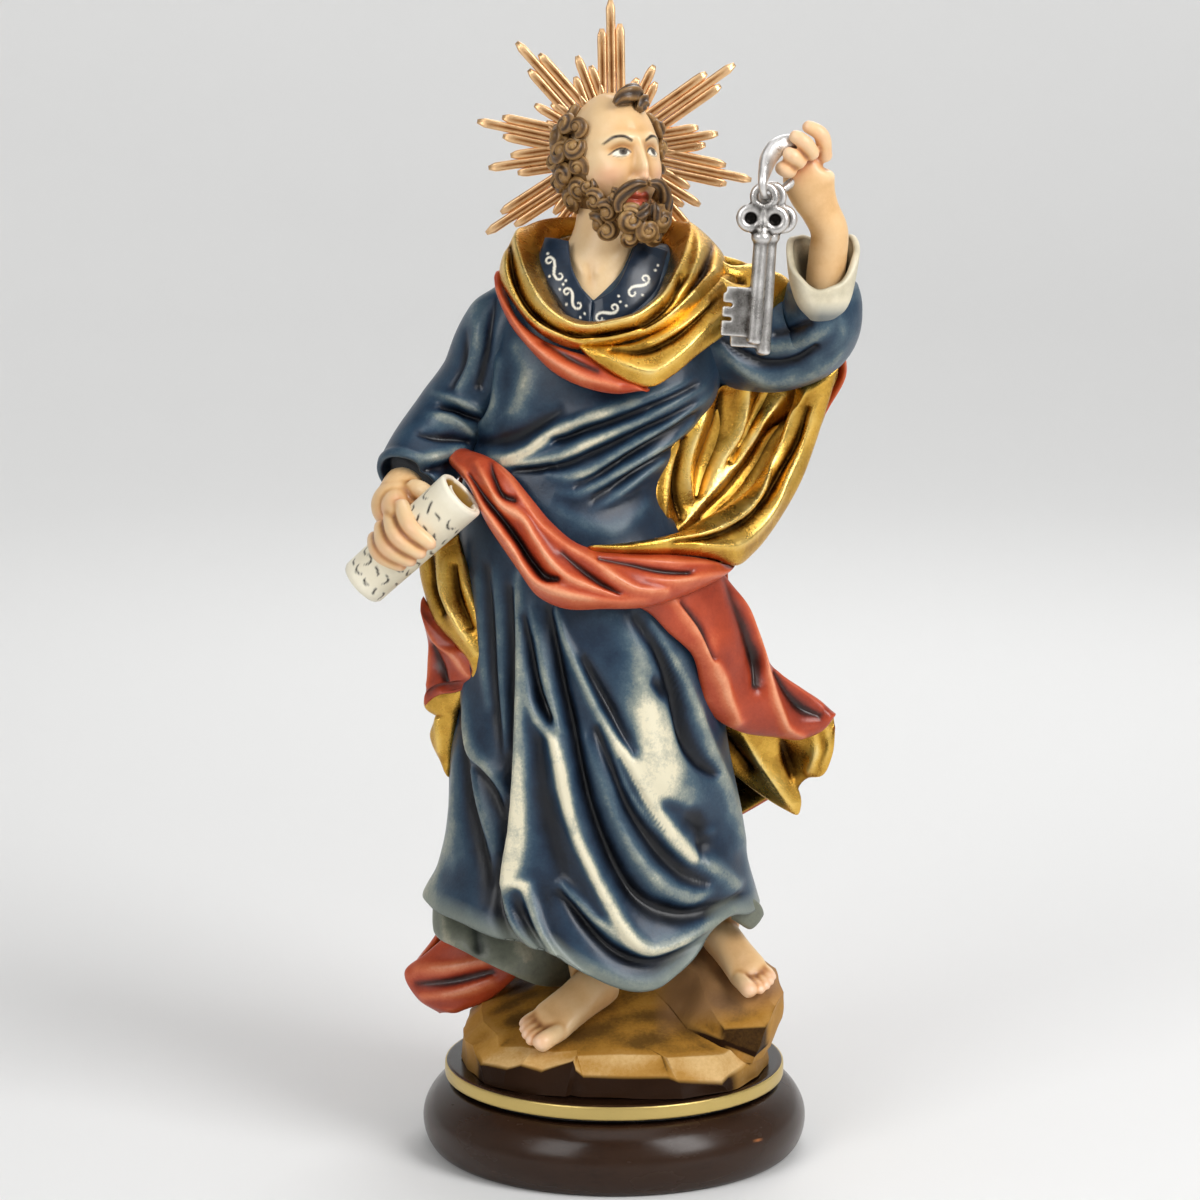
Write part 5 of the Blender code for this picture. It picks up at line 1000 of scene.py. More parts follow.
# Collar and shoulders. The lining is rolled over round the neck in two thick folds, with the red side
# showing below them on the chest, a pointed flap turned out, and a fall of gold over the shoulder.
COLLAR_ROLL = band_of_cloth(
    [(1.5, 12, 287), (-9, 11, 287), (-17, 6, 285.5), (-20.4, -2, 281.5), (-20.8, -9, 276),
     (-18.6, -18, 269), (-14, -24.5, 262.5), (-5.5, -28, 260.6), (4.5, -27, 262), (10.5, -23, 266),
     (14.6, -15, 273), (16.4, -4, 280.5), (13.5, 6, 285), (6.5, 11, 287), (-4.5, 12, 287)],
    [(1.5, 20, 281), (-12.5, 19, 283), (-23.5, 13, 283), (-31.5, 2, 280.5), (-35, -8, 275),
     (-30.5, -20, 266), (-22.5, -27, 257.5), (-10.5, -31, 253), (1.5, -32, 254.5), (18, -28, 260),
     (29, -18, 267), (34.5, -2, 275.5), (30, 9, 280.5), (17, 16, 282.5), (-4.5, 20, 282.5)],
    4.2, 4.2,
    lines_in(CHEST_VIEW, [
        [(330, 110, -2, 1.3, 1), (305, 170, -10, 1.5, 2.4), (320, 250, -16, 1.6, 2.8),
         (360, 330, -22, 1.6, 2.8), (430, 400, -27, 1.6, 2.8), (520, 432, -29, 1.6, 2.6),
         (620, 425, -29, 1.6, 2.6), (715, 405, -28, 1.6, 2.4), (780, 350, -26, 1.5, 2.2),
         (830, 250, -18, 1.5, 2.2), (865, 150, -8, 1.4, 1.6), (880, 90, 0, 1.3, 0.8)],
        [(262, 190, -8, 1.3, 1), (262, 260, -14, 1.4, 2.2), (300, 350, -20, 1.5, 2.4),
         (370, 420, -26, 1.5, 2.4), (450, 458, -30, 1.4, 2), (520, 478, -31, 1.3, 1.6)],
        [(560, 470, -31, 1.3, 1.2), (640, 462, -31, 1.5, 2.2), (740, 438, -30, 1.6, 2.4),
         (830, 385, -28, 1.6, 2.4), (900, 320, -24, 1.5, 2), (960, 262, -18, 1.4, 1.2)],
        [(880, 120, -4, 1.4, 0.8), (895, 200, -12, 1.5, 1.6), (880, 280, -18, 1.5, 1.6),
         (840, 340, -24, 1.3, 0.8)],
        [(286, 180, -8, 0.8, -1), (286, 240, -14, 0.9, -2.4), (325, 335, -20, 0.9, -2.8),
         (395, 410, -26, 0.9, -2.8), (470, 446, -30, 0.9, -2.6), (560, 450, -31, 0.9, -2.6),
         (650, 440, -31, 0.9, -2.8), (740, 412, -29, 0.9, -2.8), (810, 360, -26, 0.9, -2.4),
         (850, 290, -20, 0.8, -1.4)],
        [(950, 180, -8, 1, -0.8), (925, 250, -14, 1.1, -2), (880, 320, -20, 1.1, -2.2),
         (810, 385, -26, 1, -2), (730, 425, -29, 0.9, -1.2)]]),
    steps=200, across=40)
RED_BORDER = band_of_cloth(
    marks(CHEST_VIEW, [
        (250, 205, -6), (262, 290, -14), (300, 370, -20), (380, 440, -26), (470, 478, -30),
        (540, 500, -32), (630, 560, -33), (745, 604, -34)]),
    marks(CHEST_VIEW, [
        (230, 230, -6), (242, 310, -14), (275, 390, -20), (345, 480, -26), (430, 560, -31),
        (540, 610, -33), (640, 628, -33.5), (750, 610, -33.4)]),
    1.4, 3.0, lines_in(CHEST_VIEW, [
        [(255, 290, -12, 1.2, 0.8), (310, 400, -20, 1.3, 1.6), (400, 500, -27, 1.4, 1.8),
         (520, 570, -32, 1.4, 1.8), (640, 600, -33, 1.2, 1)],
        [(400, 460, -28, 0.9, -0.8), (480, 510, -31, 1, -1.4), (570, 550, -33, 0.9, -0.8)]]), 90, 24)
CHEST_FLAP = band_of_cloth(
    marks(CHEST_VIEW, [
        (500, 455, -31), (580, 462, -33), (680, 455, -33), (780, 415, -31), (870, 350, -27),
        (940, 280, -20), (985, 230, -12), (1040, 200, -4)]),
    marks(CHEST_VIEW, [
        (520, 485, -32), (600, 548, -34), (680, 590, -35), (752, 606, -35), (830, 565, -33),
        (910, 498, -29), (985, 442, -24), (1060, 390, -14)]),
    1.2, 3.0,
    lines_in(CHEST_VIEW, [
        [(600, 500, -34, 1.2, 0.8), (680, 540, -35, 1.5, 1.8), (752, 560, -35, 1.6, 2),
         (830, 510, -33, 1.5, 1.8), (910, 430, -29, 1.5, 1.6), (1000, 350, -22, 1.3, 0.6)],
        [(620, 480, -34, 0.9, -0.8), (720, 490, -34, 1.1, -1.8), (820, 450, -32, 1.1, -1.8),
         (910, 370, -28, 1, -1.4), (970, 310, -22, 0.9, -0.6)],
        [(760, 455, -33, 1.1, 0.6), (850, 400, -30, 1.3, 1.4), (930, 330, -24, 1.2, 1)]]), 90, 36)
SHOULDER_FALL = band_of_cloth(
    [(17, 12, 287), (24.5, 6, 283), (33, 2, 278.5), (45, 0, 275.5), (53, 0, 271)],
    [(20, -22, 266), (28.5, -21, 263), (36, -18, 260.5), (45.5, -12, 262), (54, -6, 265.5)],
    2.6, 4, lines_in(CHEST_VIEW, [
        [(905, 120, 0, 1.4, 0.6), (950, 200, -8, 1.7, 1.8), (1010, 240, -12, 1.7, 1.8),
         (1090, 230, -10, 1.5, 1), (1180, 250, -6, 1.3, 0.6)],
        [(960, 140, 0, 1.3, 0.6), (1030, 190, -6, 1.5, 1.4), (1110, 215, -6, 1.4, 1)],
        [(930, 240, -14, 1.4, 0.6), (1000, 300, -18, 1.6, 1.6), (1070, 330, -16, 1.4, 1)],
        [(940, 160, -4, 0.9, -0.8), (1010, 215, -10, 1, -1.8), (1090, 205, -8, 0.9, -1)],
        [(925, 190, -10, 0.9, -0.8), (975, 260, -14, 1, -2), (1060, 280, -14, 0.9, -1.4)]]), 76, 36)
cloth("collar_roll", COLLAR_ROLL, gold_leaf, "leaf_gold")
cloth("chest_border", RED_BORDER, red_paint, "mantle_red")
cloth("chest_flap", CHEST_FLAP, gold_leaf, "leaf_gold")
cloth("shoulder_fall", SHOULDER_FALL, gold_leaf, "leaf_gold")

# Sash and edge. The cloak's front is drawn across the hips as a red sash, its gold edge turned over along
# the waist and up to the raised arm, and its end swings out behind the hip to the right.
GOLD_EDGE = band_of_cloth(
    [(68.6, -2, 245.5), *marks(CHEST_VIEW, [
        (1350, 690, 0), (1312, 810, 2), (1270, 920, 0), (1190, 1060, -4), (1100, 1175, -12),
        (1050, 1214, -18), (975, 1192, -24), (860, 1176, -31), (700, 1180, -36), (550, 1176, -39)])],
    marks(CHEST_VIEW, [
        (1250, 600, 2), (1235, 680, 6), (1200, 780, 6), (1145, 880, 2), (1090, 950, -6),
        (1030, 1000, -14), (950, 1045, -22), (860, 1095, -28), (750, 1125, -33), (640, 1140, -36),
        (535, 1152, -38)]),
    2.4, 3.4,
    lines_in(CHEST_VIEW, [
        [(1290, 590, -4, 1.3, 1), (1265, 700, -4, 1.5, 2.2), (1215, 820, -4, 1.6, 2.6),
         (1150, 920, -8, 1.6, 2.6), (1080, 1010, -14, 1.5, 2.4), (980, 1080, -22, 1.4, 2),
         (850, 1125, -30, 1.2, 1.4), (700, 1145, -35, 0.9, 0.6)],
        [(1350, 640, -2, 1.2, 0.6), (1310, 760, -2, 1.4, 1.6), (1270, 860, -4, 1.5, 2),
         (1190, 980, -8, 1.6, 2.2), (1110, 1080, -14, 1.5, 2), (1020, 1150, -20, 1.4, 1.6),
         (900, 1160, -28, 1.1, 1)],
        [(1310, 680, -3, 0.9, -0.8), (1270, 790, -3, 1, -2), (1210, 900, -6, 1, -2.4),
         (1130, 1000, -12, 1, -2.4), (1050, 1070, -18, 1, -2), (940, 1120, -25, 0.9, -1.4),
         (820, 1145, -31, 0.8, -0.6)]]),
    steps=190, across=38)
RED_SASH = band_of_cloth(
    [(-47, 0, 221.5), *marks(HIP_VIEW, [
        (500, 35, -14), (585, 70, -24), (650, 120, -29), (720, 205, -33), (800, 300, -36),
        (890, 372, -38), (1050, 405, -37), (1230, 412, -31), (1350, 430, -21), (1425, 455, -8)])],
    [(-50, 0, 214), *marks(HIP_VIEW, [
        (462, 110, -13), (520, 190, -25), (565, 300, -32), (620, 385, -36), (680, 475, -38),
        (745, 560, -40), (830, 603, -42), (980, 608, -42), (1130, 602, -40), (1270, 560, -33),
        (1410, 480, -14)])],
    2.6, 4.2,
    lines_in(HIP_VIEW, [
        [(480, 90, -18, 1.2, 0.8), (530, 150, -24, 1.5, 1.8), (565, 240, -30, 1.6, 2.4),
         (615, 330, -35, 1.6, 2.6), (670, 420, -38, 1.7, 2.8), (735, 510, -40, 1.8, 3),
         (800, 548, -42, 1.9, 3), (900, 572, -42, 2, 2.8), (1020, 590, -42, 2, 2.2),
         (1120, 585, -40, 1.8, 1.4)],
        [(540, 150, -26, 0.8, -0.6), (575, 220, -31, 0.9, -2.2), (625, 290, -35, 1.1, -3.6),
         (680, 370, -38, 1.2, -4.4), (735, 450, -40, 1.3, -4.8), (785, 500, -41, 1.2, -4.6),
         (822, 505, -41, 0.8, -2.6)],
        [(560, 100, -25, 1.2, 0.8), (600, 180, -30, 1.4, 2), (640, 255, -34, 1.5, 2.6),
         (700, 290, -36, 1.5, 2.8), (745, 360, -38, 1.6, 2.8), (800, 440, -40, 1.6, 2.8),
         (860, 500, -41, 1.6, 2.6), (950, 545, -42, 1.6, 2.2), (1050, 580, -42, 1.4, 1.4)],
        [(592, 90, -25, 0.8, -0.6), (612, 160, -29, 0.9, -2.2), (640, 215, -32, 0.9, -2.6),
         (672, 226, -33, 0.7, -1.6)],
        [(620, 90, -25, 1.2, 0.6), (670, 160, -29, 1.3, 1.6), (710, 230, -33, 1.4, 1.8),
         (760, 300, -35, 1.4, 1.6), (850, 375, -38, 1.5, 1.8), (940, 440, -40, 1.7, 2.2),
         (1020, 510, -41, 1.9, 2.6), (1090, 550, -40, 1.9, 2.4), (1180, 555, -38, 1.7, 1.6)],
        [(840, 410, -38, 0.9, -0.6), (900, 470, -40, 1.1, -1.6), (970, 525, -41, 1.1, -1.6),
         (1030, 560, -41, 0.9, -0.6)],
        [(960, 430, -38, 0.8, -0.4), (1060, 452, -38, 0.9, -1.2), (1160, 478, -36, 1, -1.8),
         (1255, 488, -32, 0.8, -1.4)],
        [(1040, 420, -37, 1.3, 0.4), (1150, 440, -36, 1.4, 1.2), (1260, 450, -32, 1.4, 1.4),
         (1360, 450, -22, 1.2, 0.8)],
        [(1120, 510, -38, 1.6, 0.6), (1220, 520, -35, 1.8, 1.8), (1320, 500, -28, 1.7, 1.6),
         (1400, 470, -16, 1.3, 0.6)]]),
    steps=170, across=58)
RED_TAIL = band_of_cloth(
    marks(HIP_VIEW, [
        (1380, 440, -14), (1425, 500, -13), (1485, 590, -12), (1525, 690, -11), (1560, 780, -9),
        (1610, 835, -7), (1690, 890, -4), (1760, 935, -2), (1806, 975, -1)]),
    marks(HIP_VIEW, [
        (1080, 585, -38), (1140, 615, -36), (1215, 690, -33), (1300, 775, -29), (1326, 870, -25),
        (1335, 945, -22), (1400, 1012, -18), (1480, 1050, -14), (1590, 1066, -8), (1690, 1074, -4),
        (1760, 1045, -2), (1808, 985, -1)]),
    2.6, 4.2,
    lines_in(HIP_VIEW, [
        [(1180, 560, -34, 1.5, 0.6), (1240, 640, -33, 1.8, 1.8), (1310, 740, -30, 2, 2.4),
         (1360, 840, -26, 2.2, 3), (1395, 930, -22, 2.2, 3), (1440, 1010, -17, 1.9, 2.2)],
        [(1400, 520, -20, 1.5, -0.6), (1440, 620, -20, 2.2, -1.8), (1480, 720, -19, 2.4, -2.6),
         (1510, 810, -17, 2, -3.4), (1505, 880, -16, 1.3, -2.2)],
        [(1450, 500, -14, 1.3, 0.8), (1500, 620, -14, 1.5, 2), (1538, 740, -13, 1.6, 2.8),
         (1550, 860, -13, 1.7, 3.2), (1575, 960, -12, 1.8, 3.2), (1620, 1035, -8, 1.8, 2.4),
         (1680, 1062, -5, 1.5, 1.4)],
        [(1585, 840, -10, 1.1, -1), (1625, 910, -9, 1.6, -2.4), (1680, 965, -7, 1.8, -2.8),
         (1740, 985, -4, 1.2, -1.4)],
        [(1600, 830, -8, 1.1, 1), (1680, 888, -5, 1.2, 1.4), (1760, 940, -2, 1.1, 1)],
        [(1230, 600, -32, 1, -0.5), (1300, 690, -30, 1.3, -1.2), (1340, 780, -28, 1.2, -0.8)]]),
    steps=130, across=60)
TAIL_LINING = band_of_cloth(
    marks(HIP_VIEW, [
        (1185, 660, -8), (1300, 760, -6), (1330, 900, -4), (1400, 990, -2), (1520, 1040, 1),
        (1650, 1060, 2), (1740, 1040, 2), (1808, 985, 1)]),
    marks(HIP_VIEW, [
        (1225, 800, 2), (1290, 950, 4), (1350, 1080, 7), (1440, 1190, 8), (1545, 1270, 9),
        (1635, 1325, 8), (1680, 1345, 8), (1690, 1310, 8), (1680, 1250, 8), (1715, 1212, 8),
        (1765, 1205, 6), (1800, 1140, 4), (1814, 1030, 2)]),
    -1.6, 2.8, lines_in(HIP_VIEW, [
        [(1480, 1050, 1, 1.4, 0.8), (1530, 1130, 4, 1.8, 2.6), (1590, 1210, 7, 1.9, 3),
         (1650, 1300, 8, 1.5, 1.6)],
        [(1740, 1050, 2, 1.3, 0.8), (1745, 1110, 3, 1.5, 2), (1720, 1180, 6, 1.3, 1.4)],
        [(1620, 1070, 2, 1.1, -0.8), (1640, 1130, 4, 1.4, -2.4), (1665, 1200, 6, 1.2, -1.8)],
        [(1350, 960, 1, 1.4, -0.8), (1420, 1080, 4, 1.8, -2.4), (1500, 1180, 7, 1.6, -2)],
        [(1780, 1020, 2, 1.1, 0.6), (1790, 1090, 3, 1.2, 1.4), (1765, 1160, 5, 1.1, 0.8)]]),
    steps=96, across=38)
cloth("turned_edge", GOLD_EDGE, gold_leaf, "leaf_gold")
cloth("hip_sash", RED_SASH, red_paint, "mantle_red")
cloth("swinging_end", RED_TAIL, red_paint, "mantle_red")
cloth("end_lining", TAIL_LINING, gold_leaf, "leaf_gold")

# Ends on the left. Under the hand with the scroll hangs the other end of the cloak, gold above and red
# where it folds over below, and behind the rock its lowest corner comes forward.
WRIST_GOLD = band_of_cloth(
    marks(HIP_VIEW, [
        (460, 340, -14), (485, 420, -16), (515, 520, -18), (545, 620, -20), (578, 710, -22),
        (578, 800, -22), (550, 860, -20), (520, 892, -18)]),
    marks(HIP_VIEW, [
        (330, 400, -2), (326, 470, -4), (345, 560, -6), (372, 640, -10), (440, 720, -14), (510, 770, -17),
        (548, 800, -19), (556, 850, -19)]),
    2.0, 3.0, lines_in(HIP_VIEW, [
        [(430, 380, -10, 1.4, 1), (430, 470, -11, 1.6, 2), (440, 560, -14, 1.6, 2.2),
         (490, 660, -18, 1.6, 2.2), (555, 760, -21, 1.4, 1.4)],
        [(480, 400, -15, 1.1, 0.6), (500, 500, -17, 1.3, 1.4), (535, 600, -20, 1.3, 1.4),
         (565, 700, -21, 1.2, 0.8)],
        [(395, 420, -8, 0.9, -1), (400, 520, -9, 1.1, -2), (430, 620, -13, 1, -1.6)],
        [(465, 450, -14, 0.9, -0.8), (480, 560, -17, 1, -1.8), (525, 670, -19, 0.9, -1.2)]]), 90, 40)
WRIST_RED = band_of_cloth(
    marks(HIP_VIEW, [(336, 560, -4), (345, 650, -5), (362, 740, -5), (362, 840, -5), (345, 960, -5)]),
    marks(HIP_VIEW, [
        (380, 625, -10), (470, 720, -13), (545, 775, -17), (560, 840, -19), (400, 905, -13)]),
    2.0, 3.2, lines_in(HIP_VIEW, [
        [(350, 620, -8, 1.1, 0.6), (400, 700, -9, 1.4, 1.6), (470, 770, -13, 1.6, 2),
         (520, 850, -16, 1.3, 1.4)],
        [(390, 740, -8, 1.3, -1), (420, 820, -10, 1.6, -2.2), (440, 870, -12, 1.1, -1.4)],
        [(350, 700, -6, 1.1, 0.6), (368, 800, -7, 1.4, 1.6), (372, 880, -8, 1.3, 1.4)]]), 80, 40)
WRIST_UNDER = band_of_cloth(
    marks(HIP_VIEW, [
        (350, 880, -5), (345, 960, -4), (380, 975, -4), (362, 1060, -2), (400, 1140, -1),
        (435, 1210, -1)]),
    marks(HIP_VIEW, [
        (480, 895, -14), (478, 930, -12), (460, 980, -9), (450, 1050, -7), (445, 1120, -5),
        (440, 1200, -3)]),
    1.0, 2.6, lines_in(HIP_VIEW, [
        [(400, 1000, -5, 1.3, 1.4), (410, 1100, -3, 1.3, 1.2)]]), 70, 26)
REAR_CORNER = band_of_cloth(
    [(-50, 9, 67), (-60.5, 10, 57.5), (-66.8, 10, 52), (-62, 8, 43), (-55.5, 5, 39.6)],
    [(-26.5, 4, 62), (-28, 0, 56.5), (-31.5, 0, 52.5), (-39.5, 2, 45), (-49.5, 4, 40.2)],
    2, 3.6, [[(-62, 53, 1.4, 1.0), (-52, 54, 1.8, 2.0), (-40, 57, 1.6, 1.4)],
             [(-60, 45, 1.4, 1.0), (-50, 47, 1.8, 1.8), (-38, 51, 1.5, 1.2)],
             [(-62, 49, 1.0, -0.6), (-50, 50.5, 1.2, -1.8), (-38, 54, 1.1, -1.2)]], 60, 34)
cloth("wrist_gold", WRIST_GOLD, gold_leaf, "leaf_gold")
cloth("wrist_red", WRIST_RED, red_paint, "mantle_red")
cloth("wrist_under", WRIST_UNDER, gold_leaf, "leaf_gold")
cloth("rear_corner", REAR_CORNER, red_paint, "mantle_red")


# Scroll. A rolled sheet carved in the right hand, painted ivory with an ochre hollow at its upper end.
# Rows of short dark brush strokes stand for writing, and make no letters.
SCROLL_LOW, SCROLL_HIGH = (-76.5, -28, 182), (-45.5, -36, 210.5)
SCROLL_RADIUS = 7.5
SCROLL_MOUTH = [  # past the upper end, and the share of the radius there, over the lip and into the hollow
    (-0.4, 0.985), (0, 0.93), (0.1, 0.86), (-0.3, 0.80), (-1.0, 0.76), (-1.6, 0.74), (-3.2, 0.72),
    (-6, 0.70), (-8, 0.6)]
SCROLL_ROWS, SCROLL_MARKS = 7, 6
ROW_STEP, MARK_STEP = 5.1, 0.085  # along the scroll in mm, and round it in turns


scroll_axis = unit(np.subtract(SCROLL_HIGH, SCROLL_LOW))
scroll_side = unit(np.cross(scroll_axis, (0, 1, 0)))
scroll_front = np.cross(scroll_side, scroll_axis)


def rolled_sheet(steps=66, around=110, sheet=0.55):
    """Round rod whose radius grows a little upwards, with the sheet's free edge as a low step that
    winds once round it; its far end sinks in as a tapering hollow behind a rolled lip."""
    low, high = np.array(SCROLL_LOW, float), np.array(SCROLL_HIGH, float)
    length = np.linalg.norm(high - low)
    profile = [(0.2, 0.55), (0.0, 0.80), (0.4, 0.93), (1.4, 1.0)]
    profile += [(s, 1.0) for s in np.linspace(2.5, length - 1.2, steps)]
    profile += [(length + past, share) for past, share in SCROLL_MOUTH]
    s, share = np.array(profile).T
    v = np.linspace(0, 1, around, endpoint=False)
    turn = 2 * math.pi * v
    radius = SCROLL_RADIUS + 0.5 * s / length
    step = sheet * (np.mod(v - 0.13, 1) - 0.5)
    ring = radius[:, None] * share[:, None] + step[None] * (share > 0.62)[:, None]
    outwards = np.cos(turn)[:, None] * scroll_side + np.sin(turn)[:, None] * scroll_front
    points = (low + scroll_axis * s[:, None])[:, None] + ring[..., None] * outwards[None]
    return shell(points), s, v, share


def inner_curl(steps=80, half_thick=0.42):
    """Edge of the sheet wound on inside its end: a strip along part of a spiral."""
    turn = np.linspace(0.8 * math.pi, 1.95 * math.pi, steps)[:, None]
    outwards = np.cos(turn) * scroll_side + np.sin(turn) * scroll_front
    section = np.array([(-1, -8.0), (-1, -2), (-1, -0.8), (-0.5, -0.35), (0.5, -0.35), (1, -0.8), (1, -2),
                        (1, -8.0)])
    radius = np.linspace(6.1, 4.1, steps)[:, None] + section[:, 0] * half_thick
    points = np.array(SCROLL_HIGH) + outwards[:, None] * radius[..., None] + scroll_axis * section[:, 1:]
    return shell(points), np.tile(section[:, 1] < -1.5, steps)


scroll_surface, reach, around_scroll, share = rolled_sheet()
s, v = np.meshgrid(reach, around_scroll, indexing="ij")
drawn = np.random.default_rng(12)
ink = np.zeros(s.shape)
for row in range(SCROLL_ROWS):
    for mark in range(SCROLL_MARKS):
        at_s = 4.2 + row * ROW_STEP + drawn.uniform(-0.3, 0.3)
        at_v = 0.50 + mark * MARK_STEP + drawn.uniform(-0.01, 0.01)
        turn, long, bend = drawn.uniform(0.2, 1.4), drawn.uniform(1.1, 2.0), drawn.uniform(-0.6, 0.6)
        along, across = s - at_s, (np.mod(v - at_v + 0.5, 1) - 0.5) * 2 * math.pi * SCROLL_RADIUS
        u = along * math.cos(turn) + across * math.sin(turn)
        w = across * math.cos(turn) - along * math.sin(turn)
        near_line = np.clip(1.5 - np.abs(w - bend * (u**2 - 0.5)) / 0.34, 0, 1)
        ink = np.maximum(ink, near_line * np.clip((long - np.abs(u)) / 0.3, 0, 1))
spare = np.zeros(len(scroll_surface[0]) - s.size)
hollow = (share[:, None] < 0.765) * (reach[:, None] > 20) + 0 * v
ivory_paint = coating("ivory_paint",
                      [(0.0, (0.16, 0.11, 0.05)), (0.35, (0.52, 0.44, 0.28)), (0.55, (0.72, 0.64, 0.46)),
                       (1.0, (0.88, 0.82, 0.66))], 0.36, cloud=0.15, clear=0.2, bump=0.08,
                      layers=[("hollow", (0.42, 0.24, 0.05)), ("ink", (0.02, 0.014, 0.010))])
finished("scroll", scroll_surface, ivory_paint, "scroll_ivory",
         ink=np.concatenate([(ink * (share[:, None] > 0.9)).ravel(), spare]),
         hollow=np.concatenate([hollow.ravel(), spare + 1.0 * (np.arange(len(spare)) > 0)]))
curl_surface, deep = inner_curl()
finished("scroll_curl", curl_surface, ivory_paint, "scroll_ivory", ink=np.zeros(len(curl_surface[0])),
         hollow=np.concatenate([deep * 0.8, [0.8, 0.8]]))


# Hands and feet. All bare skin is carved in one with the block and painted a warm flesh tone, rosier at
# the knuckles, fingertips and toes. Each is built of overlapping rods that are worn into one skin.
FLESH_TONES = [(0.0, (0.17, 0.060, 0.018)), (0.30, (0.44, 0.21, 0.075)), (0.48, (0.62, 0.34, 0.13)),
               (0.62, (0.77, 0.48, 0.225)), (0.85, (0.86, 0.62, 0.35)), (1.0, (0.93, 0.75, 0.49))]
flesh_paint = coating("flesh_paint", FLESH_TONES, 0.36, cloud=0.10, cloud_size=7, fine_size=1.2,
                      bump=0.05, clear=0.15,
                      layers=[("rosy", (0.80, 0.30, 0.17)), ("nail", (0.88, 0.60, 0.42))])


def ball(centre, radii, rows=24, around=32):
    """Ellipsoid: cosine and sine of rise and turn, times its three radii."""
    rise = np.linspace(-0.49 * math.pi, 0.49 * math.pi, rows)[:, None]
    turn = np.linspace(0, 2 * math.pi, around, endpoint=False)[None]
    points = np.stack([np.cos(rise) * np.cos(turn), np.cos(rise) * np.sin(turn), np.sin(rise) + 0 * turn],
                      -1)
    return shell(points * radii + np.asarray(centre, float))


def rod(points, reference=(0, 1, 0), steps=28, around=20):
    """A short swept oval with domed ends."""
    rows = smooth_line(points, steps)
    reach = np.linspace(-1, 1, steps)[:, None]
    dome = np.sqrt(np.clip(1 - np.abs(reach) ** 10, 0.02, 1))
    rows[:, 3:] *= dome
    return swept(np.column_stack([rows[:, :3], rows[:, 3], rows[:, -1]]), reference, steps, around)[:2]


def one_skin(shells, grain, smoothing=6):
    """The shells joined into one closed skin on a fine cubic lattice, then smoothed."""
    points, faces = joined(shells)
    mesh = bpy.data.meshes.new("block")
    mesh.from_pydata((points * MM).tolist(), [], faces.tolist())
    block = bpy.data.objects.new("block", mesh)
    bpy.context.scene.collection.objects.link(block)
    lattice = block.modifiers.new("lattice", "REMESH")
    lattice.mode, lattice.voxel_size = "VOXEL", grain * MM
    made = block.evaluated_get(bpy.context.evaluated_depsgraph_get()).to_mesh()
    count, quads = len(made.vertices), len(made.polygons)
    points, faces = np.empty(count * 3, np.float32), np.empty(quads * 4, np.int32)
    made.vertices.foreach_get("co", points)
    made.polygons.foreach_get("vertices", faces)
    bpy.data.objects.remove(block)
    points, faces = points.reshape(-1, 3).astype(float) / MM, faces.reshape(-1, 4)
    return neighbour_mean(points, faces, smoothing), faces


def fingers(knuckles, middles, tips, radius, thin=0.86):
    """One rod for each finger, through its knuckle, its middle joint and its tip."""
    rods = []
    for start, middle, end in zip(knuckles, middles, tips):
        rods.append(rod([(*start, radius), (*middle, radius * 1.04), (*end, radius * thin)], (0, 0.3, 1)))
    return rods


FIST_VIEW, GRIP_VIEW = (4.923, 750, 100), (4.0, 335, 455)
FIST_KNUCKLES = marks(FIST_VIEW, [(372, 262, -22), (322, 285, -25), (262, 318, -25.5), (215, 352, -25)])
FIST_JOINTS = marks(FIST_VIEW, [
    (350, 170, -25), (262, 205, -28.5), (200, 272, -28.5), (165, 340, -27.5)])
FIST_TIPS = marks(FIST_VIEW, [(258, 118, -25), (196, 166, -27.5), (172, 252, -27), (138, 322, -26)])
FIST_WRIST = [(62.6, -11, 266, 5.9, 5.9), (64.2, -13, 280, 5.9, 5.6), (64.4, -15.5, 288, 5.7, 5.2)]
FIST_PALM = marks(FIST_VIEW, [
    (345, 540, -17, 5.9, 4.9), (305, 450, -19, 7.2, 4.9), (290, 370, -20.5, 7.9, 4.7),
    (300, 310, -21.5, 6.6, 4.2), (330, 270, -22, 4.4, 3.2)])
FIST_BALL = marks(FIST_VIEW, [(368, 300, -21, 2.4), (366, 240, -23, 2.3), (348, 170, -25, 2.2)])
FIST_THUMB = marks(FIST_VIEW, [(290, 430, -15, 3.2), (220, 350, -13.5, 2.8), (185, 270, -16, 2.4)])
raised_hand = one_skin([
    rod(FIST_WRIST + FIST_PALM, steps=60, around=40),
    *fingers(FIST_KNUCKLES, FIST_JOINTS, FIST_TIPS, 2.25, 0.88),
    rod(FIST_BALL, (0, 0.3, 1)), rod(FIST_THUMB, (0, 0.3, 1))], 0.44, 4)
GRIP_KNUCKLES = marks(GRIP_VIEW, [(262, 185, -31), (216, 225, -29), (180, 270, -27), (156, 318, -24.5)])
GRIP_JOINTS = marks(GRIP_VIEW, [
    (312, 300, -42.6), (262, 342, -41.4), (216, 378, -39), (184, 402, -36)])
GRIP_TIPS = marks(GRIP_VIEW, [
    (404, 372, -43.6), (366, 408, -43), (326, 436, -41.6), (286, 452, -39.4)])
GRIP_BACK = marks(GRIP_VIEW, [(262, 160, -20, 4.6), (240, 210, -28, 4.2), (262, 250, -36, 2.6)])
GRIP_THUMB = marks(GRIP_VIEW, [(300, 130, -22, 3.2), (360, 150, -26, 2.8), (400, 190, -26, 2.2)])
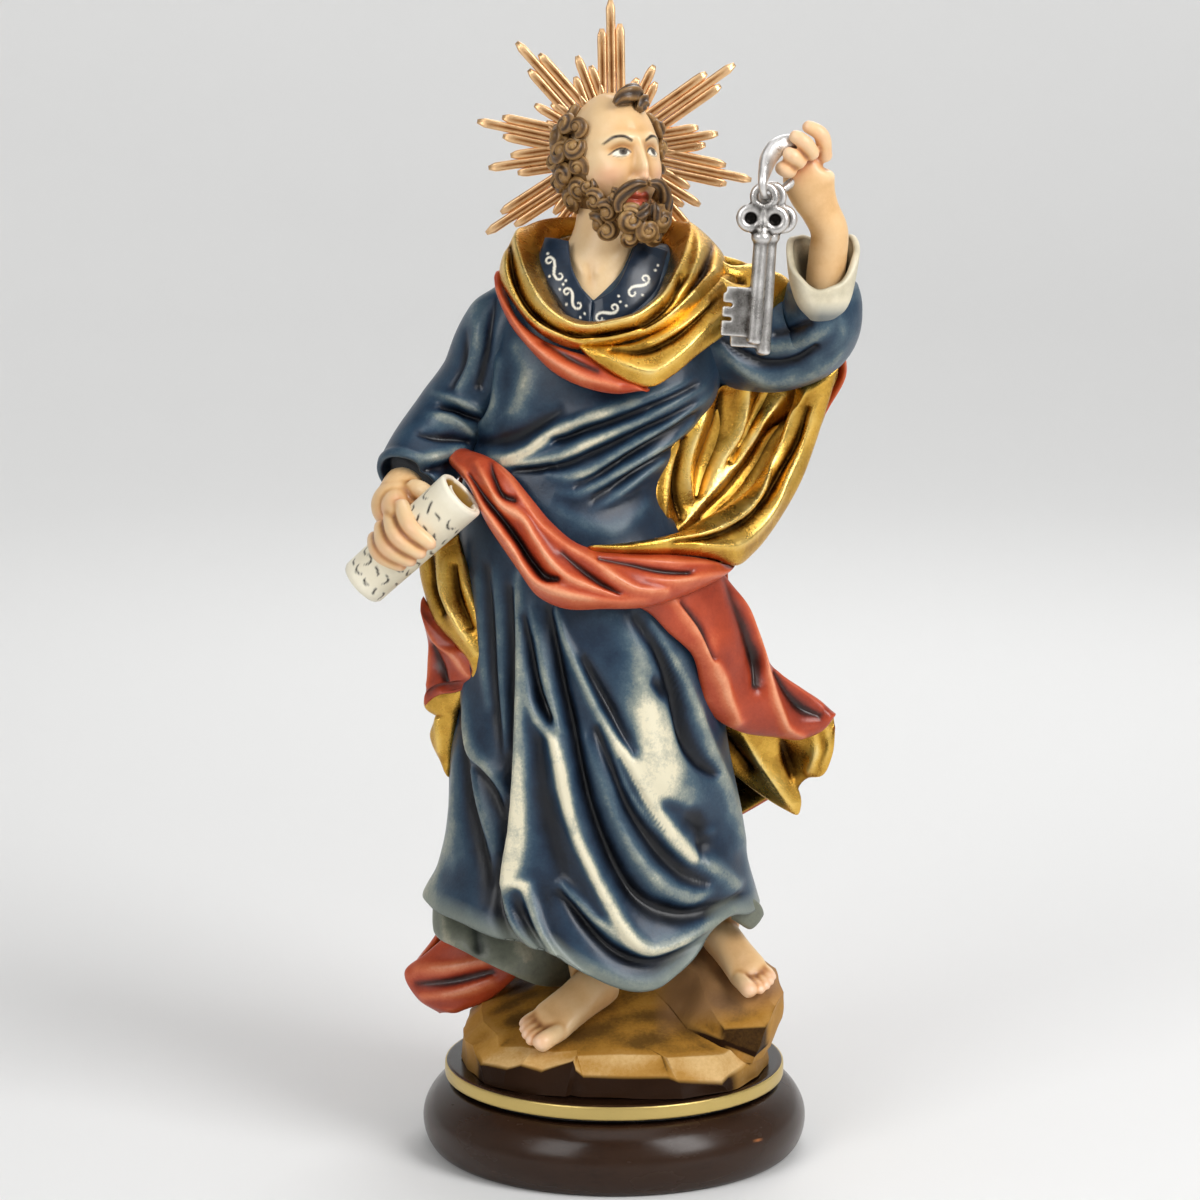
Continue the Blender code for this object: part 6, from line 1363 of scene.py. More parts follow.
scroll_hand = one_skin([
    ball((-65, -20, 205.2), (9.0, 8.0, 8.2)),
    rod([(-63, -12, 212, 6.4), (-65, -17, 208.6, 6.8), (-66, -22, 205, 7.0)]),
    rod(GRIP_BACK),
    *fingers(GRIP_KNUCKLES, GRIP_JOINTS, GRIP_TIPS, 2.45, 0.88),
    rod(GRIP_THUMB)], 0.44, 4)


FOOT_BODY = [  # along from the heel, middle across, half-width, height above the sole
    (1, -0.3, 3, 7), (4, -0.3, 5, 11), (9, -0.3, 6.2, 15), (14, -0.2, 6.4, 15), (20, 0, 6.6, 12),
    (26, 0.2, 7.1, 9.2), (29, 0.3, 7.4, 7.6), (31.5, 0.2, 7, 6.3), (33.2, 0.1, 6.3, 5.0)]
FOOT_TOES = [  # across from the middle, how far the tip reaches along, radius
    (-4.3, 41.6, 2.8), (-0.4, 41.4, 1.8), (2.4, 40.4, 1.65), (4.8, 38.9, 1.55), (6.8, 37.0, 1.45)]


def foot(sole, way, outer, size, leg):
    """Foot on its sole, 40 mm long at size 1. Each section is an oval, half-width times cosine and half
    the height times one plus sine, its front edge cut back towards the small toes. Five rods are the
    toes, and a last one runs up the leg. Returns the skin and the places of the toenails."""
    along_way = unit(np.array(way, float))
    across_way = unit(np.array(outer, float) - np.dot(outer, along_way) * along_way)
    up_way = np.cross(across_way, along_way)
    up_way = up_way if up_way[2] > 0 else -up_way

    def place(along, across, rise):
        far, wide, high = (np.asarray(value, float)[..., None] * size
                           for value in (along - 40.0, across, rise))
        return np.array(sole) + far * along_way + wide * across_way + high * up_way

    rows = smooth_line(FOOT_BODY, 40)
    turn = np.linspace(0, 2 * math.pi, 40, endpoint=False)
    across = rows[:, 1:2] + rows[:, 2:3] * np.cos(turn)
    rise = rows[:, 3:4] / 2 * (1 + np.sign(np.sin(turn)) * np.abs(np.sin(turn)) ** 0.8)
    along = rows[:, :1] - 0.3 * across * (rows[:, :1] / 36) ** 3
    shells, nails = [shell(place(along, across, rise))], []
    for across, tip, radius in FOOT_TOES:
        path = [(27, across * 0.8, 3.8), (33, across, radius * 1.15 + 0.9),
                (tip - 2.4, across * 0.97, radius + 0.9), (tip - 0.8, across * 0.94, radius * 0.9)]
        wide = (0.95, 1.0, 1.03, 0.95)
        toe = [(*place(*point), radius * size * grow, radius * size * grow)
               for point, grow in zip(path, wide)]
        shells.append(rod(toe, up_way, 34, 24))
        nails.append(place(tip - 1.3, across * 0.96, radius * 1.85 + 0.1))
    shells.append(rod([(*place(10, 0, 7), 6.0 * size), (*leg[0], 6.4 * size), (*leg[1], 7.4 * size)],
                      (0, 1, 0), 40, 30))
    return one_skin(shells, 0.46, 3), nails


right_foot, RIGHT_NAILS = foot((-26.9, -33, 39.6), (-0.65, -0.72, -0.24), (-0.68, 0.60, 0.42), 1.0,
                               [(-8, -9.5, 59), (-8, -6, 72)])
left_foot, LEFT_NAILS = foot((46.0, -24.4, 53.2), (0.42, -0.86, -0.28), (0.904, 0.301, 0.302), 0.9,
                             [(34, -1, 74), (32, 2, 90)])


def near_points(points, centres, reach):
    """Bell round each of the centres: the largest of exp(-(distance / reach)^2)."""
    gap = ((points[:, None] - np.asarray(centres, float)[None]) ** 2).sum(-1)
    return np.exp(-gap / reach**2).max(axis=1)


for name, surface, blush, nails in (
        ("raised_hand", raised_hand, FIST_JOINTS + FIST_TIPS + FIST_KNUCKLES, []),
        ("scroll_hand", scroll_hand, GRIP_JOINTS + GRIP_TIPS + GRIP_KNUCKLES, []),
        ("right_foot", right_foot, RIGHT_NAILS, RIGHT_NAILS),
        ("left_foot", left_foot, LEFT_NAILS, LEFT_NAILS)):
    rosy = near_points(surface[0], blush, 3.4) * 0.42
    nail = near_points(surface[0], nails, 1.3) if nails else 0 * rosy
    finished(name, surface, flesh_paint, "flesh", worn=edge_and_hollow(*surface, 0.20, 10), rosy=rosy,
             nail=np.clip(nail * 1.6 - 0.6, 0, 0.8))


# Head. The saint looks up over the viewer's right shoulder: a calm, plain face with a high bald brow,
# carved in one with the neck. The eyes, brows and lips are painted on with a fine brush.
HEAD_CENTRE = (-0.5, -3.0, 308.5)
HEAD_YAW, HEAD_TIP = math.radians(30), math.radians(12)
FACE_MOUNDS = [  # across, height, half-width, half-height and rise, in the face's own frame
    (0, -1.5, 1.5, 4.5, 1.9), (0, -5.8, 2.0, 3.0, 3.0), (0, -8.2, 1.9, 1.4, 2.2),
    (-2.5, -8.9, 1.3, 1.2, 1.5), (2.5, -8.9, 1.3, 1.2, 1.5),
    (-5.4, 3.9, 4.2, 1.6, 1.0), (5.4, 3.9, 4.2, 1.6, 1.0),
    (-5.5, 0.3, 3.4, 2.3, -1.9), (5.5, 0.3, 3.4, 2.3, -1.9),
    (-5.5, -0.4, 2.5, 1.5, 1.35), (5.5, -0.4, 2.5, 1.5, 1.35),
    (-8.6, -6.2, 4.0, 3.6, 1.1), (8.6, -6.2, 4.0, 3.6, 1.1),
    (0, -13.4, 5.0, 3.6, 1.4), (0, -20, 5.0, 3.4, 1.6), (0, 12, 9, 5, 0.5)]
FACE_STROKES = [  # lids, lips and folds
    [(-8.2, -0.6, 0.5, 0.1), (-6.9, 0.7, 0.5, 0.45), (-5.4, 1.1, 0.5, 0.5), (-3.8, 0.5, 0.5, 0.35),
     (-2.9, -0.5, 0.4, 0.1)],
    [(8.2, -0.6, 0.5, 0.1), (6.9, 0.7, 0.5, 0.45), (5.4, 1.1, 0.5, 0.5), (3.8, 0.5, 0.5, 0.35),
     (2.9, -0.5, 0.4, 0.1)],
    [(-7.8, -1.2, 0.45, 0.1), (-5.5, -2.0, 0.5, 0.35), (-3.2, -1.1, 0.4, 0.1)],
    [(7.8, -1.2, 0.45, 0.1), (5.5, -2.0, 0.5, 0.35), (3.2, -1.1, 0.4, 0.1)],
    [(-4.0, -13.2, 0.7, 0.2), (-1.6, -12.3, 0.9, 0.9), (0, -12.6, 0.8, 0.8), (1.6, -12.3, 0.9, 0.9),
     (4.0, -13.2, 0.7, 0.2)],
    [(-3.4, -14.4, 0.8, 0.2), (0, -15.3, 1.1, 1.2), (3.4, -14.4, 0.8, 0.2)],
    [(-4.2, -13.4, 0.35, -0.3), (-2, -13.5, 0.4, -0.8), (0, -13.8, 0.4, -0.8), (2, -13.5, 0.4, -0.8),
     (4.2, -13.4, 0.35, -0.3)],
    [(-8.0, 1.2, 0.45, -0.15), (-5.5, 2.2, 0.5, -0.4), (-3.2, 1.4, 0.45, -0.15)],
    [(8.0, 1.2, 0.45, -0.15), (5.5, 2.2, 0.5, -0.4), (3.2, 1.4, 0.45, -0.15)]]
BROW_LINE = [(2.5, 3.0, 0.45, 0.9), (4.6, 4.2, 0.55, 1.0), (7.0, 4.3, 0.5, 1.0), (9.4, 2.9, 0.32, 0.8)]
LASH_LINE = [
    (2.9, -0.5, 0.26, 0.8), (3.9, 0.45, 0.34, 1.0), (5.4, 0.95, 0.38, 1.0), (6.9, 0.6, 0.34, 1.0),
    (8.6, -0.6, 0.24, 0.8)]
LIP_LINES = [
    [(-4.0, -13.4, 0.7, 0.5), (-1.8, -12.6, 1.0, 1), (0, -12.9, 1.0, 1), (1.8, -12.6, 1.0, 1),
     (4.0, -13.4, 0.7, 0.5)],
    [(-3.5, -14.3, 0.8, 0.5), (0, -15.0, 1.35, 1), (3.5, -14.3, 0.8, 0.5)]]
EYE_ACROSS, IRIS_RADIUS, PUPIL_RADIUS = 5.5, 1.35, 0.62
LOWER_LASH = [(3.4, -1.1, 0.16, 0.4), (5.5, -1.75, 0.2, 0.5), (7.6, -1.2, 0.16, 0.4)]


def in_head(points):
    """From the face's own frame, which looks along -Y, to its place: tipped back, then turned."""
    x, y, z = np.moveaxis(np.asarray(points, float), -1, 0)
    y, z = y * math.cos(HEAD_TIP) + z * math.sin(HEAD_TIP), z * math.cos(HEAD_TIP) - y * math.sin(HEAD_TIP)
    x, y = x * math.cos(HEAD_YAW) - y * math.sin(HEAD_YAW), x * math.sin(HEAD_YAW) + y * math.cos(HEAD_YAW)
    return np.stack([x, y, z], -1) + HEAD_CENTRE


def face_and_skull(rows=180, around=168):
    """Egg: an ellipsoid narrowed to the chin. In front it is pushed out along its normal by mounds
    rise * exp(-(across / half-width)^2 - (height / half-height)^2) and by the strokes."""
    even = np.linspace(-math.pi, math.pi, around, endpoint=False)
    turn = (even - 0.72 * np.sin(even))[None]  # the points crowd towards the face
    up = np.linspace(-0.492 * math.pi, 0.492 * math.pi, rows)[:, None]
    narrow = 1 - 0.20 * np.clip(-np.sin(up), 0, 1) ** 1.4
    x = 13.4 * narrow * np.cos(up) * np.sin(turn)
    y = -16.4 * np.cos(up) * np.cos(turn) * (1 - 0.10 * np.clip(-np.sin(up), 0, 1))
    z = 20.6 * np.sin(up) + 0 * turn
    facing = np.clip(np.cos(turn) * 2.2, 0, 1)
    out = carved(x, z, FACE_STROKES)
    for across, height, wide, tall, rise in FACE_MOUNDS:
        out = out + rise * np.exp(-(((x - across) / wide) ** 2) - ((z - height) / tall) ** 2)
    out = out * facing
    push = unit(np.stack([x / 13.4**2, y / 16.4**2, z / 20.6**2 + 0 * x], -1))
    push[..., 1] -= 0.8 * facing
    points = np.stack([x, y, z], -1) + unit(push) * out[..., None]
    surface = shell(in_head(points))
    mirrored = np.abs(x)
    white = np.clip((1 - ((mirrored - EYE_ACROSS) / 2.6) ** 2 - ((z + 0.45) / 1.25) ** 2) * 3, 0,
                    1) * facing
    from_pupil = np.hypot(x - np.sign(x) * EYE_ACROSS - 0.5, z + 0.1)
    iris = np.clip((IRIS_RADIUS - from_pupil) * 3, 0, 1) * white
    pupil = np.clip((PUPIL_RADIUS - from_pupil) * 4, 0, 1) * white
    dark = np.clip(carved(mirrored, z, [BROW_LINE, LASH_LINE, LOWER_LASH], 4.0), 0, 1) * facing
    lips = np.clip(1.35 * carved(x, z, LIP_LINES, 4.0), 0, 1) * facing
    cheeks = np.exp(-((mirrored - 8.2) / 3.6) ** 2 - ((z + 6.6) / 3.4) ** 2) * facing
    nose_tip = 0.5 * np.exp(-(x / 2.2) ** 2 - ((z + 7.6) / 2) ** 2) * facing
    ends = [0.0, 0.0]
    layers = {"white": white, "iris": iris, "dark": np.maximum(dark, pupil), "lips": lips,
              "rosy": np.maximum(cheeks * 0.55, nose_tip)}
    return surface, {key: np.concatenate([value.ravel(), ends]) for key, value in layers.items()}


face_surface, face_layers = face_and_skull()
face_paint = coating(
    "face_paint", FLESH_TONES, 0.34, cloud=0.07, cloud_size=8, fine_size=1.4, bump=0.03, clear=0.2,
    layers=[("rosy", (0.86, 0.36, 0.20)), ("lips", (0.66, 0.12, 0.06)), ("white", (0.90, 0.84, 0.70)),
            ("iris", (0.09, 0.075, 0.06)), ("dark", (0.020, 0.012, 0.008))])
finished("face", face_surface, face_paint, "flesh",
         worn=np.clip(edge_and_hollow(*face_surface, 0.5, 40) * 0.7 + 0.25, 0, 1), **face_layers)
NECK_LINES = lines_in(CHEST_VIEW, [
    [(430, 40, -14, 2, 0.4), (470, 130, -15, 2.2, 0.9), (525, 215, -15, 1.8, 0.8)],
    [(700, 80, -12, 2, 0.4), (640, 150, -14, 2.2, 0.8), (575, 215, -15, 1.8, 0.7)],
    [(545, 190, -14, 1.8, -0.3), (548, 240, -15, 1.8, -0.7), (550, 280, -15, 1.6, -0.3)]])
neck = swept([(-6, -3, 257, 17, 15), (-5.6, -3, 264, 16, 14), (-5, -3, 270, 14, 12.6),
              (-4, -2, 277, 11.8, 11.8), (-2, 0, 286, 10.6, 11.6), (0, 1, 300, 10.6, 11.6)], steps=70,
             around=80, lines=NECK_LINES)[:2]
spare = np.zeros(len(neck[0]))
finished("neck", neck, flesh_paint, "flesh", worn=np.clip(edge_and_hollow(*neck, 0.4, 30) * 0.7 + 0.15, 0, 1),
         rosy=spare, nail=spare)
NECKLINES = [
    marks(CHEST_VIEW, [(476, 108, -10), (490, 206, -15.5), (520, 268, -17.5), (557, 313, -19)]),
    marks(CHEST_VIEW, [(557, 313, -19), (617, 280, -18.5), (672, 188, -14.5), (700, 112, -9)])]
COLLAR_EDGES = [
    marks(CHEST_VIEW, [(392, 94, -5), (362, 230, -12), (420, 320, -18), (470, 390, -20), (545, 430, -22)]),
    marks(CHEST_VIEW, [(550, 430, -22), (620, 405, -21), (700, 360, -19), (775, 295, -15), (812, 140, -6)])]
COLLAR_RIMS = lines_in(CHEST_VIEW, [
    [(478, 112, -10, 0.8, 0.8), (494, 206, -15, 0.8, 1), (524, 268, -17, 0.8, 1),
     (555, 311, -19, 0.8, 0.8)],
    [(559, 311, -19, 0.8, 0.8), (615, 278, -18, 0.8, 1), (668, 186, -14, 0.8, 1),
     (698, 112, -9, 0.8, 0.8)]])
COLLAR_BAND = [band_of_cloth(inner, outer, 0.8, 2.2, [rim], 130, 48)
               for inner, outer, rim in zip(NECKLINES, COLLAR_EDGES, COLLAR_RIMS)]
SCROLLWORK = marks(CHEST_VIEW, [  # size and slope
    (424, 198, -15, 2.5, 151), (486, 300, -17, 2.4, 156), (606, 348, -18, 2.5, 61),
    (714, 258, -17, 2.6, 72)])
DOTS = marks(CHEST_VIEW, [
    (402, 150, -14), (412, 162, -14), (408, 226, -15), (455, 252, -16), (464, 240, -16), (443, 270, -16),
    (466, 320, -17), (528, 352, -18), (514, 364, -18), (500, 376, -18), (594, 376, -18), (644, 292, -18),
    (650, 312, -18), (670, 326, -18), (726, 290, -17), (770, 207, -15), (779, 190, -14)])


def s_scroll(x, z, size, slope):
    """S-shaped brush stroke whose bend grows evenly from its middle: its heading is 5.6 * place^2."""
    place = np.linspace(-1, 1, 25)
    heading = 5.6 * place**2 + math.radians(slope) - 1.2
    step = 2.9 * size * (place[1] - place[0])
    line = np.cumsum(step * np.stack([np.cos(heading), np.sin(heading)], -1), axis=0)
    line = line - line.mean(axis=0) + (x, z)
    width = 0.42 * (1 - 0.5 * np.abs(place))
    return np.column_stack([line, width, np.ones(25)])


collar_paint = coating("collar_paint", BLUE_TONES, 0.34, cloud=0.16, cloud_size=7, fine_size=1.2,
                       bump=0.10, clear=0.2, layers=[("white", (0.80, 0.78, 0.68))])
collar_band = joined([band[:2] for band in COLLAR_BAND])
bx, by, bz = collar_band[0].T
dots = np.array(DOTS, float)
dots = np.clip(2.2 - np.hypot(bx[:, None] - dots[:, 0], bz[:, None] - dots[:, 2]) / 0.22, 0,
               1).max(axis=1)
white = np.maximum(np.clip(1.6 * carved(bx, bz, [s_scroll(x, z, *rest) for x, _, z, *rest in SCROLLWORK],
                                        4.0), 0, 1), dots)
finished("collar_band", collar_band, collar_paint, "robe_blue",
         worn=0.12 + 0.42 * edge_and_hollow(*collar_band, 0.5, 20), white=white)

# Hair and beard. Thick brown curls, each cut as a small snail with a spiral gouge, lie round the sides
# and back of the head; larger ones make the beard, with rolled locks for the moustache and forelock.
SIDE_CURLS = [  # across, depth, height and radius in the face's frame, the same on both sides
    (14.6, -5.0, 9.5, 3.6), (15.6, 0.5, 11.0, 4.2), (15.9, 5.8, 9.0, 4.4), (15.6, -3.4, 3.8, 4.0),
    (16.6, 2.4, 3.4, 4.8), (15.8, 8.0, 2.0, 4.6), (14.4, -3.0, -2.6, 3.8), (15.8, 2.8, -4.2, 4.8),
    (14.6, 8.4, -5.0, 4.8), (13.6, -1.2, -9.0, 4.2), (12.8, 5.0, -11.0, 4.6), (12.0, 10.6, 11.0, 4.4)]
BACK_CURLS = [(x, 14.4 - 0.02 * x * x, z, 4.6) for z in (-11, -4, 3, 10) for x in (-8.4, 0, 8.4)]
BACK_CURLS += [(x, 11.6 - 0.03 * x * x, z, 4.2) for z,
               x in ((16, -7), (16, 0), (16, 7), (-7, -11.6), (0, -12.4), (7, -11.6), (-7, 11.6),
                     (0, 12.4), (7, 11.6))]
BEARD_CURLS = [  # across, depth, height and radius, not the same on both sides
    (-12.6, -4.6, -8.4, 3.4), (12.6, -4.6, -8.4, 3.4), (-12.4, -7.0, -13.4, 3.9),
    (12.4, -7.0, -13.4, 3.9), (-10.6, -10.4, -17.6, 4.2), (10.6, -10.4, -17.6, 4.2),
    (-5.4, -15.2, -20.6, 4.9), (5.4, -15.2, -20.6, 4.6), (0, -15.6, -24.0, 4.2), (-9.8, -8.0, -22.4, 4.2),
    (9.8, -8.0, -22.4, 4.2), (-4.6, -11.6, -25.2, 4.2), (4.8, -11.6, -25.0, 4.0),
    (-8.8, -2.0, -19.6, 4.4), (8.8, -2.0, -19.6, 4.4), (-9.4, -13.2, -13.4, 3.0),
    (9.4, -13.2, -13.4, 3.0)]
MOUSTACHE = [[(0.6, -18.6, -10.6, 0.8, 0.8), (3.2, -18.2, -10.6, 1.5, 1.4), (6.4, -16.4, -12.4, 2.0, 1.9),
              (8.4, -14.6, -15.6, 1.9, 1.8), (8.2, -14.6, -18.4, 1.3, 1.2)]]
CHIN_LOCKS = [[(0.8, -18.4, -16.6, 1.2, 1.0), (1.8, -18.0, -18.6, 1.8, 1.4),
               (3.2, -17.0, -20.8, 1.8, 1.4)]]
FORELOCK = [[(6.0, -8.0, 18.4, 1.2, 1.0), (3.6, -11.6, 18.4, 2.4, 2.0), (0.0, -13.8, 17.4, 2.8, 2.2),
             (-3.4, -13.6, 16.2, 2.0, 1.6), (-5.0, -12.8, 14.6, 1.0, 0.9)],
            [(7.4, -6.6, 17.4, 1.2, 1.0), (6.6, -10.2, 16.4, 2.2, 1.8), (4.2, -13.2, 14.8, 2.2, 1.8),
             (2.4, -14.6, 12.6, 1.2, 1.0)]]


def curl(centre, aim, size, start, sweep, tube, steps=28, around=18):
    """Curl: a tube along a flat spiral. Its turn grows evenly to the sweep, its distance from the middle
    shrinks as 1 - 0.86 * share, and it rises along the aim. Grooves 1 + 0.2 * cos(5 * way) run along it."""
    share = np.linspace(0, 1, steps)
    aim = unit(np.asarray(aim, float))
    side = unit(np.cross(aim, (0.1, 0.2, 1)))
    up = np.cross(side, aim)
    turn = start + sweep * share
    away = size * (1 - 0.86 * share)
    line = np.asarray(centre, float) + (away * np.cos(turn))[:, None] * side
    line = line + (away * np.sin(turn))[:, None] * up
    line = line + (size * (0.40 * share**1.5 - 0.25))[:, None] * aim
    tangent = unit(np.gradient(line, axis=0))
    out = unit(aim - (tangent @ aim)[:, None] * tangent)
    across = np.cross(tangent, out)
    swell = tube * (0.30 + 0.70 * np.sin(math.pi * np.clip(0.06 + 0.86 * share, 0, 1)) ** 0.6)
    way = np.linspace(0, 2 * math.pi, around, endpoint=False)
    radius = swell[:, None] * (1 + 0.20 * np.cos(5 * way + 0.5)[None])
    ring = (line[:, None] + (radius * np.cos(way))[..., None] * out[:, None] * 1.05
            + (radius * np.sin(way))[..., None] * across[:, None])
    return shell(in_head(ring))


def lock(points, strands=5, twist=1.4, groove_shade=0.15, steps=44, around=34):
    """Lock of hair: an oval swept along its path, with strand grooves 1 + groove * cos(strands * turn +
    twist * place) that wind round it."""
    rows = smooth_line(points, steps)
    centre, across, along = rows[:, :3], rows[:, 3], rows[:, 4]
    tangent = unit(np.gradient(centre, axis=0))
    side = unit(np.cross(tangent, (0.0, 1.0, 0.2)))
    front = np.cross(side, tangent)
    turn = np.linspace(0, 2 * math.pi, around, endpoint=False)[None]
    place = np.linspace(0, 2 * math.pi, steps)[:, None]
    swell = 1 + groove_shade * np.cos(strands * turn + twist * place)
    ring = (centre[:, None] + (np.cos(turn) * swell * across[:, None])[..., None] * side[:, None]
            + (np.sin(turn) * swell * along[:, None])[..., None] * front[:, None])
    return shell(in_head(ring))


def ball_in_head(centre, radii, rows, around):
    """Ellipsoid placed in the face's own frame."""
    rings = ball(centre, radii, rows, around)[0][:-2].reshape(rows, around, 3)
    return shell(in_head(rings))


def mirrored(points):
    """The same rows on the other side of the face."""
    return [(-row[0], *row[1:]) for row in points]


curls = []
drawn = np.random.default_rng(5)
for k, (across, depth, height, radius) in enumerate(SIDE_CURLS):
    for side in (-1, 1):
        place = np.array((side * across, depth, height)) * 0.97
        curls.append(curl(place, place * (1, 1, 0.5) + (0, -5, 0), radius * 0.64, drawn.uniform(0, 6.28),
                          side * (-1) ** k * drawn.uniform(4.2, 5.6), radius * 0.54))
for k, (across, depth, height, radius) in enumerate(BACK_CURLS):
    curls.append(curl((across, depth - 2.4, height), (across, depth, height * 0.4), radius * 0.66,
                      drawn.uniform(0, 6.28), (-1) ** k * drawn.uniform(4.2, 5.6), radius * 0.54))
for k, (across, depth, height, radius) in enumerate(BEARD_CURLS):
    coil = 7.4 if height < -20 and depth < -15 else drawn.uniform(4.2, 5.4)
    curls.append(curl((across, depth, height), (across * 0.7, depth - 2, height * 0.35), radius * 0.66,
                      drawn.uniform(-1, 1) + 1.6, coil if across < 0 else -coil, radius * 0.50))
locks = [lock(side) for path in MOUSTACHE + CHIN_LOCKS for side in (path, mirrored(path))]
locks += [lock(path, 5) for path in FORELOCK]
both_sides = [(side * across, *rest) for across, *rest in SIDE_CURLS for side in (-1, 1)]
hearts = [ball_in_head((0.98 * across, depth, height), (0.46 * radius,) * 3, 9, 12)
          for across, depth, height, radius in both_sides + BEARD_CURLS + BACK_CURLS]
cap = [ball_in_head((0, 2.5, -1.0), (14.4, 14.8, 16.8), 40, 56)]
hair_tones = [(0.0, (0.020, 0.011, 0.006)), (0.30, (0.046, 0.025, 0.012)), (0.50, (0.078, 0.040, 0.015)),
              (0.70, (0.165, 0.086, 0.030)), (0.88, (0.33, 0.185, 0.064)), (1.0, (0.56, 0.36, 0.14))]
hair_paint = coating("hair_paint", hair_tones, 0.38, cloud=0.22, cloud_size=5, fine_size=0.6, bump=0.20,
                     clear=0.15, stretch=(1, 1, 1))
hair = joined(curls + hearts + locks + cap)
HALO_FACE = 18.6  # the hair is flat behind, where the halo sits on it
hair = (np.column_stack([hair[0][:, 0], np.minimum(hair[0][:, 1], HALO_FACE), hair[0][:, 2]]), hair[1])
finished("hair_and_beard", hair, hair_paint, "hair_brown",
         worn=np.clip(1.0 * edge_and_hollow(*hair, 0.30, 4) - 0.12, 0, 1))


# Halo. A sunburst of carved fluted sticks behind the head, three to a bundle and each cut to a point,
# pegged to the back of the hair and covered in a coppery gold.
HALO_CENTRE = (-0.5, 19.6, 311.4)
HALO_THICK = 1.5
STICK = 3.0
HUB_PROFILE = [(0.4, -0.7), (11.5, -0.7), (12, -0.4), (12, 0.9), (11.5, 1.3), (0.4, 1.3)]  # radius, depth
HALO_BUNDLES = [  # turn from straight up in degrees, clockwise from the front, and length
    (-1, 46), (26, 29), (55, 46), (81, 33), (102, 44), (122, 32), (140, 44), (160, 24), (181, 24),
    (200, 24), (217, 31), (237, 47), (262, 39), (282, 43), (300, 28), (318, 44.5), (339, 31)]


def stick(turn, offset, start, length, rise, steps=18, around=16):
    """Half-round stick: its section is wide times cosine and rise times sine of the way round, flat
    behind, with a groove along its middle, and its last part narrows to a blunt chisel end."""
    s = np.linspace(0, 1, steps)
    reach = start + (length - start) * s
    near_tip = np.clip((reach - (length - 2.6)) / 2.6, 0, 1)
    width = STICK / 2 * (0.86 + 0.14 * s) * (1 - 0.55 * near_tip**1.5)
    height = rise * (1 - 0.55 * near_tip**2)
    way = np.linspace(0, 2 * math.pi, around, endpoint=False)
    across = offset + width[:, None] * np.sign(np.cos(way)) * np.abs(np.cos(way)) ** 0.8
    fluted = np.abs(np.sin(way)) ** 0.8 - 0.42 * np.exp(-((np.cos(way) / 0.3) ** 2))
    behind = -HALO_THICK * np.abs(np.sin(way)) ** 0.35
    depth = np.where(np.sin(way) > 0, height[:, None] * fluted, behind)
    x = across * math.cos(turn) + reach[:, None] * math.sin(turn)
    z = reach[:, None] * math.cos(turn) - across * math.sin(turn)
    return shell(np.stack([x, -depth, z + 0 * x], -1) + np.asarray(HALO_CENTRE))


sticks = []
for degrees, length in HALO_BUNDLES:
    way = math.radians(degrees)
    side_length = length - (8 if length > 35 else 5)
    sticks.append(stick(way, 0, 3, length, 1.45))
    sticks += [stick(way, side * STICK * 0.94, 5, side_length + side * 0.7, 1.15) for side in (-1, 1)]
hub = np.array(HUB_PROFILE)
hub = shell(revolved(hub[:, :1], hub[:, 1:], 72)[..., [0, 2, 1]] + np.asarray(HALO_CENTRE))
halo = joined(sticks + [hub])
copper_tones = [(0.0, (0.030, 0.008, 0.003)), (0.28, (0.15, 0.045, 0.014)), (0.46, (0.42, 0.165, 0.052)),
                (0.66, (0.62, 0.30, 0.115)), (1.0, (0.92, 0.60, 0.32))]
coppery_gold = coating("coppery_gold", copper_tones, 0.33, metallic=0.88, cloud=0.2, cloud_size=5,
                       fine_size=0.6, bump=0.30)
finished("sunburst", halo, coppery_gold, "halo_gold", "ray_halo", worn=edge_and_hollow(*halo, 0.22, 6))


# Ring and keys. A loose wire ring of dulled silver hangs in the fist, and two cast keys on it, each
# with a three-lobed bow, a round shank with a collar and a slotted bit, blackened in the hollows.
RING_PATH = [  # x, y, z and the wire's radius across and along
    (53.5, -25, 314.2, 2.2, 1.6), (48.6, -27, 313.2, 2.8, 1.9), (45.4, -30.5, 309.8, 2.9, 2.0),
    (43.9, -35, 305.8, 2.2, 1.6), (43.2, -37.6, 302.4, 1.4, 1.3), (43.4, -37.2, 299.8, 1.1, 1.1),
    (44.3, -33.6, 298.4, 1.1, 1.1), (46.7, -28.6, 298.3, 1.1, 1.1), (48.8, -24.8, 299.6, 1.15, 1.15),
    (52.8, -22.5, 302.6, 1.6, 1.5), (56, -22, 306.8, 1.8, 1.6), (56.5, -23, 311.4, 2.0, 1.6)]
FRONT_KEY = ((44, -33.5, 298.5), math.radians(4), 48.0)  # middle of the ring hole, slant, length
BACK_KEY = ((46.5, -28.5, 298.5), math.radians(3), 51.5)
HOLE_RISE, LOBE_RING, LOBE_WIRE = 5.6, 3.15, 1.25


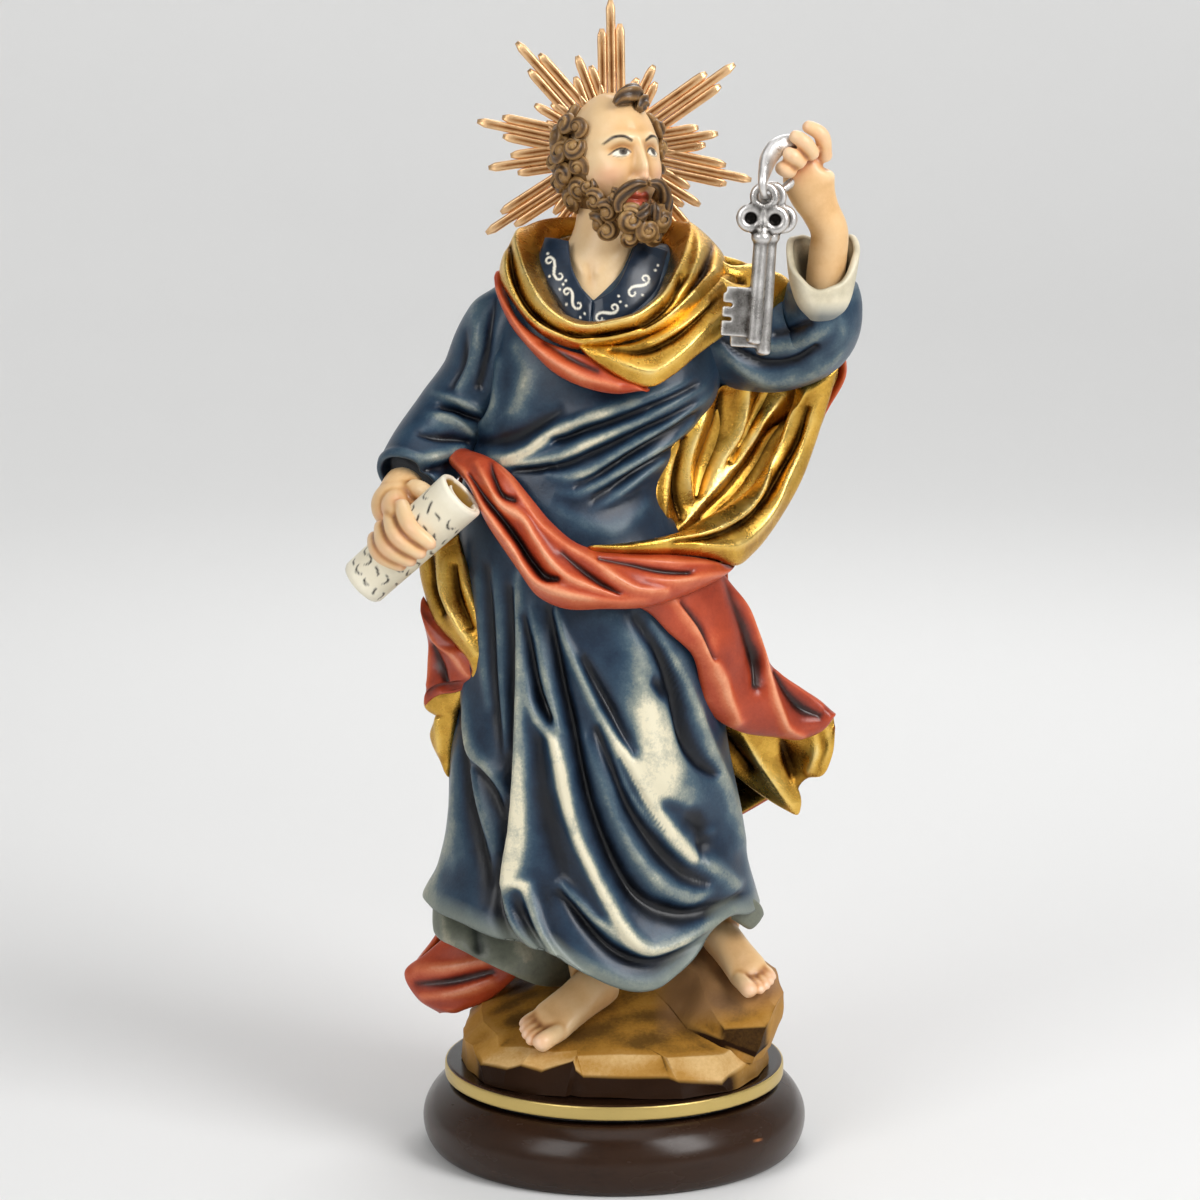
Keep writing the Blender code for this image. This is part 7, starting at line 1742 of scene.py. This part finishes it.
def hoop(rows, around=30, steps=200):
    """Closed wire: an oval carried along a smooth closed path."""
    rows = np.array(rows, float)
    wrapped = smooth_line(np.concatenate([rows[-3:], rows, rows[:3]]), 4 * steps)
    gap = np.linalg.norm(wrapped[:, None, :3] - rows[None, [0], :3], axis=-1)[:, 0]
    first = gap[: 2 * steps].argmin()
    last = 2 * steps + gap[2 * steps:].argmin()
    line = wrapped[np.linspace(first, last, steps, endpoint=False).astype(int)]
    centre, middle = line[:, :3], line[:, :3].mean(axis=0)
    tangent = unit(np.roll(centre, -1, axis=0) - np.roll(centre, 1, axis=0))
    outwards = centre - middle
    outwards = unit(outwards - (outwards * tangent).sum(-1, keepdims=True) * tangent)
    side = np.cross(tangent, outwards)
    turn = np.linspace(0, 2 * math.pi, around, endpoint=False)[None, :, None]
    ring = centre[:, None] + np.cos(turn) * (outwards * line[:, 3:4])[:, None]
    ring = ring + np.sin(turn) * (side * line[:, 4:5])[:, None]
    points, faces = ring.reshape(-1, 3), wheel_faces(steps, around)
    return points, faces if np.linalg.det(points[faces[:, :3]]).sum() > 0 else faces[:, ::-1]


def triangles(surface):
    """The same surface with each four-sided face cut in two."""
    points, faces = surface
    return points, np.concatenate([faces[:, [0, 1, 2]], faces[:, [0, 2, 3]]])


def eyelet(x, z, ring, wire, flat=1.0):
    """Flattened ring round a hole whose axis is Y."""
    turn = np.linspace(0, 2 * math.pi, 12, endpoint=False)
    rows = [(x + ring * math.cos(t), 0, z + ring * math.sin(t), wire, wire * flat) for t in turn]
    return triangles(hoop(rows, 20, 60))


def slab(low, high):
    """Box between two corners, as one ring of four points below and one above."""
    (x0, y0, z0), (x1, y1, z1) = low, high
    ring = np.array([(x0, y0), (x1, y0), (x1, y1), (x0, y1)], float)
    return shell([np.column_stack([ring, np.full(4, z0)]), np.column_stack([ring, np.full(4, z1)])])


def cast_key(hole, slant, length):
    """Key in its own frame (bow in the plane of X and Z): rings, rods and boxes melted into one skin,
    then slanted about Y and moved to hang from the hole."""
    foot = 11.0 - length
    shells = [eyelet(0, HOLE_RISE, LOBE_RING, LOBE_WIRE, 1.1), eyelet(-3.6, -1, 2.9, 1.45, 1.0),
              eyelet(3.6, -1, 2.9, 1.45, 1.0), ball((-3.6, 0.5, -1), (2.6, 0.7, 2.6)),
              ball((3.6, 0.5, -1), (2.6, 0.7, 2.6)),
              rod([(0, 0, 2.6, 1.5), (0, 0, -3, 1.9), (0, 0, -5, 1.9)], (0, 1, 0)),
              swept([(0, 0, -4, 2.25), (0, 0, (foot - 4) / 2, 2.25), (0, 0, foot, 2.25)], steps=12,
                    around=32)[:2],
              rod([(0, 0, -8.2, 2.5), (0, 0, -6.4, 3.1), (0, 0, -4.8, 2.5)], steps=12, around=30),
              rod([(0, 0, foot + 1.4, 1.9), (0, 0, foot - 0.2, 2.3), (0, 0, foot - 1.2, 1.5)], steps=12,
                  around=30), slab((-7.0, -1.2, foot + 1.0), (0, 1.2, foot + 15.5)),
              slab((-10, -1.2, foot + 1.0), (-6.5, 1.2, foot + 5.4)),
              slab((-10, -1.2, foot + 6.6), (-6.5, 1.2, foot + 9.6)),
              slab((-10, -1.2, foot + 10.8), (-6.5, 1.2, foot + 13.6)),
              slab((-9.0, -1.2, foot + 13.0), (-6.5, 1.2, foot + 15.5))]
    points, faces = one_skin(shells, 0.36, 2)
    x, y, z = points.T
    z = z - HOLE_RISE
    x, z = x * math.cos(slant) + z * math.sin(slant), z * math.cos(slant) - x * math.sin(slant)
    blind = [(-3.6, -1 - HOLE_RISE), (3.6, -1 - HOLE_RISE)]
    own = np.column_stack([points[:, 0], points[:, 2] - HOLE_RISE])
    spots = [np.clip((2.0 - np.hypot(own[:, 0] - px, own[:, 1] - pz)) * 2, 0, 1) for px, pz in blind]
    black = sum(spots) * (points[:, 1] > -1.15)
    return (np.stack([x, y, z], -1) + np.asarray(hole), faces), black


silver_tones = [(0.0, (0.012, 0.010, 0.009)), (0.30, (0.07, 0.062, 0.055)), (0.48, (0.27, 0.255, 0.24)),
                (0.70, (0.55, 0.53, 0.51)), (1.0, (0.90, 0.88, 0.86))]
aged_silver = coating("aged_silver", silver_tones, 0.30, metallic=0.92, cloud=0.3, cloud_size=5,
                      fine_size=0.5, bump=0.30, layers=[("black", (0.008, 0.007, 0.006))])
ring_surface = hoop(RING_PATH)
finished("silver_ring", ring_surface, aged_silver, "key_silver", "key_ring",
         worn=edge_and_hollow(*ring_surface, 0.5, 20), black=np.zeros(len(ring_surface[0])))
for name, node, values in (("front_silver_key", "front_key", FRONT_KEY),
                           ("back_silver_key", "back_key", BACK_KEY)):
    key_surface, black = cast_key(*values)
    finished(name, key_surface, aged_silver, "key_silver", node, worn=edge_and_hollow(*key_surface, 0.16, 6),
             black=np.clip(black, 0, 1))
